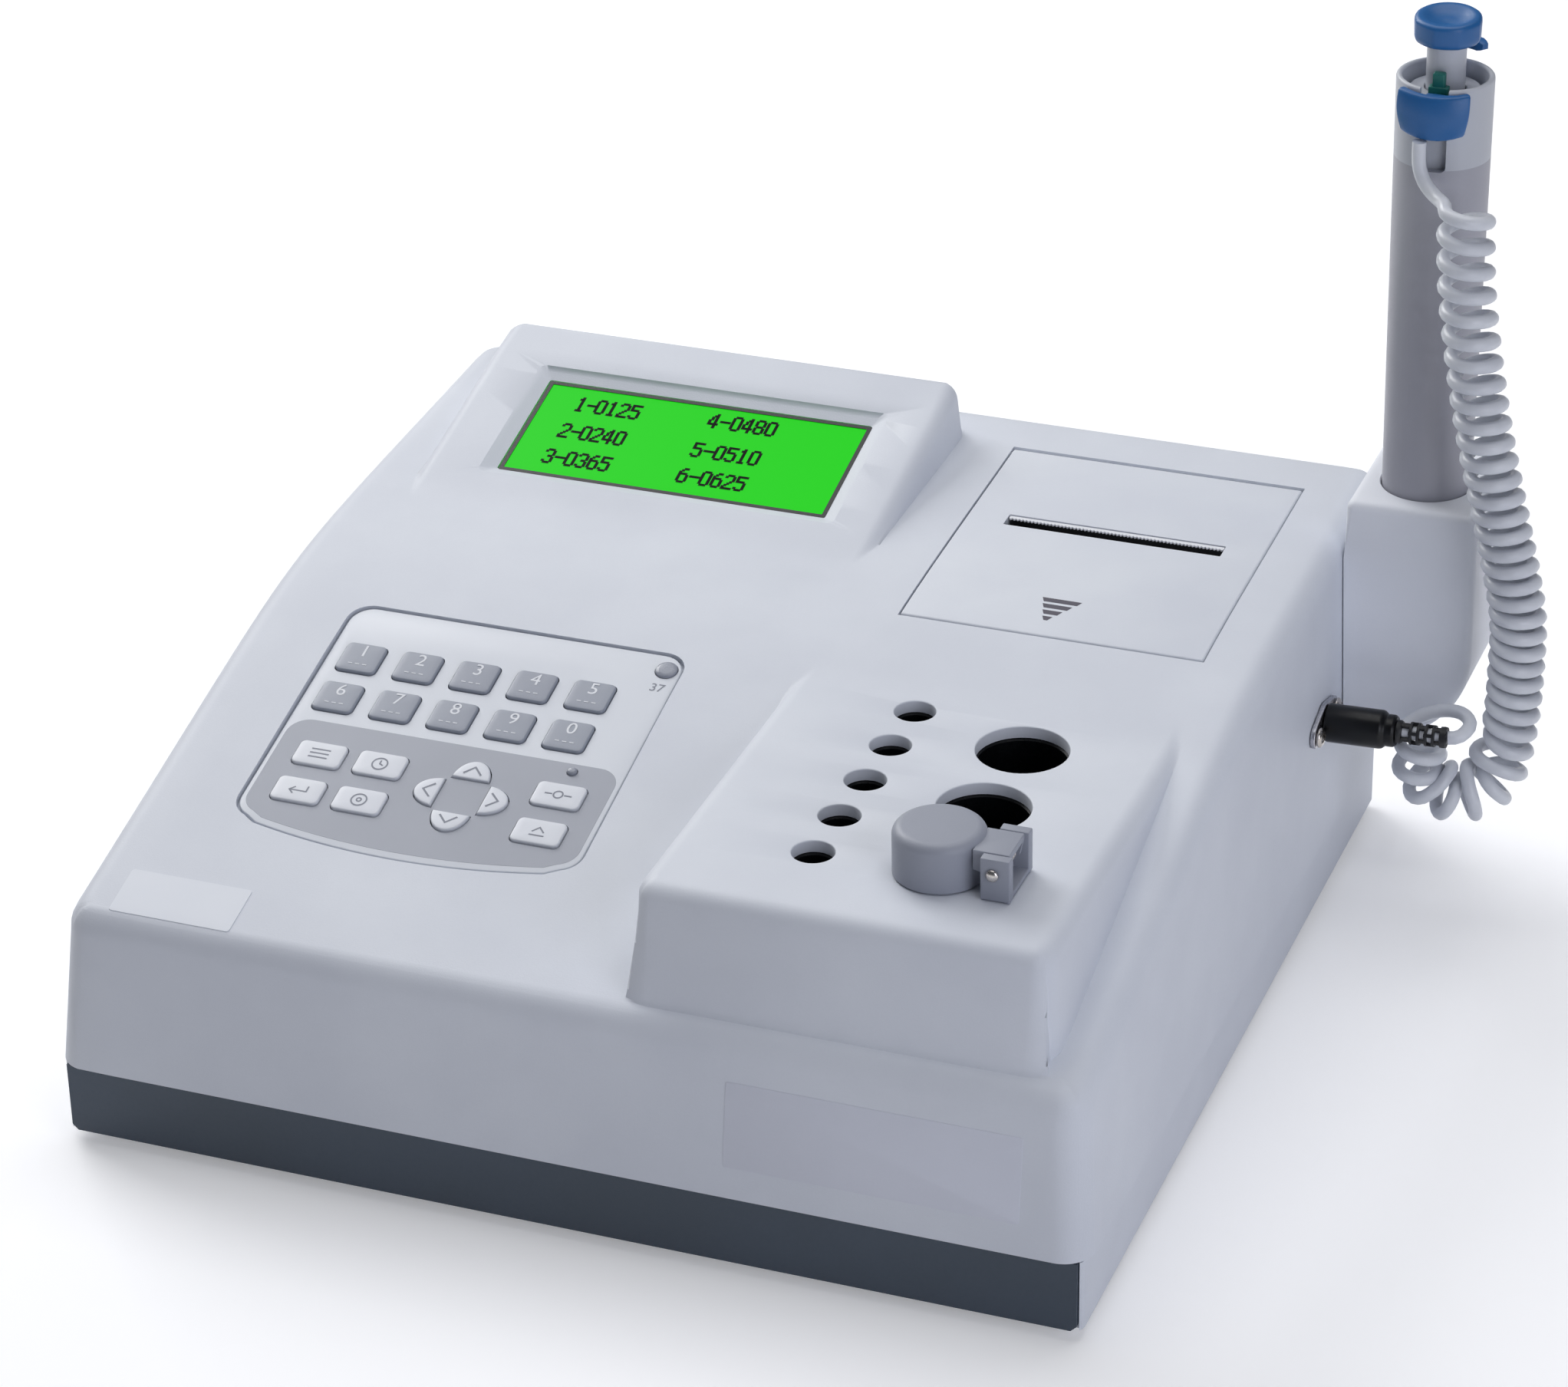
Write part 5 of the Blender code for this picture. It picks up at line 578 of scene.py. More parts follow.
CORD_LEAD = [
    (0.1475, 0.2302, 0.2130), (0.1475, 0.2302, 0.2096), (0.1479, 0.2299, 0.2060), (0.1495, 0.2288, 0.2028),
    (0.1523, 0.2267, 0.2008), (0.1551, 0.2238, 0.2003),
]
CORD_TURN_IN = [  # one more curl that rises behind the relief and comes round into its end
    (0.1636, 0.2158, 0.0482), (0.1647, 0.2118, 0.0489), (0.1633, 0.2078, 0.0498), (0.1592, 0.2061, 0.0508),
    (0.1556, 0.2077, 0.0517), (0.1535, 0.2118, 0.0533), (0.1552, 0.2158, 0.0553), (0.1594, 0.2176, 0.0578),
    (0.1648, 0.2174, 0.0598), (0.1697, 0.2154, 0.0605), (0.1724, 0.2113, 0.0600), (0.1712, 0.2075, 0.0587),
]


def smooth_line(points, count):
    """A line through points with a cubic between each pair whose slope at a point joins its two neighbours,
    read at even steps along its length."""
    points = np.asarray(points, float)
    padded = np.vstack([2 * points[0] - points[1], points, 2 * points[-1] - points[-2]])
    a, b, c, d = (padded[k:k + len(points) - 1, None, :] for k in range(4))
    t = np.linspace(0, 1, 24, endpoint=False)[None, :, None]
    line = b + t * (c - a) / 2 + t**2 * (2 * a - 5 * b + 4 * c - d) / 2 + t**3 * (3 * b - a - 3 * c + d) / 2
    line = np.vstack([line.reshape(-1, 3), points[-1:]])
    run = np.concatenate([[0], np.cumsum(np.linalg.norm(np.diff(line, axis=0), axis=1))])
    even = np.linspace(0, run[-1], count)
    return np.stack([np.interp(even, run, line[:, k]) for k in range(3)], axis=1), run[-1]


def cord_path():
    """The cord's middle line: a lead, then a helix round the route whose turns follow the pitches, then the
    turn into the plug. The helix is the route plus a circle in the plane square to it; inside the bend every
    other curl moves towards the bend's middle and the rest away from it."""
    line, length = smooth_line(COIL_ROUTE, 600)
    along = np.linspace(0, length, len(line))
    pitch = np.interp(along, np.linspace(0, length, len(COIL_PITCHES)), np.array(COIL_PITCHES) * MM)
    turns = np.concatenate([[0], np.cumsum(np.diff(along) / ((pitch[1:] + pitch[:-1]) / 2))])
    last = math.floor(turns[-1] - COIL_LAST) + COIL_LAST
    wanted = np.linspace(0, last, round(last * POINTS_PER_CURL) + 1)
    where = np.interp(wanted, turns * last / turns[-1], along)
    centre = np.stack([np.interp(where, along, line[:, k]) for k in range(3)], axis=1)
    way = np.gradient(centre, axis=0)
    way /= np.linalg.norm(way, axis=1)[:, None]
    across = np.cross(way, (0, 1, 0))
    across /= np.linalg.norm(across, axis=1)[:, None]
    other = np.cross(across, way)
    angle = math.pi + wanted * 2 * math.pi
    coil = centre + COIL_RADIUS * (np.cos(angle)[:, None] * across + np.sin(angle)[:, None] * other)
    out = coil[:, [0, 2]] - BEND_MIDDLE
    far = np.linalg.norm(out, axis=1)[:, None]
    inside = np.clip((BEND_REACH - far) / BEND_FADE, 0, 1)
    coil[:, [0, 2]] += out / far * inside * BEND_STEP * np.cos(math.pi * wanted)[:, None]
    end = JACK_AT + JACK_WAY * (PLUG_START + PLUG_LENGTH + RELIEF_GAP + RELIEF_LENGTH + RELIEF_GAP)
    return np.vstack([CORD_LEAD, coil, CORD_TURN_IN, [end + JACK_WAY * 0.0010, end]])


def make_cord():
    path, length = smooth_line(cord_path(), CORD_SAMPLES)
    path = place(path)
    mesh = rings_mesh(tube_along(path, CORD_RADIUS, CORD_SIDES, (0, 1, 0)), 60)
    mesh.name = "curly_cord_pvc"
    mesh.materials.append(CORD_PVC)
    made = linked("curly_cord_pvc", mesh)
    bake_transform(made)
    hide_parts("curly_cord")


make_cord()


# Casing

DECK_CURVE = np.array([(FRONT_LEAN, DECK_FRONT_HEIGHT), (0.1639, DECK_REAR_HEIGHT), (0.1134, 0.0953),
                       (CASE_DEPTH, DECK_REAR_HEIGHT)])
WEDGE_LEFT, WEDGE_RIGHT, WEDGE_START, WEDGE_REAR, WEDGE_TOP = -0.1165, 0.0170, 0.181, 0.257, 0.1168
WEDGE_EDGE, WEDGE_CORNER, WEDGE_DRAFT = 0.0045, 0.006, math.radians(5)
BLOCK_LEFT, BLOCK_RIGHT, BLOCK_FRONT, BLOCK_TOP = 0.0168, 0.1204, 0.0165, 0.092
BLOCK_EDGE, BLOCK_CORNER = 0.005, 0.006
BLOCK_SIDE_DRAFT, BLOCK_FRONT_DRAFT = math.radians(3.5), math.radians(10)
FOOT_FILLET = 0.0032  # the soft meeting of a raised form's wall with the deck
FOOT_SHARE = 0.45  # the most that it takes of their rise
CREST = 0.0010  # how softly the wedge's face and the block's top rise out of the deck


def deck_height(y):
    """The deck's height at Y: a cubic curve through its ends, pulled by two handles."""
    t = np.linspace(0, 1, 400)[:, None]
    curve = np.hstack([(1 - t) ** 3, 3 * (1 - t) ** 2 * t, 3 * (1 - t) * t**2, t**3]) @ DECK_CURVE
    return np.interp(y, curve[:, 0], curve[:, 1])


WEDGE_SLOPE = (WEDGE_TOP - float(deck_height(WEDGE_START))) / (WEDGE_REAR - WEDGE_START)
WEDGE_TILT = math.atan(WEDGE_SLOPE)


def soft_max(a, b, soft):
    """The larger of two heights, with their crossing rounded off over a difference of plus or minus soft."""
    share = np.clip(0.5 + (a - b) / (2 * soft), 0, 1)
    return b + (a - b) * share + soft * share * (1 - share)


def edge_drop(inside, radius, draft):
    """How far a surface has dropped at a distance inside its sharp edge: a round edge tangent to the top, then a
    drafted wall tangent to the round."""
    top = radius * math.tan((math.pi / 2 - draft) / 2)
    foot = top - radius * math.cos(draft)
    over = np.clip(top - inside, 0, radius * math.cos(draft))
    return radius - np.sqrt(radius**2 - over**2) + np.maximum(foot - inside, 0) / math.tan(draft)


def roll_tracks(radius, draft, steps):
    """Distances inside a sharp edge where a round edge needs a line of points, from its wall to its top."""
    top = radius * math.tan((math.pi / 2 - draft) / 2)
    angle = np.linspace(draft, math.pi / 2, steps + 1)
    return top - radius * np.cos(angle)


def flank_tracks(rise, radius, draft, steps):
    """Distances inside a raised form's sharp edge that need lines, in order from the deck to its top: the fillet at
    the wall's foot, the middle of the wall, and the round of the edge. Rows follow the rise."""
    rise = np.maximum(rise, 0)[:, None]
    fillet = np.minimum(FOOT_FILLET, rise * FOOT_SHARE)
    foot = -roll_tracks(1.0, draft, steps)[None, ::-1] * fillet - rise * math.tan(draft)
    roll = roll_tracks(radius, draft, steps)[None, :] + 0 * rise
    middle = (foot[:, -1:] + roll[:, :1]) / 2
    return np.hstack([foot, middle, roll])


def casing_surface(inset, steps):
    """X, Y and height of a grid over the casing's top, and its edge band. Rows run from front to rear and columns
    from left to right, packed where the surface turns; the height is the deck, or the higher of the well block
    and the wedge, less the round of the outer edges. Corners are rounded by drawing square rings onto arcs."""
    quarter = 1 - np.cos(np.linspace(0, math.pi / 2, steps + 1))
    half = CASE_HALF - SIDE_LEAN - inset
    front, rear = FRONT_LEAN + inset, CASE_DEPTH - inset
    front_edge, edge = FRONT_EDGE - inset, CASE_EDGE - inset
    block_edge, wedge_edge = BLOCK_EDGE - inset, WEDGE_EDGE - inset

    probe = np.linspace(BLOCK_FRONT, WEDGE_REAR, 2000)
    merge = float(probe[np.argmax(deck_height(probe) > BLOCK_TOP)])
    low = BLOCK_FRONT
    for _ in range(6):  # the foot of the block's front wall, found step by step
        low = BLOCK_FRONT - (BLOCK_TOP - float(deck_height(low))) * math.tan(BLOCK_FRONT_DRAFT)
    rise = np.array([BLOCK_TOP - float(deck_height(low))])
    block_rows = BLOCK_FRONT + inset + flank_tracks(rise, block_edge, BLOCK_FRONT_DRAFT, steps)[0]
    rise = np.array([WEDGE_TOP - float(deck_height(WEDGE_REAR))])
    wedge_rows = WEDGE_REAR - inset - flank_tracks(rise, wedge_edge, WEDGE_DRAFT, steps)[0][::-1]
    rows = np.concatenate([
        front + front_edge * quarter, block_rows, np.linspace(block_rows[-1], merge - 0.004, 4 * steps)[1:],
        np.linspace(merge - 0.004, merge + 0.006, steps)[1:],
        np.linspace(merge + 0.006, WEDGE_START - 0.006, steps)[1:],
        np.linspace(WEDGE_START - 0.006, WEDGE_START + 0.008, steps)[1:],
        np.linspace(WEDGE_START + 0.008, wedge_rows[0], steps)[1:-1], wedge_rows, rear - edge * quarter[::-1],
    ])
    rows = np.sort(rows) + np.arange(len(rows)) * 1e-7

    deck = deck_height(rows)
    face = WEDGE_TOP + (rows - WEDGE_REAR) * WEDGE_SLOPE
    block = flank_tracks(BLOCK_TOP - deck, block_edge, BLOCK_SIDE_DRAFT, steps)
    wedge = flank_tracks(face - deck, wedge_edge, WEDGE_DRAFT, steps)
    share = np.clip((rows - merge) / (WEDGE_START - merge), 0, 1)[:, None]
    shared = (BLOCK_LEFT + inset + block) * (1 - share) + (WEDGE_RIGHT - inset - wedge[:, ::-1]) * share
    side = np.broadcast_to(edge * quarter, (len(rows), steps + 1))
    x = np.hstack([-half + side, WEDGE_LEFT + inset + wedge, shared, BLOCK_RIGHT - inset - block[:, ::-1],
                   half - side[:, ::-1]])
    x = np.sort(x, axis=1) + np.arange(x.shape[1]) * 1e-7
    y = np.repeat(rows[:, None], x.shape[1], axis=1)
    flat_x, flat_y = x, y

    def round_corner(x, y, corner, way, reach, blend):
        """Draws the points beyond a corner's centre from square rings onto arcs round it, fading out over the last
        part of the reach."""
        u, v = (x - corner[0]) * way[0], (y - corner[1]) * way[1]
        far = np.maximum(u, v)
        inside = (u > 0) & (v > 0) & (far <= reach)
        fade = np.clip((reach - far) / max(blend, 1e-9), 0, 1) if blend else 1.0
        pull = np.where(inside, 1 + fade * (far / np.where(inside, np.hypot(u, v), 1) - 1), 1)
        return corner[0] + (x - corner[0]) * pull, corner[1] + (y - corner[1]) * pull

    radius = CASE_CORNER - min(inset, CASE_CORNER / 2)
    for way in (-1, 1):
        x, y = round_corner(x, y, (way * (half - radius), front + radius), (way, -1), CASE_EDGE + CASE_CORNER, 0)
        x, y = round_corner(x, y, (way * (half - radius), rear - radius), (way, 1), CASE_EDGE + CASE_CORNER, 0)
    block_reach = 0.0146  # short of the casing's own edge
    wedge_reach = WEDGE_CORNER + 0.0015 + FOOT_FILLET
    for corner, way, reach in (
        ((BLOCK_LEFT + BLOCK_CORNER, BLOCK_FRONT + BLOCK_CORNER), (-1, -1), block_reach),
        ((BLOCK_RIGHT - BLOCK_CORNER, BLOCK_FRONT + BLOCK_CORNER), (1, -1), block_reach),
        ((WEDGE_LEFT + WEDGE_CORNER, WEDGE_REAR - WEDGE_CORNER), (-1, 1), wedge_reach),
        ((WEDGE_RIGHT - WEDGE_CORNER, WEDGE_REAR - WEDGE_CORNER), (1, 1), wedge_reach),
    ):
        x, y = round_corner(x, y, corner, way, reach, 0.4 * reach)

    def raised(top, deck, insides, radius, drafts):
        """A raised form's height: its top less the roll of its edge, or where lower the deck plus its foot's
        fillet, taken at the nearest of its walls."""
        rise = np.maximum(top - deck, 0)
        drop = np.max([edge_drop(i, radius, d) for i, d in zip(insides, drafts)], axis=0)
        fillet = np.maximum(np.minimum(FOOT_FILLET, rise * FOOT_SHARE), 1e-6)
        climb = np.min([edge_drop((-i - rise * math.tan(d)) / fillet, 1.0, d) * fillet
                        for i, d in zip(insides, drafts)], axis=0)
        return np.maximum(deck, np.minimum(top - drop, deck + climb))

    deck = deck_height(y)
    sides = np.minimum(flat_x - BLOCK_LEFT, BLOCK_RIGHT - flat_x) - inset
    block = raised(soft_max(deck, BLOCK_TOP, CREST), deck, (sides, flat_y - BLOCK_FRONT - inset), block_edge,
                   (BLOCK_SIDE_DRAFT, BLOCK_FRONT_DRAFT))
    inside = np.minimum(np.minimum(flat_x - WEDGE_LEFT, WEDGE_RIGHT - flat_x), WEDGE_REAR - flat_y) - inset
    face = soft_max(deck, WEDGE_TOP + (y - WEDGE_REAR) * WEDGE_SLOPE, CREST)
    wedge = raised(face, deck, (inside,), wedge_edge, (WEDGE_DRAFT,))
    height = np.maximum(block, wedge) - inset
    side_over = edge - (half - np.abs(flat_x))
    rear_over = edge - (rear - flat_y)
    front_over = (front_edge - (flat_y - front)) * edge / front_edge
    over = np.clip(np.maximum(np.maximum(side_over, rear_over), front_over), 0, edge)
    height = height - (edge - np.sqrt(edge**2 - over**2))
    return np.stack([x, y, height], axis=-1)


def casing_body(inset, low, steps):
    """The casing's outer body, or the hollow in it: the surface's border drawn down to a level rim that is wider by
    the walls' lean, and closed below."""
    grid = casing_surface(inset, steps)
    rows, columns = grid.shape[:2]
    index = np.arange(rows * columns).reshape(rows, columns)
    border = np.concatenate([index[0], index[1:, -1], index[-1, -2::-1], index[-2:0:-1, 0]])
    edge_points = grid.reshape(-1, 3)[border]
    half = CASE_HALF - SIDE_LEAN - inset
    front, rear = FRONT_LEAN + inset, CASE_DEPTH - inset
    base = edge_points.copy()
    base[:, 0] *= (CASE_HALF - inset) / half
    base[:, 1] = rear - (rear - base[:, 1]) * (rear - inset) / (rear - front)
    base[:, 2] = low
    foot = rows * columns + np.arange(len(border))
    after = np.roll(np.arange(len(border)), -1)
    skirt = np.stack([border, foot, foot[after], border[after]], axis=1)
    faces = grid_faces(rows, columns, False).tolist() + skirt.tolist() + [foot[::-1].tolist()]
    return to_mesh(np.vstack([grid.reshape(-1, 3), base]), faces)


# Openings in the casing, shared with the pieces that fill them

SCREEN_HALF = np.array([0.0464, 0.01815 / math.cos(WEDGE_TILT)])
SCREEN_MIDDLE_Y = 0.21515
SCREEN_AT = np.array([-0.0486, SCREEN_MIDDLE_Y, WEDGE_TOP + (SCREEN_MIDDLE_Y - WEDGE_REAR) * WEDGE_SLOPE])
SCREEN_DEPTH = 0.0018
PAD_FRONT, PAD_REAR = 0.0475, 0.1265
PAD_SLOPE = math.atan((float(deck_height(PAD_REAR)) - float(deck_height(PAD_FRONT))) / (PAD_REAR - PAD_FRONT))
PAD_AT = np.array([-0.05875, 0.0870, (float(deck_height(PAD_FRONT)) + float(deck_height(PAD_REAR))) / 2])
PAD_HALF = np.array([0.04725, 0.0395 / math.cos(PAD_SLOPE)])
PAD_BOW = 0.0060
FLAP_LEFT, FLAP_RIGHT, FLAP_FRONT, FLAP_REAR = 0.0335, 0.1154, 0.1570, 0.2520
FLAP_GAP, FLAP_THICK = 0.0004, 0.0030
SMALL_WELL, LARGE_WELL = 0.0053, 0.01175
CHANNEL_X, CHANNEL_Y = 0.0838, 0.0450
WELLS = [(0.0522, 0.0441 + 0.0183 * k, SMALL_WELL) for k in range(5)]
WELLS += [(CHANNEL_X, 0.1072, LARGE_WELL), (CHANNEL_X, 0.0774, LARGE_WELL), (CHANNEL_X, CHANNEL_Y, SMALL_WELL)]
WELL_ROUND = 0.00035  # at each well's mouth
REAR_WALL = (CASE_DEPTH - CASE_WALL - 0.002, CASE_DEPTH + 0.002)  # in Y, with some room at each side


def on_pad(x, y):
    """A place given in the casing's X and Y, measured in the keypad's plane."""
    return np.array([x - PAD_AT[0], (y - PAD_AT[1]) / math.cos(PAD_SLOPE)])


def laid_on_pad(points, middle=(0, 0), lift=0.0):
    """Points drawn flat about a place on the keypad, laid into its plane."""
    return tilted(np.asarray(points) + (*middle, lift), PAD_AT, PAD_SLOPE)


def bowed(left, right, front, rear, bow, radius, steps=8):
    """A panel's outline: straight back and sides, round corners, and a front edge that is part of a large circle."""
    half = (right - left) / 2
    large = (half**2 + bow**2) / (2 * bow)
    spread = math.degrees(math.asin((half - radius) / large)) * 0.97
    middle = (left + right) / 2
    lift = 20  # degrees, by which the front corners turn less than a quarter
    return np.vstack([
        arc((right - radius, rear - radius), radius, 0, 90, steps),
        arc((left + radius, rear - radius), radius, 90, 180, steps),
        arc((left + radius, front + radius), radius, 180, 270 - lift, steps),
        arc((middle, front - bow + large), large, 270 - spread, 270 + spread, 5 * steps),
        arc((right - radius, front + radius), radius, 270 + lift, 360, steps),
    ])


def pad_outline(shrink):
    """The keypad's outline, drawn in on all sides."""
    front = -PAD_HALF[1] + shrink
    return bowed(-PAD_HALF[0] + shrink, PAD_HALF[0] - shrink, front, PAD_HALF[1] - shrink, PAD_BOW,
                 0.0065 - shrink / 2)


def window_rings():
    """The display's window: a sloping surround, hollowed a little, over a straight opening."""
    rings = []
    for grow, z in ((0.0010, -0.0060), (0.0010, -SCREEN_DEPTH), (0.0016, -0.00155), (0.0032, -0.0008),
                    (0.0050, 0.0), (0.0085, 0.0013)):
        half = SCREEN_HALF + grow
        rings.append(at_height(rounded(-half[0], half[0], -half[1], half[1], 0.0003 + grow * 0.35, 5), z))
    return tilted(rings, SCREEN_AT, WEDGE_TILT)


def well_rings():
    """Each well's hole, its mouth broken by a small round."""
    bodies = []
    for x, y, radius in WELLS:
        levels = [(0, BLOCK_TOP - 0.006)]
        levels += [(WELL_ROUND * (1 - math.cos(a)), BLOCK_TOP - WELL_ROUND * (1 - math.sin(a)))
                   for a in np.linspace(0, math.pi / 2, 4)]
        levels.append((WELL_ROUND, BLOCK_TOP + 0.002))
        bodies.append([at_height(circle(x, y, radius + wider), z) for wider, z in levels])
    return bodies


def on_side(rings, y=0.0):
    """Rings about Z laid out of the casing's right side at the jack."""
    return tilted(along_x(rings) + (0, y, 0), JACK_AT, 0, SIDE_LEAN_ANGLE)


def flap_hinge():
    """Y and height of the flap's hinge line: the middle of its rounded rear edge."""
    y = FLAP_REAR - FLAP_GAP - FLAP_THICK / 2
    return y, float(deck_height(y)) - FLAP_THICK / 2


def flap_pins(radius, *ends):
    """Two pins, or their bores, on the flap's hinge line, each between two X."""
    around = circle(*flap_hinge(), radius, 24)
    return [[np.column_stack([np.full(len(around), x), around]) for x in pair] for pair in ends]


def rear_opening(at, half_x, half_z):
    """A box through the rear wall about a place."""
    return box_rings(at[0] - half_x, at[0] + half_x, *REAR_WALL, at[2] - half_z, at[2] + half_z)


def make_casing():
    """The casing's body less its hollow and all its openings."""
    outer = casing_body(0, CASE_RIM, 8)
    inner = casing_body(CASE_WALL, CASE_RIM - 0.002, 3)
    outline, opening = pad_outline(0), pad_outline(0.0014)
    pad = [at_height(opening, -0.0063), at_height(opening, -0.0019), at_height(outline, -0.0019),
           at_height(outline, 0.002)]
    openings = [window_rings(), laid_on_pad(pad),
                box_rings(FLAP_LEFT, FLAP_RIGHT, FLAP_FRONT, FLAP_REAR, BLOCK_TOP - 0.004, 0.110), *well_rings(),
                rear_opening(INLET_AT, 0.0153, 0.0123), rear_opening(SWITCH_AT, 0.0063, 0.0083)]
    for x in -0.032 + 0.008 * np.arange(9):
        slit = rounded(x, x + 0.003, 0.040, 0.062, 0.0014, 5)
        openings.append(drawn_along_y([at_height(slit, y) for y in REAR_WALL]))
    for y, radius in ((0, 0.0049), (-SCREW_APART, 0.0016), (SCREW_APART, 0.0016)):
        openings.append(on_side(turned_rings([(radius, -0.002), (radius, 0.006)], 32), y))
    bores = flap_pins(0.001, (FLAP_LEFT - 0.0018, FLAP_RIGHT + 0.0018))
    piece("case_shell", cut_mesh(outer, inner, openings, bores), "case", CASE_ABS, ("top_cover",))


make_casing()


# Marks: flat strokes and signs

INK_THICK = 0.00003
WORD_STEPS = 5  # of each curve in a sign


def stroke(path, width, thick=INK_THICK):
    """Rings of a flat stroke along a path in X and Y: at each point a small rectangle across the way there, its
    sides moved out along the mitre where the path turns."""
    path = np.asarray(path, float)
    way = np.diff(path, axis=0)
    way /= np.linalg.norm(way, axis=1)[:, None]
    before, after = np.vstack([way[:1], way]), np.vstack([way, way[-1:]])
    first = np.stack([-before[:, 1], before[:, 0]], axis=1)
    second = np.stack([-after[:, 1], after[:, 0]], axis=1)
    out = (first + second) / np.maximum(1 + (first * second).sum(axis=1, keepdims=True), 0.5) * width / 2
    left, right = path + out, path - out
    return np.stack([at_height(left, 0), at_height(right, 0), at_height(right, thick), at_height(left, thick)], axis=1)


def words_flat(text, height):
    """Points and faces of a word in plain built-in letter shapes, scaled to its height and centred at the origin."""
    curve = bpy.data.curves.new("word", "FONT")
    curve.body = text
    curve.extrude = 0.01
    curve.resolution_u = WORD_STEPS
    holder = linked("word", curve)
    mesh = bpy.data.meshes.new_from_object(holder.evaluated_get(bpy.context.evaluated_depsgraph_get()))
    points = np.array([v.co for v in mesh.vertices])
    faces = [list(face.vertices) for face in mesh.polygons]
    bpy.data.objects.remove(holder)
    low, high = points.min(axis=0), points.max(axis=0)
    points = (points - (low + high) / 2) * height / (high - low)[1]
    points[:, 2] = np.where(points[:, 2] > 0, INK_THICK, 0.0)
    return points, faces


def round_path(radius):
    """A full circle as a path for a stroke."""
    return arc((0, 0), radius, 0, 360, 24)


# Keypad: film, grey printed ground, raised keys and their marks

KEY_HOLE_GAP = 0.0003
LAMP_HOLE_GAP = 0.0002
FILM_TOP = -0.0004
FIELD_TOP = FILM_TOP + 0.00005
KEY_TOP = FILM_TOP + 0.0008
KEY_RIM = 0.0005  # radius of a key's edge
MARK_LIFT = KEY_TOP + 0.00011  # just over the crown
ARROW_WAYS = {"key_right": 0, "key_up": 90, "key_left": 180, "key_down": 270}


def arrow_outline(degrees):
    """Half an oval: its arc and a flat side, turned to face its way."""
    angle = np.radians(np.linspace(-78, 78, 21))
    points = np.column_stack([0.0067 * np.cos(angle), 0.0050 * np.sin(angle)])
    return turned_flat(np.vstack([(0.0004, -0.0050), points, (0.0004, 0.0050)]), degrees)


def key_places():
    """Each key's name, its middle on the keypad's plane and its outline round that middle."""
    digit = rounded(-0.0056, 0.0056, -0.0053, 0.0053, 0.0016, 6)
    white = rounded(-0.0066, 0.0066, -0.0042, 0.0042, 0.0016, 6)
    places = {}
    for k, name in enumerate("1234567890"):
        places[f"key_{name}"] = (on_pad(-0.0958 + 0.0160 * (k % 5), 0.1070 - 0.0147 * (k // 5)), digit)
    names = (("key_menu", "key_timer", "key_inline"), ("key_enter", "key_optic", "key_feed"))
    for row, columns in enumerate(names):
        for x, name in zip((-0.0916, -0.0748, -0.0260), columns):
            places[name] = (on_pad(x, 0.0718 - 0.0130 * row), white)
    centre = on_pad(-0.0502, 0.0662)
    for name, degrees in ARROW_WAYS.items():
        places[name] = (centre + turned_flat((0.0059, 0), degrees), arrow_outline(degrees))
    return places


KEYS = key_places()
LAMPS = {"temp_lamp": (on_pad(-0.0162, 0.1206), 0.0029), "status_lamp": (on_pad(-0.0260, 0.0808), 0.0013)}


def pad_holes():
    """A hole for each key and lamp through the film and the grey ground."""
    holes = [grown(outline, KEY_HOLE_GAP) + middle for middle, outline in KEYS.values()]
    holes += [circle(*middle, radius + LAMP_HOLE_GAP, 32) for middle, radius in LAMPS.values()]
    return [laid_on_pad([at_height(hole, -0.004), at_height(hole, 0.004)]) for hole in holes]


def make_keypad():
    """The film, and a grey ground on it whose rear edge is straight and whose front edge follows the film's bow, both
    with holes for the keys and lamps, which come next."""
    film = laid_on_pad(slab_rings(pad_outline(0.0007), -0.0016, FILM_TOP, 0.0003, 3))
    piece("keypad_film", cut_mesh(rings_mesh(film), pad_holes()), "case", PANEL_FILM, ("keypad_panel",))
    outline = bowed(-0.0454, 0.0453, -0.0385, -0.0035, PAD_BOW - 0.0006, 0.0058)
    ground = laid_on_pad(slab_rings(outline, FILM_TOP - 0.0002, FIELD_TOP, 0.00003, 1))
    piece("keypad_ground", cut_mesh(rings_mesh(ground), pad_holes()), "case", FIELD_PRINT)
    for name, (middle, outline) in KEYS.items():
        make_key(name, middle, outline)
    for name, (middle, radius) in LAMPS.items():
        profile = round_profile([(0.0001, -0.0035), (radius, -0.0035), (radius, 0.0001), (radius * 0.7, 0.0005),
                                 (0.0001, 0.0006)], 0.0003)
        lamp = rings_mesh(laid_on_pad(turned_rings(profile, 40), middle))
        piece(f"{name}_lens", lamp, "case", LAMP_LENS, (name,))
    points, faces = words_flat("37", 0.0028)
    points = laid_on_pad(points, on_pad(-0.0162, 0.1142), FILM_TOP + 0.00002)
    piece("keypad_number", to_mesh(points, faces), "case", MARK_INK)


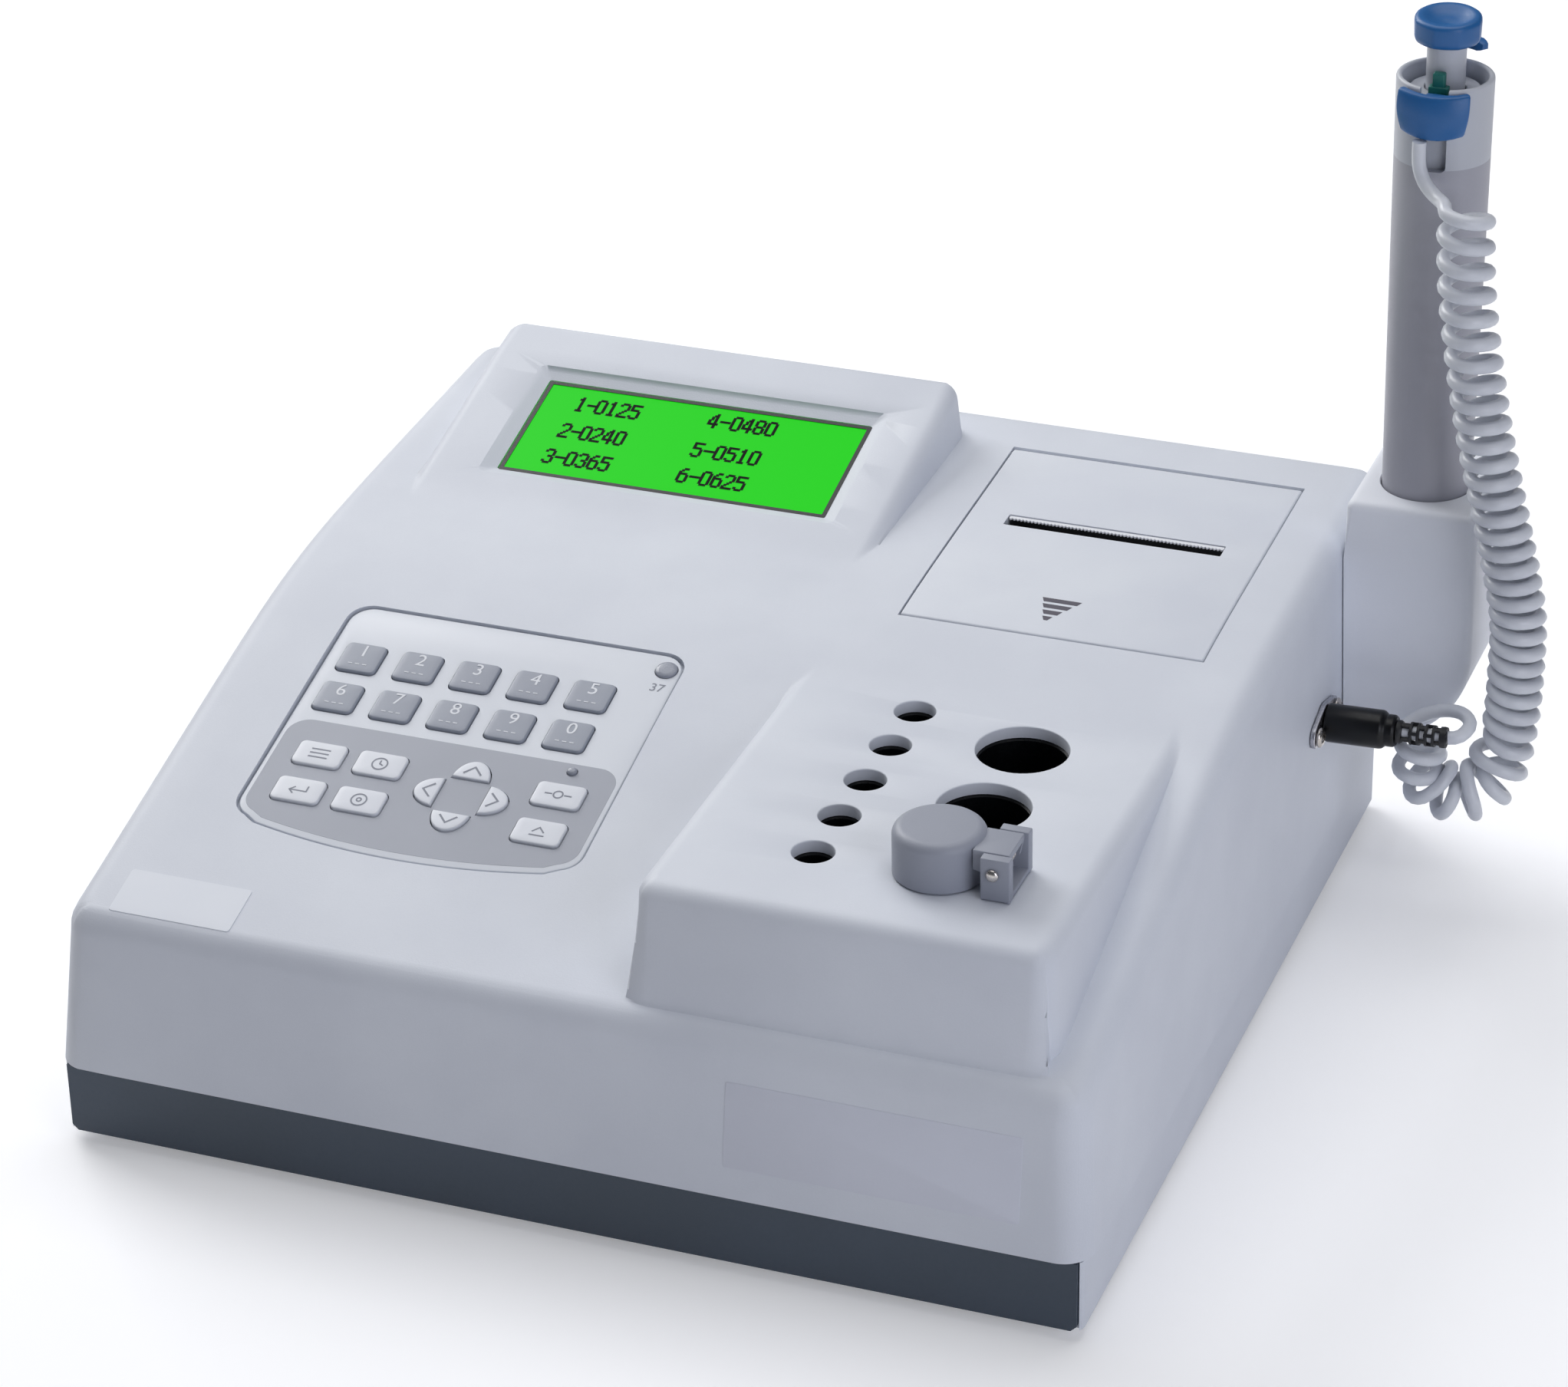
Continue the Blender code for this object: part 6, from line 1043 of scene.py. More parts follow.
def key_mark(name):
    """The bodies of a key's mark, drawn in strokes round the key's middle: three dashes under a digit."""
    if name[4:].isdigit():
        return [stroke([(x - 0.0006, -0.0026), (x + 0.0006, -0.0026)], 0.0003) for x in (-0.002, 0, 0.002)]
    if name in ARROW_WAYS:
        return [stroke(turned_flat([(0.0018, 0.0024), (0.0043, 0.0), (0.0018, -0.0024)], ARROW_WAYS[name]), 0.0005)]
    marks = {
        "key_menu": [[(-0.0026, y), (0.0026, y)] for y in (-0.0014, 0.0, 0.0014)],
        "key_timer": [round_path(0.0020), [(0, 0.0012), (0, 0), (0.0010, -0.0005)]],
        "key_enter": [[(0.0024, 0.0014), (0.0024, -0.0005), (-0.0022, -0.0005)],
                      [(-0.0009, 0.0007), (-0.0022, -0.0005), (-0.0009, -0.0017)]],
        "key_optic": [round_path(0.0020), round_path(0.0006)],
        "key_inline": [[(-0.0036, 0), (-0.0016, 0)], round_path(0.0012), [(0.0016, 0), (0.0036, 0)]],
        "key_feed": [[(-0.0016, -0.0004), (0, 0.0013), (0.0016, -0.0004)], [(-0.0020, -0.0015), (0.0020, -0.0015)]],
    }
    return [stroke(path, 0.00042) for path in marks[name]]


def make_key(name, middle, outline):
    """A raised key: a short wall, a quarter-round rim and a low crown, drawn as rings that shrink to its middle."""
    rings = [at_height(outline, -0.0030), at_height(outline, KEY_TOP - KEY_RIM)]
    rings += [at_height(grown(outline, -KEY_RIM * (1 - math.cos(a))), KEY_TOP - KEY_RIM * (1 - math.sin(a)))
              for a in np.radians([22, 45, 67, 90])]
    inner = grown(outline, -KEY_RIM)
    centre = inner.mean(axis=0)
    rings += [at_height(centre + (inner - centre) * share, KEY_TOP + 0.0001 * (1 - share**2))
              for share in (0.75, 0.5, 0.2)]
    grey, body = name[4:].isdigit(), f"{name}_body"
    piece(f"{name}_pad", rings_mesh(laid_on_pad(rings, middle), 50), body,
          KEY_GREY_FILM if grey else KEY_WHITE_FILM, (name,))
    if grey:
        points, faces = words_flat(name[4:], 0.0040)
        mesh = to_mesh(laid_on_pad(points, middle + (0.0002, 0.0024), MARK_LIFT), faces)
        piece(f"{name}_mark", mesh, body, KEY_INK)
    mesh = bodies_mesh([laid_on_pad(mark, middle, MARK_LIFT) for mark in key_mark(name)])
    piece(f"{name}_sign", mesh, body, KEY_INK if grey else MARK_INK)


make_keypad()


# Display: plain numbers in dark dots on the lit glass, and the gasket round it

DOT_ROWS = {
    "0": ".###. #...# #...# #...# #...# #...# #...# #...# .###.",
    "1": "..#.. .##.. ..#.. ..#.. ..#.. ..#.. ..#.. ..#.. .###.",
    "2": ".###. #...# ....# ....# ...#. ..#.. .#... #.... #####",
    "3": ".###. #...# ....# ....# ..##. ....# ....# #...# .###.",
    "4": "...#. ..##. .#.#. .#.#. #..#. #..#. ##### ...#. ...#.",
    "5": "##### #.... #.... ####. ....# ....# ....# #...# .###.",
    "6": "..##. .#... #.... ####. #...# #...# #...# #...# .###.",
    "8": ".###. #...# #...# #...# .###. #...# #...# #...# .###.",
    "-": "..... ..... ..... ..... ##### ..... ..... ..... .....",
}
DOT_PITCH = np.array([0.56, 0.67]) * MM
DOT_SHARE = (0.80, 0.70)  # of the pitch, that a dot reaches to each side of its middle
DISPLAY_LINES = (  # each text with the left and base of its first sign, in mm from the screen's middle
    ("1-", -36.2, 8.3), ("0125", -30.3, 8.3), ("2-", -36.4, -3.3), ("0240", -30.3, -3.3), ("3-", -36.7, -14.6),
    ("0365", -30.3, -14.6), ("4-", 2.6, 9.5), ("0480", 9.2, 9.5), ("5-", 2.5, -3.3), ("0510", 9.0, -3.3),
    ("6-", 2.5, -14.4), ("0625", 9.0, -14.4),
)


def dot_places(text, left, base):
    """The middles of a line's dark dots: nine rows of five dots to a sign, and one dot between signs."""
    cells = [(6 * k + column + 0.5, 8.5 - row) for k, sign in enumerate(text)
             for row, dots in enumerate(DOT_ROWS[sign].split()) for column, dot in enumerate(dots) if dot == "#"]
    return np.array((left, base)) * MM + np.array(cells) * DOT_PITCH


def make_display():
    """The dark dots as thin boxes on the glass, and a gasket whose left and rear edges show in the window."""
    dots = np.vstack([dot_places(*line) for line in DISPLAY_LINES])
    corner = np.array([(-1, -1), (1, -1), (1, 1), (-1, 1)]) * (DOT_PITCH * DOT_SHARE)
    flat = dots[:, None, :] + corner[None, :, :]
    layers = [np.concatenate([flat, np.full(flat.shape[:2] + (1,), -SCREEN_DEPTH + lift)], axis=2)
              for lift in (0.00002, 0.00005)]
    points = np.concatenate(layers, axis=1).reshape(-1, 3)
    box = np.array([(3, 2, 1, 0), (4, 5, 6, 7), (0, 1, 5, 4), (1, 2, 6, 5), (2, 3, 7, 6), (3, 0, 4, 7)])
    faces = (np.arange(len(dots))[:, None, None] * 8 + box[None]).reshape(-1, 4).tolist()
    mesh = to_mesh(tilted(points, SCREEN_AT, WEDGE_TILT), faces)
    piece("display_numbers", mesh, "case", LCD_INK)
    (x, y), shift = SCREEN_HALF, (0.0004, -0.0004)
    outer = rounded(-x - 0.0009, x + 0.0009, -y - 0.0009, y + 0.0009, 0.0004, 4) + shift
    inner = rounded(-x + 0.0003, x - 0.0003, -y + 0.0003, y - 0.0003, 0.0003, 4) + shift
    rings = [at_height(edge, -SCREEN_DEPTH + lift)
             for edge, lift in ((inner, 0.00002), (outer, 0.00002), (outer, 0.0002), (inner, 0.0002))]
    mesh = loop_mesh(tilted(np.array(rings), SCREEN_AT, WEDGE_TILT))
    piece("display_gasket", mesh, "case", BLACK_ABS)


make_display()


# Bare plates and the flap's mark


def make_plates():
    """A thin film that follows the deck, its rings shrinking to its middle, a label on the leaning front, and an
    arrow of four bars on the flap."""
    thick = 0.00018
    outline = rounded(-0.121, -0.088, 0.0098, 0.0240, 0.0008, 4)
    centre = outline.mean(axis=0)
    rings = []
    for share, lift in ((1, -0.0001), (1, thick * 0.6), *((share, thick) for share in (0.996, 0.75, 0.5, 0.25, 0.02))):
        flat = centre + (outline - centre) * share
        over = np.clip((FRONT_EDGE - (flat[:, 1] - FRONT_LEAN)) * CASE_EDGE / FRONT_EDGE, 0, CASE_EDGE)
        deck = deck_height(flat[:, 1]) - (CASE_EDGE - np.sqrt(CASE_EDGE**2 - over**2))
        rings.append(at_height(flat, deck + lift))
    piece("badge_plate", rings_mesh(rings), "case", BADGE_PLATE)
    lean = FRONT_LEAN / (DECK_FRONT_HEIGHT - CASE_EDGE - CASE_RIM)
    outline = rounded(0.044, 0.118, 0.0275, 0.0495, 0.0006, 4)
    rings = []
    for grow, out in ((0, -0.0001), (0, 0.00010), (-0.00015, 0.00014)):
        flat = grown(outline, grow)
        rings.append(np.column_stack([flat[:, 0], (flat[:, 1] - CASE_RIM) * lean - out, flat[:, 1]]))
    piece("front_label", rings_mesh(rings), "case", LABEL_FILM)
    bars = []
    tip, length, half = 0.1638, 0.0118, 0.0053
    for k in range(4):
        top, low = 1 - k / 4, 1 - (k + 0.62) / 4
        rear, front = tip + length * top, tip + length * low
        middle = 0.0720 - 0.0004 * k
        quad = np.array([(middle - half * low, front), (middle + half * low, front),
                         (middle + half * top, rear), (middle - half * top, rear)])
        bars.append([at_height(quad, deck_height(quad[:, 1]) + lift) for lift in (-0.0001, 0.00006)])
    piece("flap_mark", bodies_mesh(bars), "printer_flap", FLAP_INK)


make_plates()


# Well block, flap and arm


def make_well_block():
    """A block under the wells, each bore a little narrower than the casing's hole."""
    low, top = 0.0500, 0.0885
    block = rings_mesh(slab_rings(rounded(0.0440, 0.0975, 0.0335, 0.1245, 0.0040, 4), low, top, 0.0004))
    bores = []
    for x, y, radius in WELLS:
        radius -= 0.0003
        levels = [(radius - 0.0006, top - 0.0340), (radius, top - 0.0334), (radius, top - 0.0004),
                  (radius + 0.0004, top), (radius + 0.0004, top + 0.0020)]
        bores.append([at_height(circle(x, y, r, 64), z) for r, z in levels])
    piece("well_block", cut_mesh(block, bores), "case", WELL_ANODISED, ("incubator_block",))


def make_flap():
    """The printer's flap: the deck's curve above, the same curve lower by its thickness, a half round behind."""
    hinge = flap_hinge()
    ys = np.linspace(FLAP_FRONT + 2 * FLAP_GAP, hinge[0], 24)
    upper = np.column_stack([ys, deck_height(ys)])
    nose = arc(hinge, FLAP_THICK / 2, -90, 90, 12)
    outline = soft_corners(np.vstack([upper - (0, FLAP_THICK), nose[1:-1], upper[::-1]]), 0.0007, 3)
    edge = 0.0006
    rings = slab_rings(outline, FLAP_LEFT + FLAP_GAP, FLAP_RIGHT - FLAP_GAP, edge, 4, edge)
    pins = flap_pins(0.0008, (FLAP_LEFT - 0.0012, FLAP_LEFT + 0.0024), (FLAP_RIGHT - 0.0024, FLAP_RIGHT + 0.0012))
    mesh = cut_mesh(rings_mesh(drawn_along_x(rings)), pins, operation="UNION")
    slot = [at_height(rounded(0.0446, 0.1043, 0.2094, 0.2151, 0.0004, 3), z) for z in (0.0900, 0.1100)]
    piece("flap_moulded", cut_mesh(mesh, [slot]), "printer_flap", FLAP_ABS, ("printer_cover",))


def make_tear_bar():
    """A thin bar along the slot's rear with a saw's edge, even teeth whose tips and roots alternate along X, over a
    black block that fills the slot's rear wall under it: painted shade, standing in for the dark depth of the slot."""
    left, right, rear, root, tooth, teeth = 0.0449, 0.1040, 0.2148, 0.2137, 0.0006, 60
    step = np.arange(2 * teeth + 1)
    edge = np.column_stack([left + (right - left) * step / (2 * teeth), root - tooth * (step % 2)])
    outline = np.vstack([edge, [(right, rear), (left, rear)]])
    top = float(deck_height(rear)) - 0.00025
    low = top - 0.00045
    piece("tear_bar_moulded", rings_mesh([at_height(outline, low), at_height(outline, top)]), "printer_flap",
          TEAR_ACETAL, ("tear_bar",))
    # Black block under the bar: painted shade for the slot's dark depth
    slot_shade_block = slab_rings(rounded(left, right, root + 0.0001, rear, 0.0003, 3), top - 0.0030, low - 0.00002, 0.0001, 1)
    piece("tear_bar_painted_slot_shade", rings_mesh(slot_shade_block), "printer_flap", BLACK_ABS)


def make_arm():
    """The block that carries the holder tube: its side view, with a wide sweep under it, drawn from front to rear
    with round edges; its inner side stays flat against the casing."""
    foot, shoulder = 0.042, 0.095
    inner_low, inner_top = case_side(foot) + 0.0003, case_side(shoulder) + 0.0003
    right, top, edge, corner, sweep = 0.168, 0.1115, 0.0022, 0.0026, 0.028
    outline = np.vstack([
        [(inner_low, foot)], arc((right - sweep, foot + sweep), sweep, 270, 360, 24),
        arc((right - corner, top - corner), corner, 0, 90, 6),
        arc((inner_top + corner, top - corner), corner, 90, 180, 6), [(inner_top, shoulder)],
    ])
    rings = slab_rings(outline, 0.227, 0.2715, edge, 6, edge)
    inner = (outline[:, 0] < inner_low + 1e-4) & (outline[:, 1] < top - 0.0030)
    rings[:, inner, 0] = outline[inner, 0]
    socket = [at_height(circle(*TUBE_AT[:2], r, 72), z)
              for r, z in ((0.0120, top - 0.0060), (0.0120, top - 0.0003), (0.0123, top), (0.0123, top + 0.002))]
    mesh = cut_mesh(rings_mesh(drawn_along_y(rings)), [socket])
    # The arm's paler finish is painted light
    piece("arm_moulded", mesh, "case", ARM_PAINTED_LIGHT_ABS, ("arm_block",))


make_well_block()
make_flap()
make_tear_bar()
make_arm()


# Cap, its bracket, pin and spring

BRACKET_FRONT, BRACKET_REAR = 0.0356, 0.0530
PIN_BORE = 0.0011


def pin_bore(x, z, *ends):
    """A bore along Y for the cap's pin."""
    return drawn_along_y([at_height(circle(x, z, PIN_BORE, 24), y) for y in ends])


def make_cap():
    """A turned cup with a round upper edge, joined to an arm drawn from front to rear with a channel beneath it."""
    low, top, radius, edge = -0.0070, 0.0057, 0.0114, 0.0026
    profile = [(0.0087, low + 0.0090), (0.0090, low + 0.0087), (0.0090, low + 0.0003), (0.0093, low),
               (radius - 0.0003, low), (radius, low + 0.0003), *arc((radius - edge, top - edge), edge, 0, 90, 10)]
    across = CHANNEL_X - PIN_AT[0]
    cup = rings_mesh(turned_rings(profile, 96) + (across, 0, 0))
    outline = np.vstack([[(across + 0.0102, -0.0013)], arc((0, 0), 0.0026, 250, 340, 8),
                         [(0.0032, 0.0025), (0.0032, 0.0041), (across + 0.0102, 0.0041)]])
    arm = drawn_along_y(slab_rings(soft_corners(outline, 0.0004), -0.0063, 0.0049, 0.0003, 3, 0.0003))
    channel = box_rings(across + radius, 0.0052, -0.0045, 0.0031, low, 0.0025)
    mesh = cut_mesh(cut_mesh(cup, [arm], operation="UNION"), [channel], [pin_bore(0, 0, -0.0083, 0.0069)])
    piece("cap_moulded", mesh, "cap", CAP_ABS, ("channel_cap",), PIN_AT)


def make_bracket():
    """Two cheeks on a base, each a rounded rectangle drawn along X, made one and bored for the pin."""
    low, left, right, front, rear, cheek = BLOCK_TOP + 0.0003, 0.0969, 0.1042, BRACKET_FRONT, BRACKET_REAR, 0.0028
    top, base = low + 0.0111, low + 0.0014
    mesh = None
    for y0, y1, z0, z1, inset in ((front, front + cheek, low, top, 0), (rear - cheek, rear, low, top, 0),
                                  (front + 0.0004, rear - 0.0004, low + 0.0001, base, 0.0001)):
        solid = drawn_along_x(slab_rings(rounded(y0, y1, z0, z1, 0.00035, 3), left + inset, right - inset, 0.0003, 3,
                                         0.0003))
        mesh = cut_mesh(mesh, [solid], operation="UNION") if mesh else rings_mesh(solid)
    mesh = cut_mesh(mesh, [pin_bore(PIN_AT[0], PIN_AT[2], 0.033, 0.056)])
    piece("bracket_moulded", mesh, "case", CAP_ABS, ("cap_bracket",))


def make_pin():
    """A turned pin with a domed head at each end."""
    dome = [(0.0016 * math.cos(a), 0.0090 + 0.0009 * math.sin(a)) for a in np.radians(np.linspace(0, 82, 9))]
    half = [(0.0010, 0.0089), (0.0014, 0.0090), *dome]
    profile = [(r, -z) for r, z in half[::-1]] + half
    piece("pin_turned", rings_mesh(drawn_along_y(turned_rings(profile, 40)), 50), "case", PIN_STEEL,
          ("cap_pin",), (PIN_AT[0], (BRACKET_FRONT + BRACKET_REAR) / 2, PIN_AT[2]))


def make_spring():
    """A helix round the pin whose turns run evenly from one cheek to the other, a leg at each end."""
    front, rear, radius, turns = 0.0405, 0.0481, 0.00175, 5
    turn = np.linspace(0, turns, turns * 20 + 1)
    angle = math.pi + turn * 2 * math.pi
    y = front + 0.0006 + (rear - front - 0.0012) * turn / turns
    coil = np.stack([radius * np.cos(angle), y - PIN_AT[1], radius * np.sin(angle)], axis=1)
    first = coil[0] * (1, 1, 0) + (0, 0, -0.0050)
    last = coil[-1] * (1, 1, 0) + (0, 0, 0.0019)
    rings = tube_along(np.vstack([first, coil, last]), 0.0003, 10, (1, 0, 0))
    piece("spring_wire", rings_mesh(rings, 60), "case", PIN_STEEL, ("cap_spring",), PIN_AT)


make_cap()
make_bracket()
make_pin()
make_spring()


# Holder tube, pipette and its buttons, each drawn about the tube's axis


def make_tube():
    """A tube a little wider above than below, its rim rounded over, with a slot down from the rim in front."""
    low = 0.1058
    profile = np.vstack([
        [(0.0114, low), (0.0117, low + 0.0003), (0.0117, 0.1118)], arc((0.01165, 0.2252), 0.0008, 0, 180, 8),
        [(0.0101, 0.1500), (0.0075, 0.1500), (0.0075, low + 0.0003), (0.0078, low)],
    ])
    slot = rounded(-0.0037, 0.0037, 0.2040, 0.2300, 0.0014, 5)
    slot = drawn_along_y([at_height(slot, y) for y in (-0.0150, 0.0)])
    mesh = cut_mesh(loop_mesh(turned_rings(profile, 96)), [slot])
    piece("tube_extruded", mesh, "case", TUBE_PLASTIC, ("holder_tube",), TUBE_AT)


def make_pipette():
    """The pipette's turned body, bored for its rod, with a pocket for the tab."""
    top, bore, radius, edge = 0.2225, 0.0053, 0.0093, 0.0009
    profile = [(0.0013, 0.1140), (0.0026, 0.1350), (0.0068, 0.1503), (radius, 0.1503),
               *arc((radius - edge, top - edge), edge, 0, 90, 5), (bore + 0.0002, top), (bore, top - 0.0002),
               (bore, 0.2050)]
    pocket = box_rings(-0.0029, 0.0029, -0.0084, -0.0025, 0.2168, 0.2245)
    mesh = cut_mesh(rings_mesh(turned_rings(profile, 72)), [pocket])
    piece("pipette_moulded", mesh, "pipette", PIPETTE_PP, ("pipette_body",), TUBE_AT)


def make_rest():
    """The finger rest: a bent plate whose face swells in the middle of its height, narrower and dipped below, on a
    web to the pipette. It is drawn flat, then bent round the tube's axis."""
    low, high, inner, outer, bend = 0.2133, 0.2256, 0.0129, 0.0160, 0.0150
    half_low, half_high, edge, edge_share = 0.0090, 0.0102, 0.0005, 0.06
    flat = []
    for share in np.concatenate([[0, 0.02, 0.06], np.linspace(0.14, 0.86, 9), [0.94, 0.98, 1.0]]):
        near = 1 - min(share / edge_share, (1 - share) / edge_share, 1)  # one at the plate's ends, nought inside
        shrink = edge * (1 - math.sqrt(1 - near**2))
        half = half_low + (half_high - half_low) * share - shrink
        thick = (outer - inner) * (0.62 + 0.38 * math.sin(math.pi * share * 0.95))
        plan = rounded(-half, half, shrink, thick - shrink, min(0.0007, 0.45 * (thick - 2 * shrink)), 4)
        plan = finer(plan, 8)
        across = np.abs(plan[:, 0]) / half_high
        height = low + (high - low) * share + 0.0016 * across**2 * (1 - share) - 0.0005 * (1 - across**2) * share
        flat.append(at_height(plan, np.minimum(height, high)))
    flat = np.array(flat)
    angle = -math.pi / 2 - flat[..., 0] / bend
    far = inner + flat[..., 1]
    rings = np.stack([far * np.cos(angle), far * np.sin(angle), flat[..., 2]], axis=-1)
    plan = rounded(-0.0026, 0.0026, -0.0136, -0.0091, 0.0006, 3)
    web = slab_rings(plan, low + 0.0010, high - 0.0016, 0.0005, 3, 0.0005)
    piece("rest_moulded", bodies_mesh([rings, web]), "pipette", PIPETTE_BLUE, ("finger_rest",),
          TUBE_AT)


def make_plunger():
    """The rod, and a button that is round at its dished top and nearly eight-sided down its side. Each row of the
    button has its radius, its height and how much of the eight-sided form it takes."""
    rod = [(0.0047, 0.2140), (0.0050, 0.2143), (0.0050, 0.2345), (0.0048, 0.2347)]
    piece("rod_turned", rings_mesh(turned_rings(rod, 64)), "plunger", PIPETTE_PP, ("plunger_rod",),
          TUBE_AT)
    angle = np.arange(120) * 2 * math.pi / 120
    eighth = np.mod(angle + math.pi / 16, math.pi / 4) - math.pi / 8
    facet = math.cos(math.pi / 8) / np.cos(eighth)
    radius, low, high = 0.0087, 0.2350, 0.2424
    rows = [(radius - 0.0040, low, 0.5), (radius - 0.0015, low, 0.6), (radius - 0.0008, low + 0.0002, 0.8),
            (radius - 0.0003, low + 0.0008, 1.0), (radius, low + 0.0016, 1.0)]
    rows += [(radius, low + 0.0016 + (high - low - 0.0036) * k / 4, 1 - 0.1 * k) for k in range(1, 5)]
    rows += [(radius - 0.0013 * (1 - math.cos(a)), high - 0.0020 + 0.0014 * math.sin(a), 0.6 - 0.35 * a)
             for a in np.radians((25, 50, 75, 90))]
    rows += [(radius - 0.0019, high - 0.0006, 0.0), (radius - 0.0026, high - 0.0008, 0.0),
             (radius - 0.0036, high - 0.0014, 0.0), (radius - 0.0050, high - 0.0020, 0.0),
             (radius - 0.0068, high - 0.0023, 0.0), (0.0006, high - 0.0024, 0.0)]
    rings = []
    for far, z, share in rows:
        far = far * (1 - 0.5 * share + 0.5 * share * facet)
        lift = 0.0005 * np.clip((z - high + 0.004) / 0.004, 0, 1) * np.sin(angle)  # the top leans to the front
        rings.append(np.column_stack([far * np.cos(angle), far * np.sin(angle), z + lift - 0.0001]))
    piece("button_moulded", rings_mesh(rings, 50), "plunger", PIPETTE_BLUE, ("plunger_button",),
          TUBE_AT)


def make_ejector():
    """A crown behind the button, a rounded section carried round part of a circle and drawn in at its ends, on a stem
    that is part of a thin ring."""
    section = rounded(0.0100, 0.0133, 0.2293, 0.2323, 0.0008, 3)
    inset = np.concatenate([[0.0008, 0.0003], np.zeros(14), [0.0003, 0.0008]])
    crown = []
    for turn, less in zip(np.radians(np.linspace(132, 48, len(inset))), inset):
        flat = grown(section, -less)
        crown.append(np.column_stack([flat[:, 0] * math.cos(turn), flat[:, 0] * math.sin(turn), flat[:, 1]]))
    ring = np.vstack([arc((0, 0), 0.0104, 76, 104, 12), arc((0, 0), 0.0097, 104, 76, 12)])
    stem = slab_rings(soft_corners(ring, 0.0002, 2), 0.2080, 0.2310, 0.0001, 1)
    mesh = cut_mesh(rings_mesh(crown), [stem], operation="UNION")
    piece("ejector_moulded", mesh, "ejector", PIPETTE_BLUE, ("ejector_button",), TUBE_AT)


def make_tab():
    """The green tab: a foot in the pipette's pocket and a narrower head."""
    foot = slab_rings(rounded(-0.0026, 0.0026, -0.0081, -0.0056, 0.0005, 3), 0.2206, 0.2252, 0.0004, 3, 0.0003)
    head = slab_rings(rounded(-0.0016, 0.0016, -0.0079, -0.0056, 0.0005, 3), 0.2248, 0.2288, 0.0006, 4)
    mesh = cut_mesh(rings_mesh(foot), [head], operation="UNION")
    piece("tab_moulded", mesh, "start_tab_body", START_TEAL, ("start_tab",), TUBE_AT)


make_tube()
make_pipette()
make_rest()
make_plunger()
make_ejector()
make_tab()


# Jack, plug and strain relief

FLANGE_FACE = 0.0015  # out of the casing's side


def make_jack():
    """An eye-shaped flange with a barrel behind it, bored for the plug, and two round-headed screws with crossed
    slots."""
    end, middle = 0.0031, 0.0053
    lean = math.degrees(math.acos((middle - end) / SCREW_APART))  # where a straight side touches both rounds
    outline = np.vstack([
        arc((SCREW_APART, 0), end, -lean, lean, 12), arc((0, 0), middle, lean, 180 - lean, 6),
        arc((-SCREW_APART, 0), end, 180 - lean, 180 + lean, 12), arc((0, 0), middle, 180 + lean, 360 - lean, 6),
    ])
    plate = drawn_along_x(slab_rings(outline, 0.0003, FLANGE_FACE, 0.0003, 3))
    barrel = on_side(turned_rings([(0.0046, -0.0120), (0.0046, 0.0010)], 48))
    mesh = cut_mesh(rings_mesh(tilted(plate, JACK_AT, 0, SIDE_LEAN_ANGLE)), [barrel], operation="UNION")
    holes = [on_side(turned_rings([(radius, low), (radius, 0.0040)], sides), y)
             for radius, low, sides, y in ((0.0033, -0.0108, 40, 0), (0.0016, -0.0020, 24, -SCREW_APART),
                                           (0.0016, -0.0020, 24, SCREW_APART))]
    piece("jack_flange", cut_mesh(mesh, holes), "case", FLANGE_STEEL, ("jack_socket",))
    head = FLANGE_FACE + 0.0003
    shank, wide, domed = 0.0013, 0.0027, 0.0013
    profile = [(shank - 0.0002, head - 0.0060), (shank, head - 0.0057), (shank, head), (wide - 0.0002, head),
               (wide, head + 0.0003)]
    profile += [(wide * math.cos(a), head + 0.0003 + domed * math.sin(a)) for a in np.radians(np.linspace(8, 84, 9))]
    side = Matrix.Translation(Vector(JACK_AT)) @ Matrix.Rotation(math.pi / 2 - SIDE_LEAN_ANGLE, 4, "Y")
    for name, y, turn in (("front", -SCREW_APART, 25), ("rear", SCREW_APART, 70)):
        flats = [turned_flat(rounded(-0.0016, 0.0016, -0.00032, 0.00032, 0.0002, 2), way) for way in (turn, turn + 90)]
        slots = [[[at_height(flat, head + 0.0007), at_height(flat, head + 0.0030)]] for flat in flats]
        mesh = cut_mesh(rings_mesh(turned_rings(profile, 48), 50), *slots, sharp=50)
        mesh.transform(side @ Matrix.Translation((0, y, 0)))
        piece("screw_" + name, mesh, "case", SCREW_STEEL, ("socket_screw_" + name,))


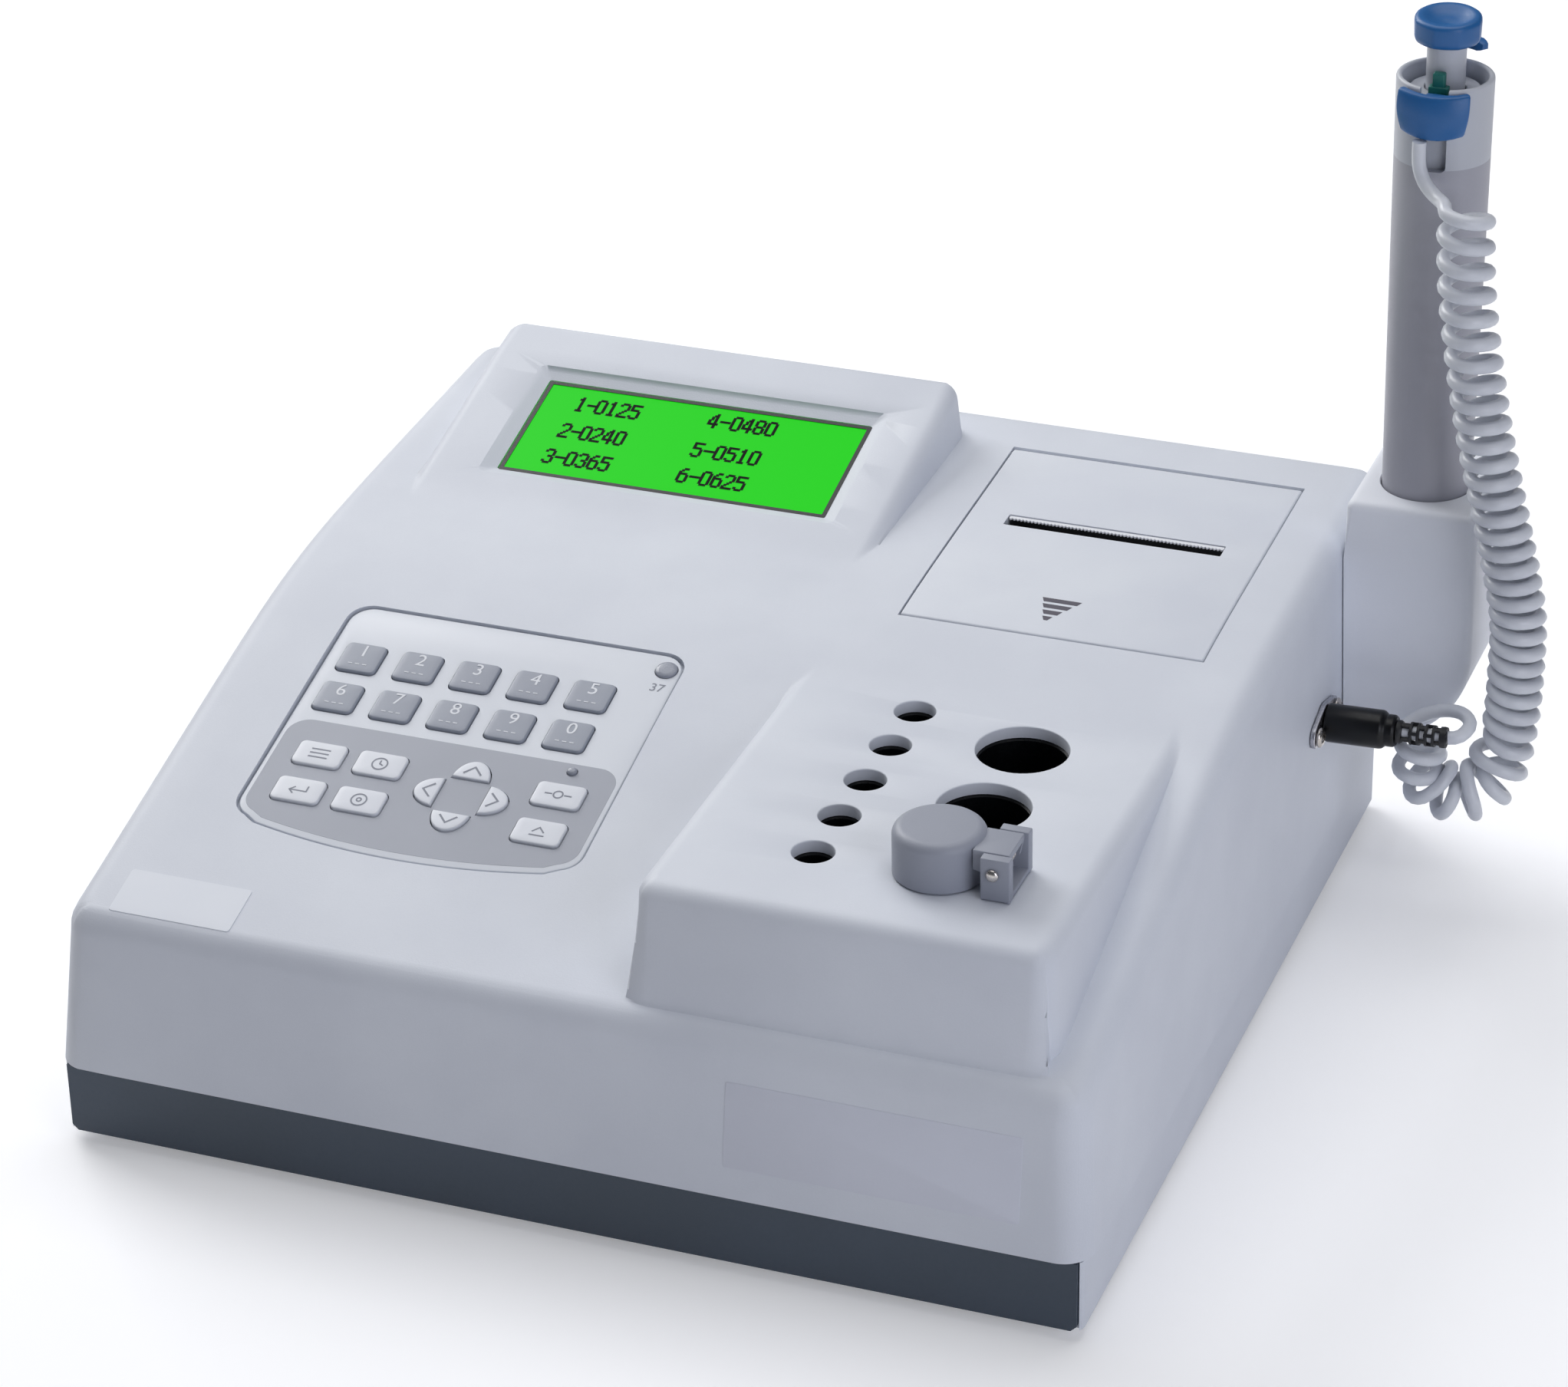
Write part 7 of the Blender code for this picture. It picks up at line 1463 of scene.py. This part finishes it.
def make_plug():
    """The plug's turned sleeve, and a strain relief of thin rings joined by struts that step round by 45 degrees
    from one gap to the next, with the cord showing between them."""
    start, end = PLUG_START, PLUG_START + PLUG_LENGTH
    profile = [(0.0014, start - 0.0100), (0.0029, start - 0.0071), (0.0029, start), (0.0049, start),
               (0.00515, start + 0.0004), (0.00515, end - 0.0040), (0.0050, end - 0.0035), (0.0045, end - 0.0029),
               (0.0042, end - 0.0025), (0.0043, end - 0.0022), (0.0043, end - 0.0006), (0.0038, end)]
    rings = on_side(turned_rings(round_profile(profile, 0.0004, 3), 64))
    piece("plug_sleeve", rings_mesh(rings, 50), "case", PLUG_BLACK, ("jack_plug",))
    begin, gaps, first, last_thick = end + RELIEF_GAP, 5, 0.0014, 0.0016
    gap = (RELIEF_LENGTH - first - last_thick) / gaps
    bodies = [on_side(turned_rings([(0.0031, begin), (0.0031, begin + 0.0008), (0.0028, begin + 0.0013),
                                    (0.0019, begin + first)], 32))]
    for k in range(gaps + 1):
        at, outer = begin + first + gap * k, 0.0030 - 0.00005 * k
        thick = last_thick if k == gaps else 0.0007
        if k:
            ring = [(0.0020, at), (outer, at), (outer + 0.0001, at + thick / 2), (outer, at + thick),
                    (0.0020, at + thick)]
            bodies.append(on_side(turned_rings(ring, 32)))
        for side in range(4 if k < gaps else 0):
            flat = turned_flat(rounded(0.0019, outer, -0.00045, 0.00045, 0.0002, 2), 90 * side + 45 * (k % 2) + 20)
            bodies.append(on_side([at_height(flat, at - 0.0001), at_height(flat, at + gap + 0.0002)]))
    piece("relief_moulded", bodies_mesh(bodies, 40), "case", RELIEF_PVC, ("strain_relief",))
    core = turned_rings([(CORD_RADIUS - 0.0002, begin + 0.0002), (CORD_RADIUS, begin + 0.0004),
                         (CORD_RADIUS, begin + RELIEF_LENGTH)], 24)
    piece("cord_core", rings_mesh(on_side(core)), "case", CORD_PVC)


make_jack()
make_plug()


# Feet and the rear's fittings


def make_feet():
    """Four turned rubber feet under the tray."""
    profile = round_profile([(0.0058, -0.0030), (0.0064, -0.0028), (0.0070, -0.0016), (0.0070, -0.0003)], 0.0004, 3)
    bodies = [turned_rings(profile, 40) + (x, y, 0) for x in (-0.113, 0.113) for y in (0.022, 0.250)]
    piece("rubber_feet", bodies_mesh(bodies), "case", FOOT_RUBBER,
          ("foot_front_left", "foot_front_right", "foot_rear_left", "foot_rear_right"))


def make_inlet():
    """The mains inlet: a block with soft edges, a mouth with two slanting upper corners, and three flat pins."""
    block = drawn_along_y(slab_rings(rounded(-0.015, 0.015, -0.012, 0.012, 0.0012, 4), 0.250, CASE_DEPTH, 0.0006, 3))
    mouth = soft_corners([(-0.0123, -0.0085), (0.0123, -0.0085), (0.0123, 0.0030), (0.0085, 0.0085),
                          (-0.0085, 0.0085), (-0.0123, 0.0030)], 0.0010)
    mouth = drawn_along_y([at_height(mouth, y) for y in (0.255, 0.275)])
    pins = []
    for x, z in ((-0.007, -0.002), (0.0, 0.002), (0.007, -0.002)):
        pin = rounded(x - 0.001, x + 0.001, z - 0.002, z + 0.002, 0.0003, 2)
        pins.append(drawn_along_y(slab_rings(pin, 0.253, 0.270, 0.0004, 3)))
    mesh = cut_mesh(cut_mesh(rings_mesh(block), [mouth]), pins, operation="UNION")
    piece("inlet_moulded", mesh, "case", BLACK_ABS, ("power_inlet",), INLET_AT)


def make_rocker():
    """The mains switch's rocker: a drum behind, and a hollowed face between two lips, drawn across its width and
    turned to its rest."""
    radius, lip, rest = 0.0080, math.radians(51), -8
    lip_y, lip_z = radius * math.cos(lip), radius * math.sin(lip)
    drum = arc((0, 0), radius, 100, 260, 20)
    t = np.linspace(-1, 1, 13)[:, None]
    face = np.hstack([lip_y - 0.0009 * (1 - t**2), t * lip_z])
    outline = turned_flat(soft_corners(np.vstack([drum, face]), 0.0003, 2), rest)
    rings = drawn_along_x(slab_rings(outline, -0.006, 0.006, 0.0004, 3, 0.0004))
    piece("rocker_moulded", rings_mesh(rings), "rocker", BLACK_ABS, ("power_switch",),
          SWITCH_AT + (0, CASE_DEPTH - 0.0061, 0))


make_feet()
make_inlet()
make_rocker()


# Floor, lights and world

FLOOR_HALF, FLOOR_AT = 6.0, -0.0002
FLOOR_GLOW = 0.25  # only for rays that look at the floor, so its shadow stays
LIGHTS_AIM = Vector((0, 0, 0.06))


def make_stage():
    """A plain white floor that is a little brighter to the camera than its lighting makes it."""
    points = np.array([(-1, -1, 0), (1, -1, 0), (1, 1, 0), (-1, 1, 0)]) * FLOOR_HALF
    floor = linked("floor", to_mesh(points, [[0, 1, 2, 3]]))
    floor.location = (0, 0, FLOOR_AT)
    made, tree, shader = new_material("floor_matt_white_paper", {
        "Roughness": 0.9, "Specular IOR Level": 0.0, "Base Color": linear("#f4f4f6"), "Emission Color": (1, 1, 1, 1)})
    rays = node(tree, "ShaderNodeLightPath").outputs
    seen = rays["Is Camera Ray"]
    for ray in ("Is Glossy Ray", "Is Transmission Ray"):
        seen = node(tree, "ShaderNodeMath", {0: seen, 1: rays[ray]}, operation="MAXIMUM").outputs[0]
    glow = node(tree, "ShaderNodeMath", {0: seen, 1: FLOOR_GLOW}, operation="MULTIPLY")
    tree.links.new(glow.outputs[0], shader.inputs["Emission Strength"])
    floor.data.materials.append(made)


def make_light(name, at, size, power, colour="#ffffff"):
    """A square area light that faces the instrument."""
    data = bpy.data.lights.new(name, "AREA")
    data.shape = "SQUARE"
    data.size = size
    data.energy = power
    data.color = linear(colour)[:3]
    made = linked(name, data)
    made.location = at
    made.rotation_euler = (LIGHTS_AIM - Vector(at)).to_track_quat("-Z", "Y").to_euler()


def make_world():
    """A dim cool surround that lights the scene, and plain white where the camera looks past the floor."""
    world = bpy.data.worlds.new("studio")
    bpy.context.scene.world = world
    world.use_nodes = True
    tree = world.node_tree
    ambient = tree.nodes["Background"]
    ambient.inputs["Color"].default_value = linear("#e8edf9")
    ambient.inputs["Strength"].default_value = 0.11
    white = node(tree, "ShaderNodeBackground", {"Color": (1, 1, 1, 1), "Strength": 1.0})
    light = node(tree, "ShaderNodeLightPath")
    mix = node(tree, "ShaderNodeMixShader", {0: light.outputs["Is Camera Ray"], 1: ambient.outputs[0],
                                             2: white.outputs[0]})
    tree.links.new(mix.outputs[0], tree.nodes["World Output"].inputs["Surface"])


make_stage()
make_light("overhead", (0.0, 0.3, 1.8), 1.6, 14.8)
make_light("left_rear", (-1.5, 0.9, 1.3), 1.2, 22.5)
make_light("left_near", (-0.9, 1.2, 1.0), 1.0, 3.6)
make_light("front_right", (0.9, -0.62, 0.45), 0.7, 3.9, "#f0f3ff")
make_world()
bpy.context.scene.view_settings.view_transform = "Standard"

# A material of its own kind for each node of the CAD listed here and for its keys, those that a new piece replaces too
CAD_LOOKS = {
    "base_tray arm_block": CASE_ABS, "front_band": BAND_PAINT, "holder_tube": TUBE_PLASTIC, "printer_cover": FLAP_ABS,
    "tear_bar keypad_panel": PANEL_FILM, "printer_frame lcd_module power_inlet power_switch": BLACK_ABS,
    "platen_roller foot_front_left foot_front_right foot_rear_left foot_rear_right": FOOT_RUBBER,
    "print_head": HEAD_STEEL, "incubator_block": WELL_ANODISED, "channel_cap cap_bracket": CAP_ABS,
    "cap_pin cap_spring": PIN_STEEL, "keypad_board main_board": BOARD_MASK, "lcd_screen": LCD_GREEN,
    "temp_lamp status_lamp": LAMP_LENS, "pipette_body plunger_rod": PIPETTE_PP, "start_tab": START_TEAL,
    "plunger_button ejector_button finger_rest": PIPETTE_BLUE, "jack_plug": PLUG_BLACK, "strain_relief": RELIEF_PVC,
    "jack_socket socket_screw_front socket_screw_rear": SCREW_STEEL,
}
looks = {name: look for names, look in CAD_LOOKS.items() for name in names.split()}
looks |= {name: KEY_GREY_FILM if name[4:].isdigit() else KEY_WHITE_FILM
          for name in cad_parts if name.startswith("key_")}
for name, look in looks.items():
    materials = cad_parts[name].data.materials
    materials.clear()
    materials.append(look)
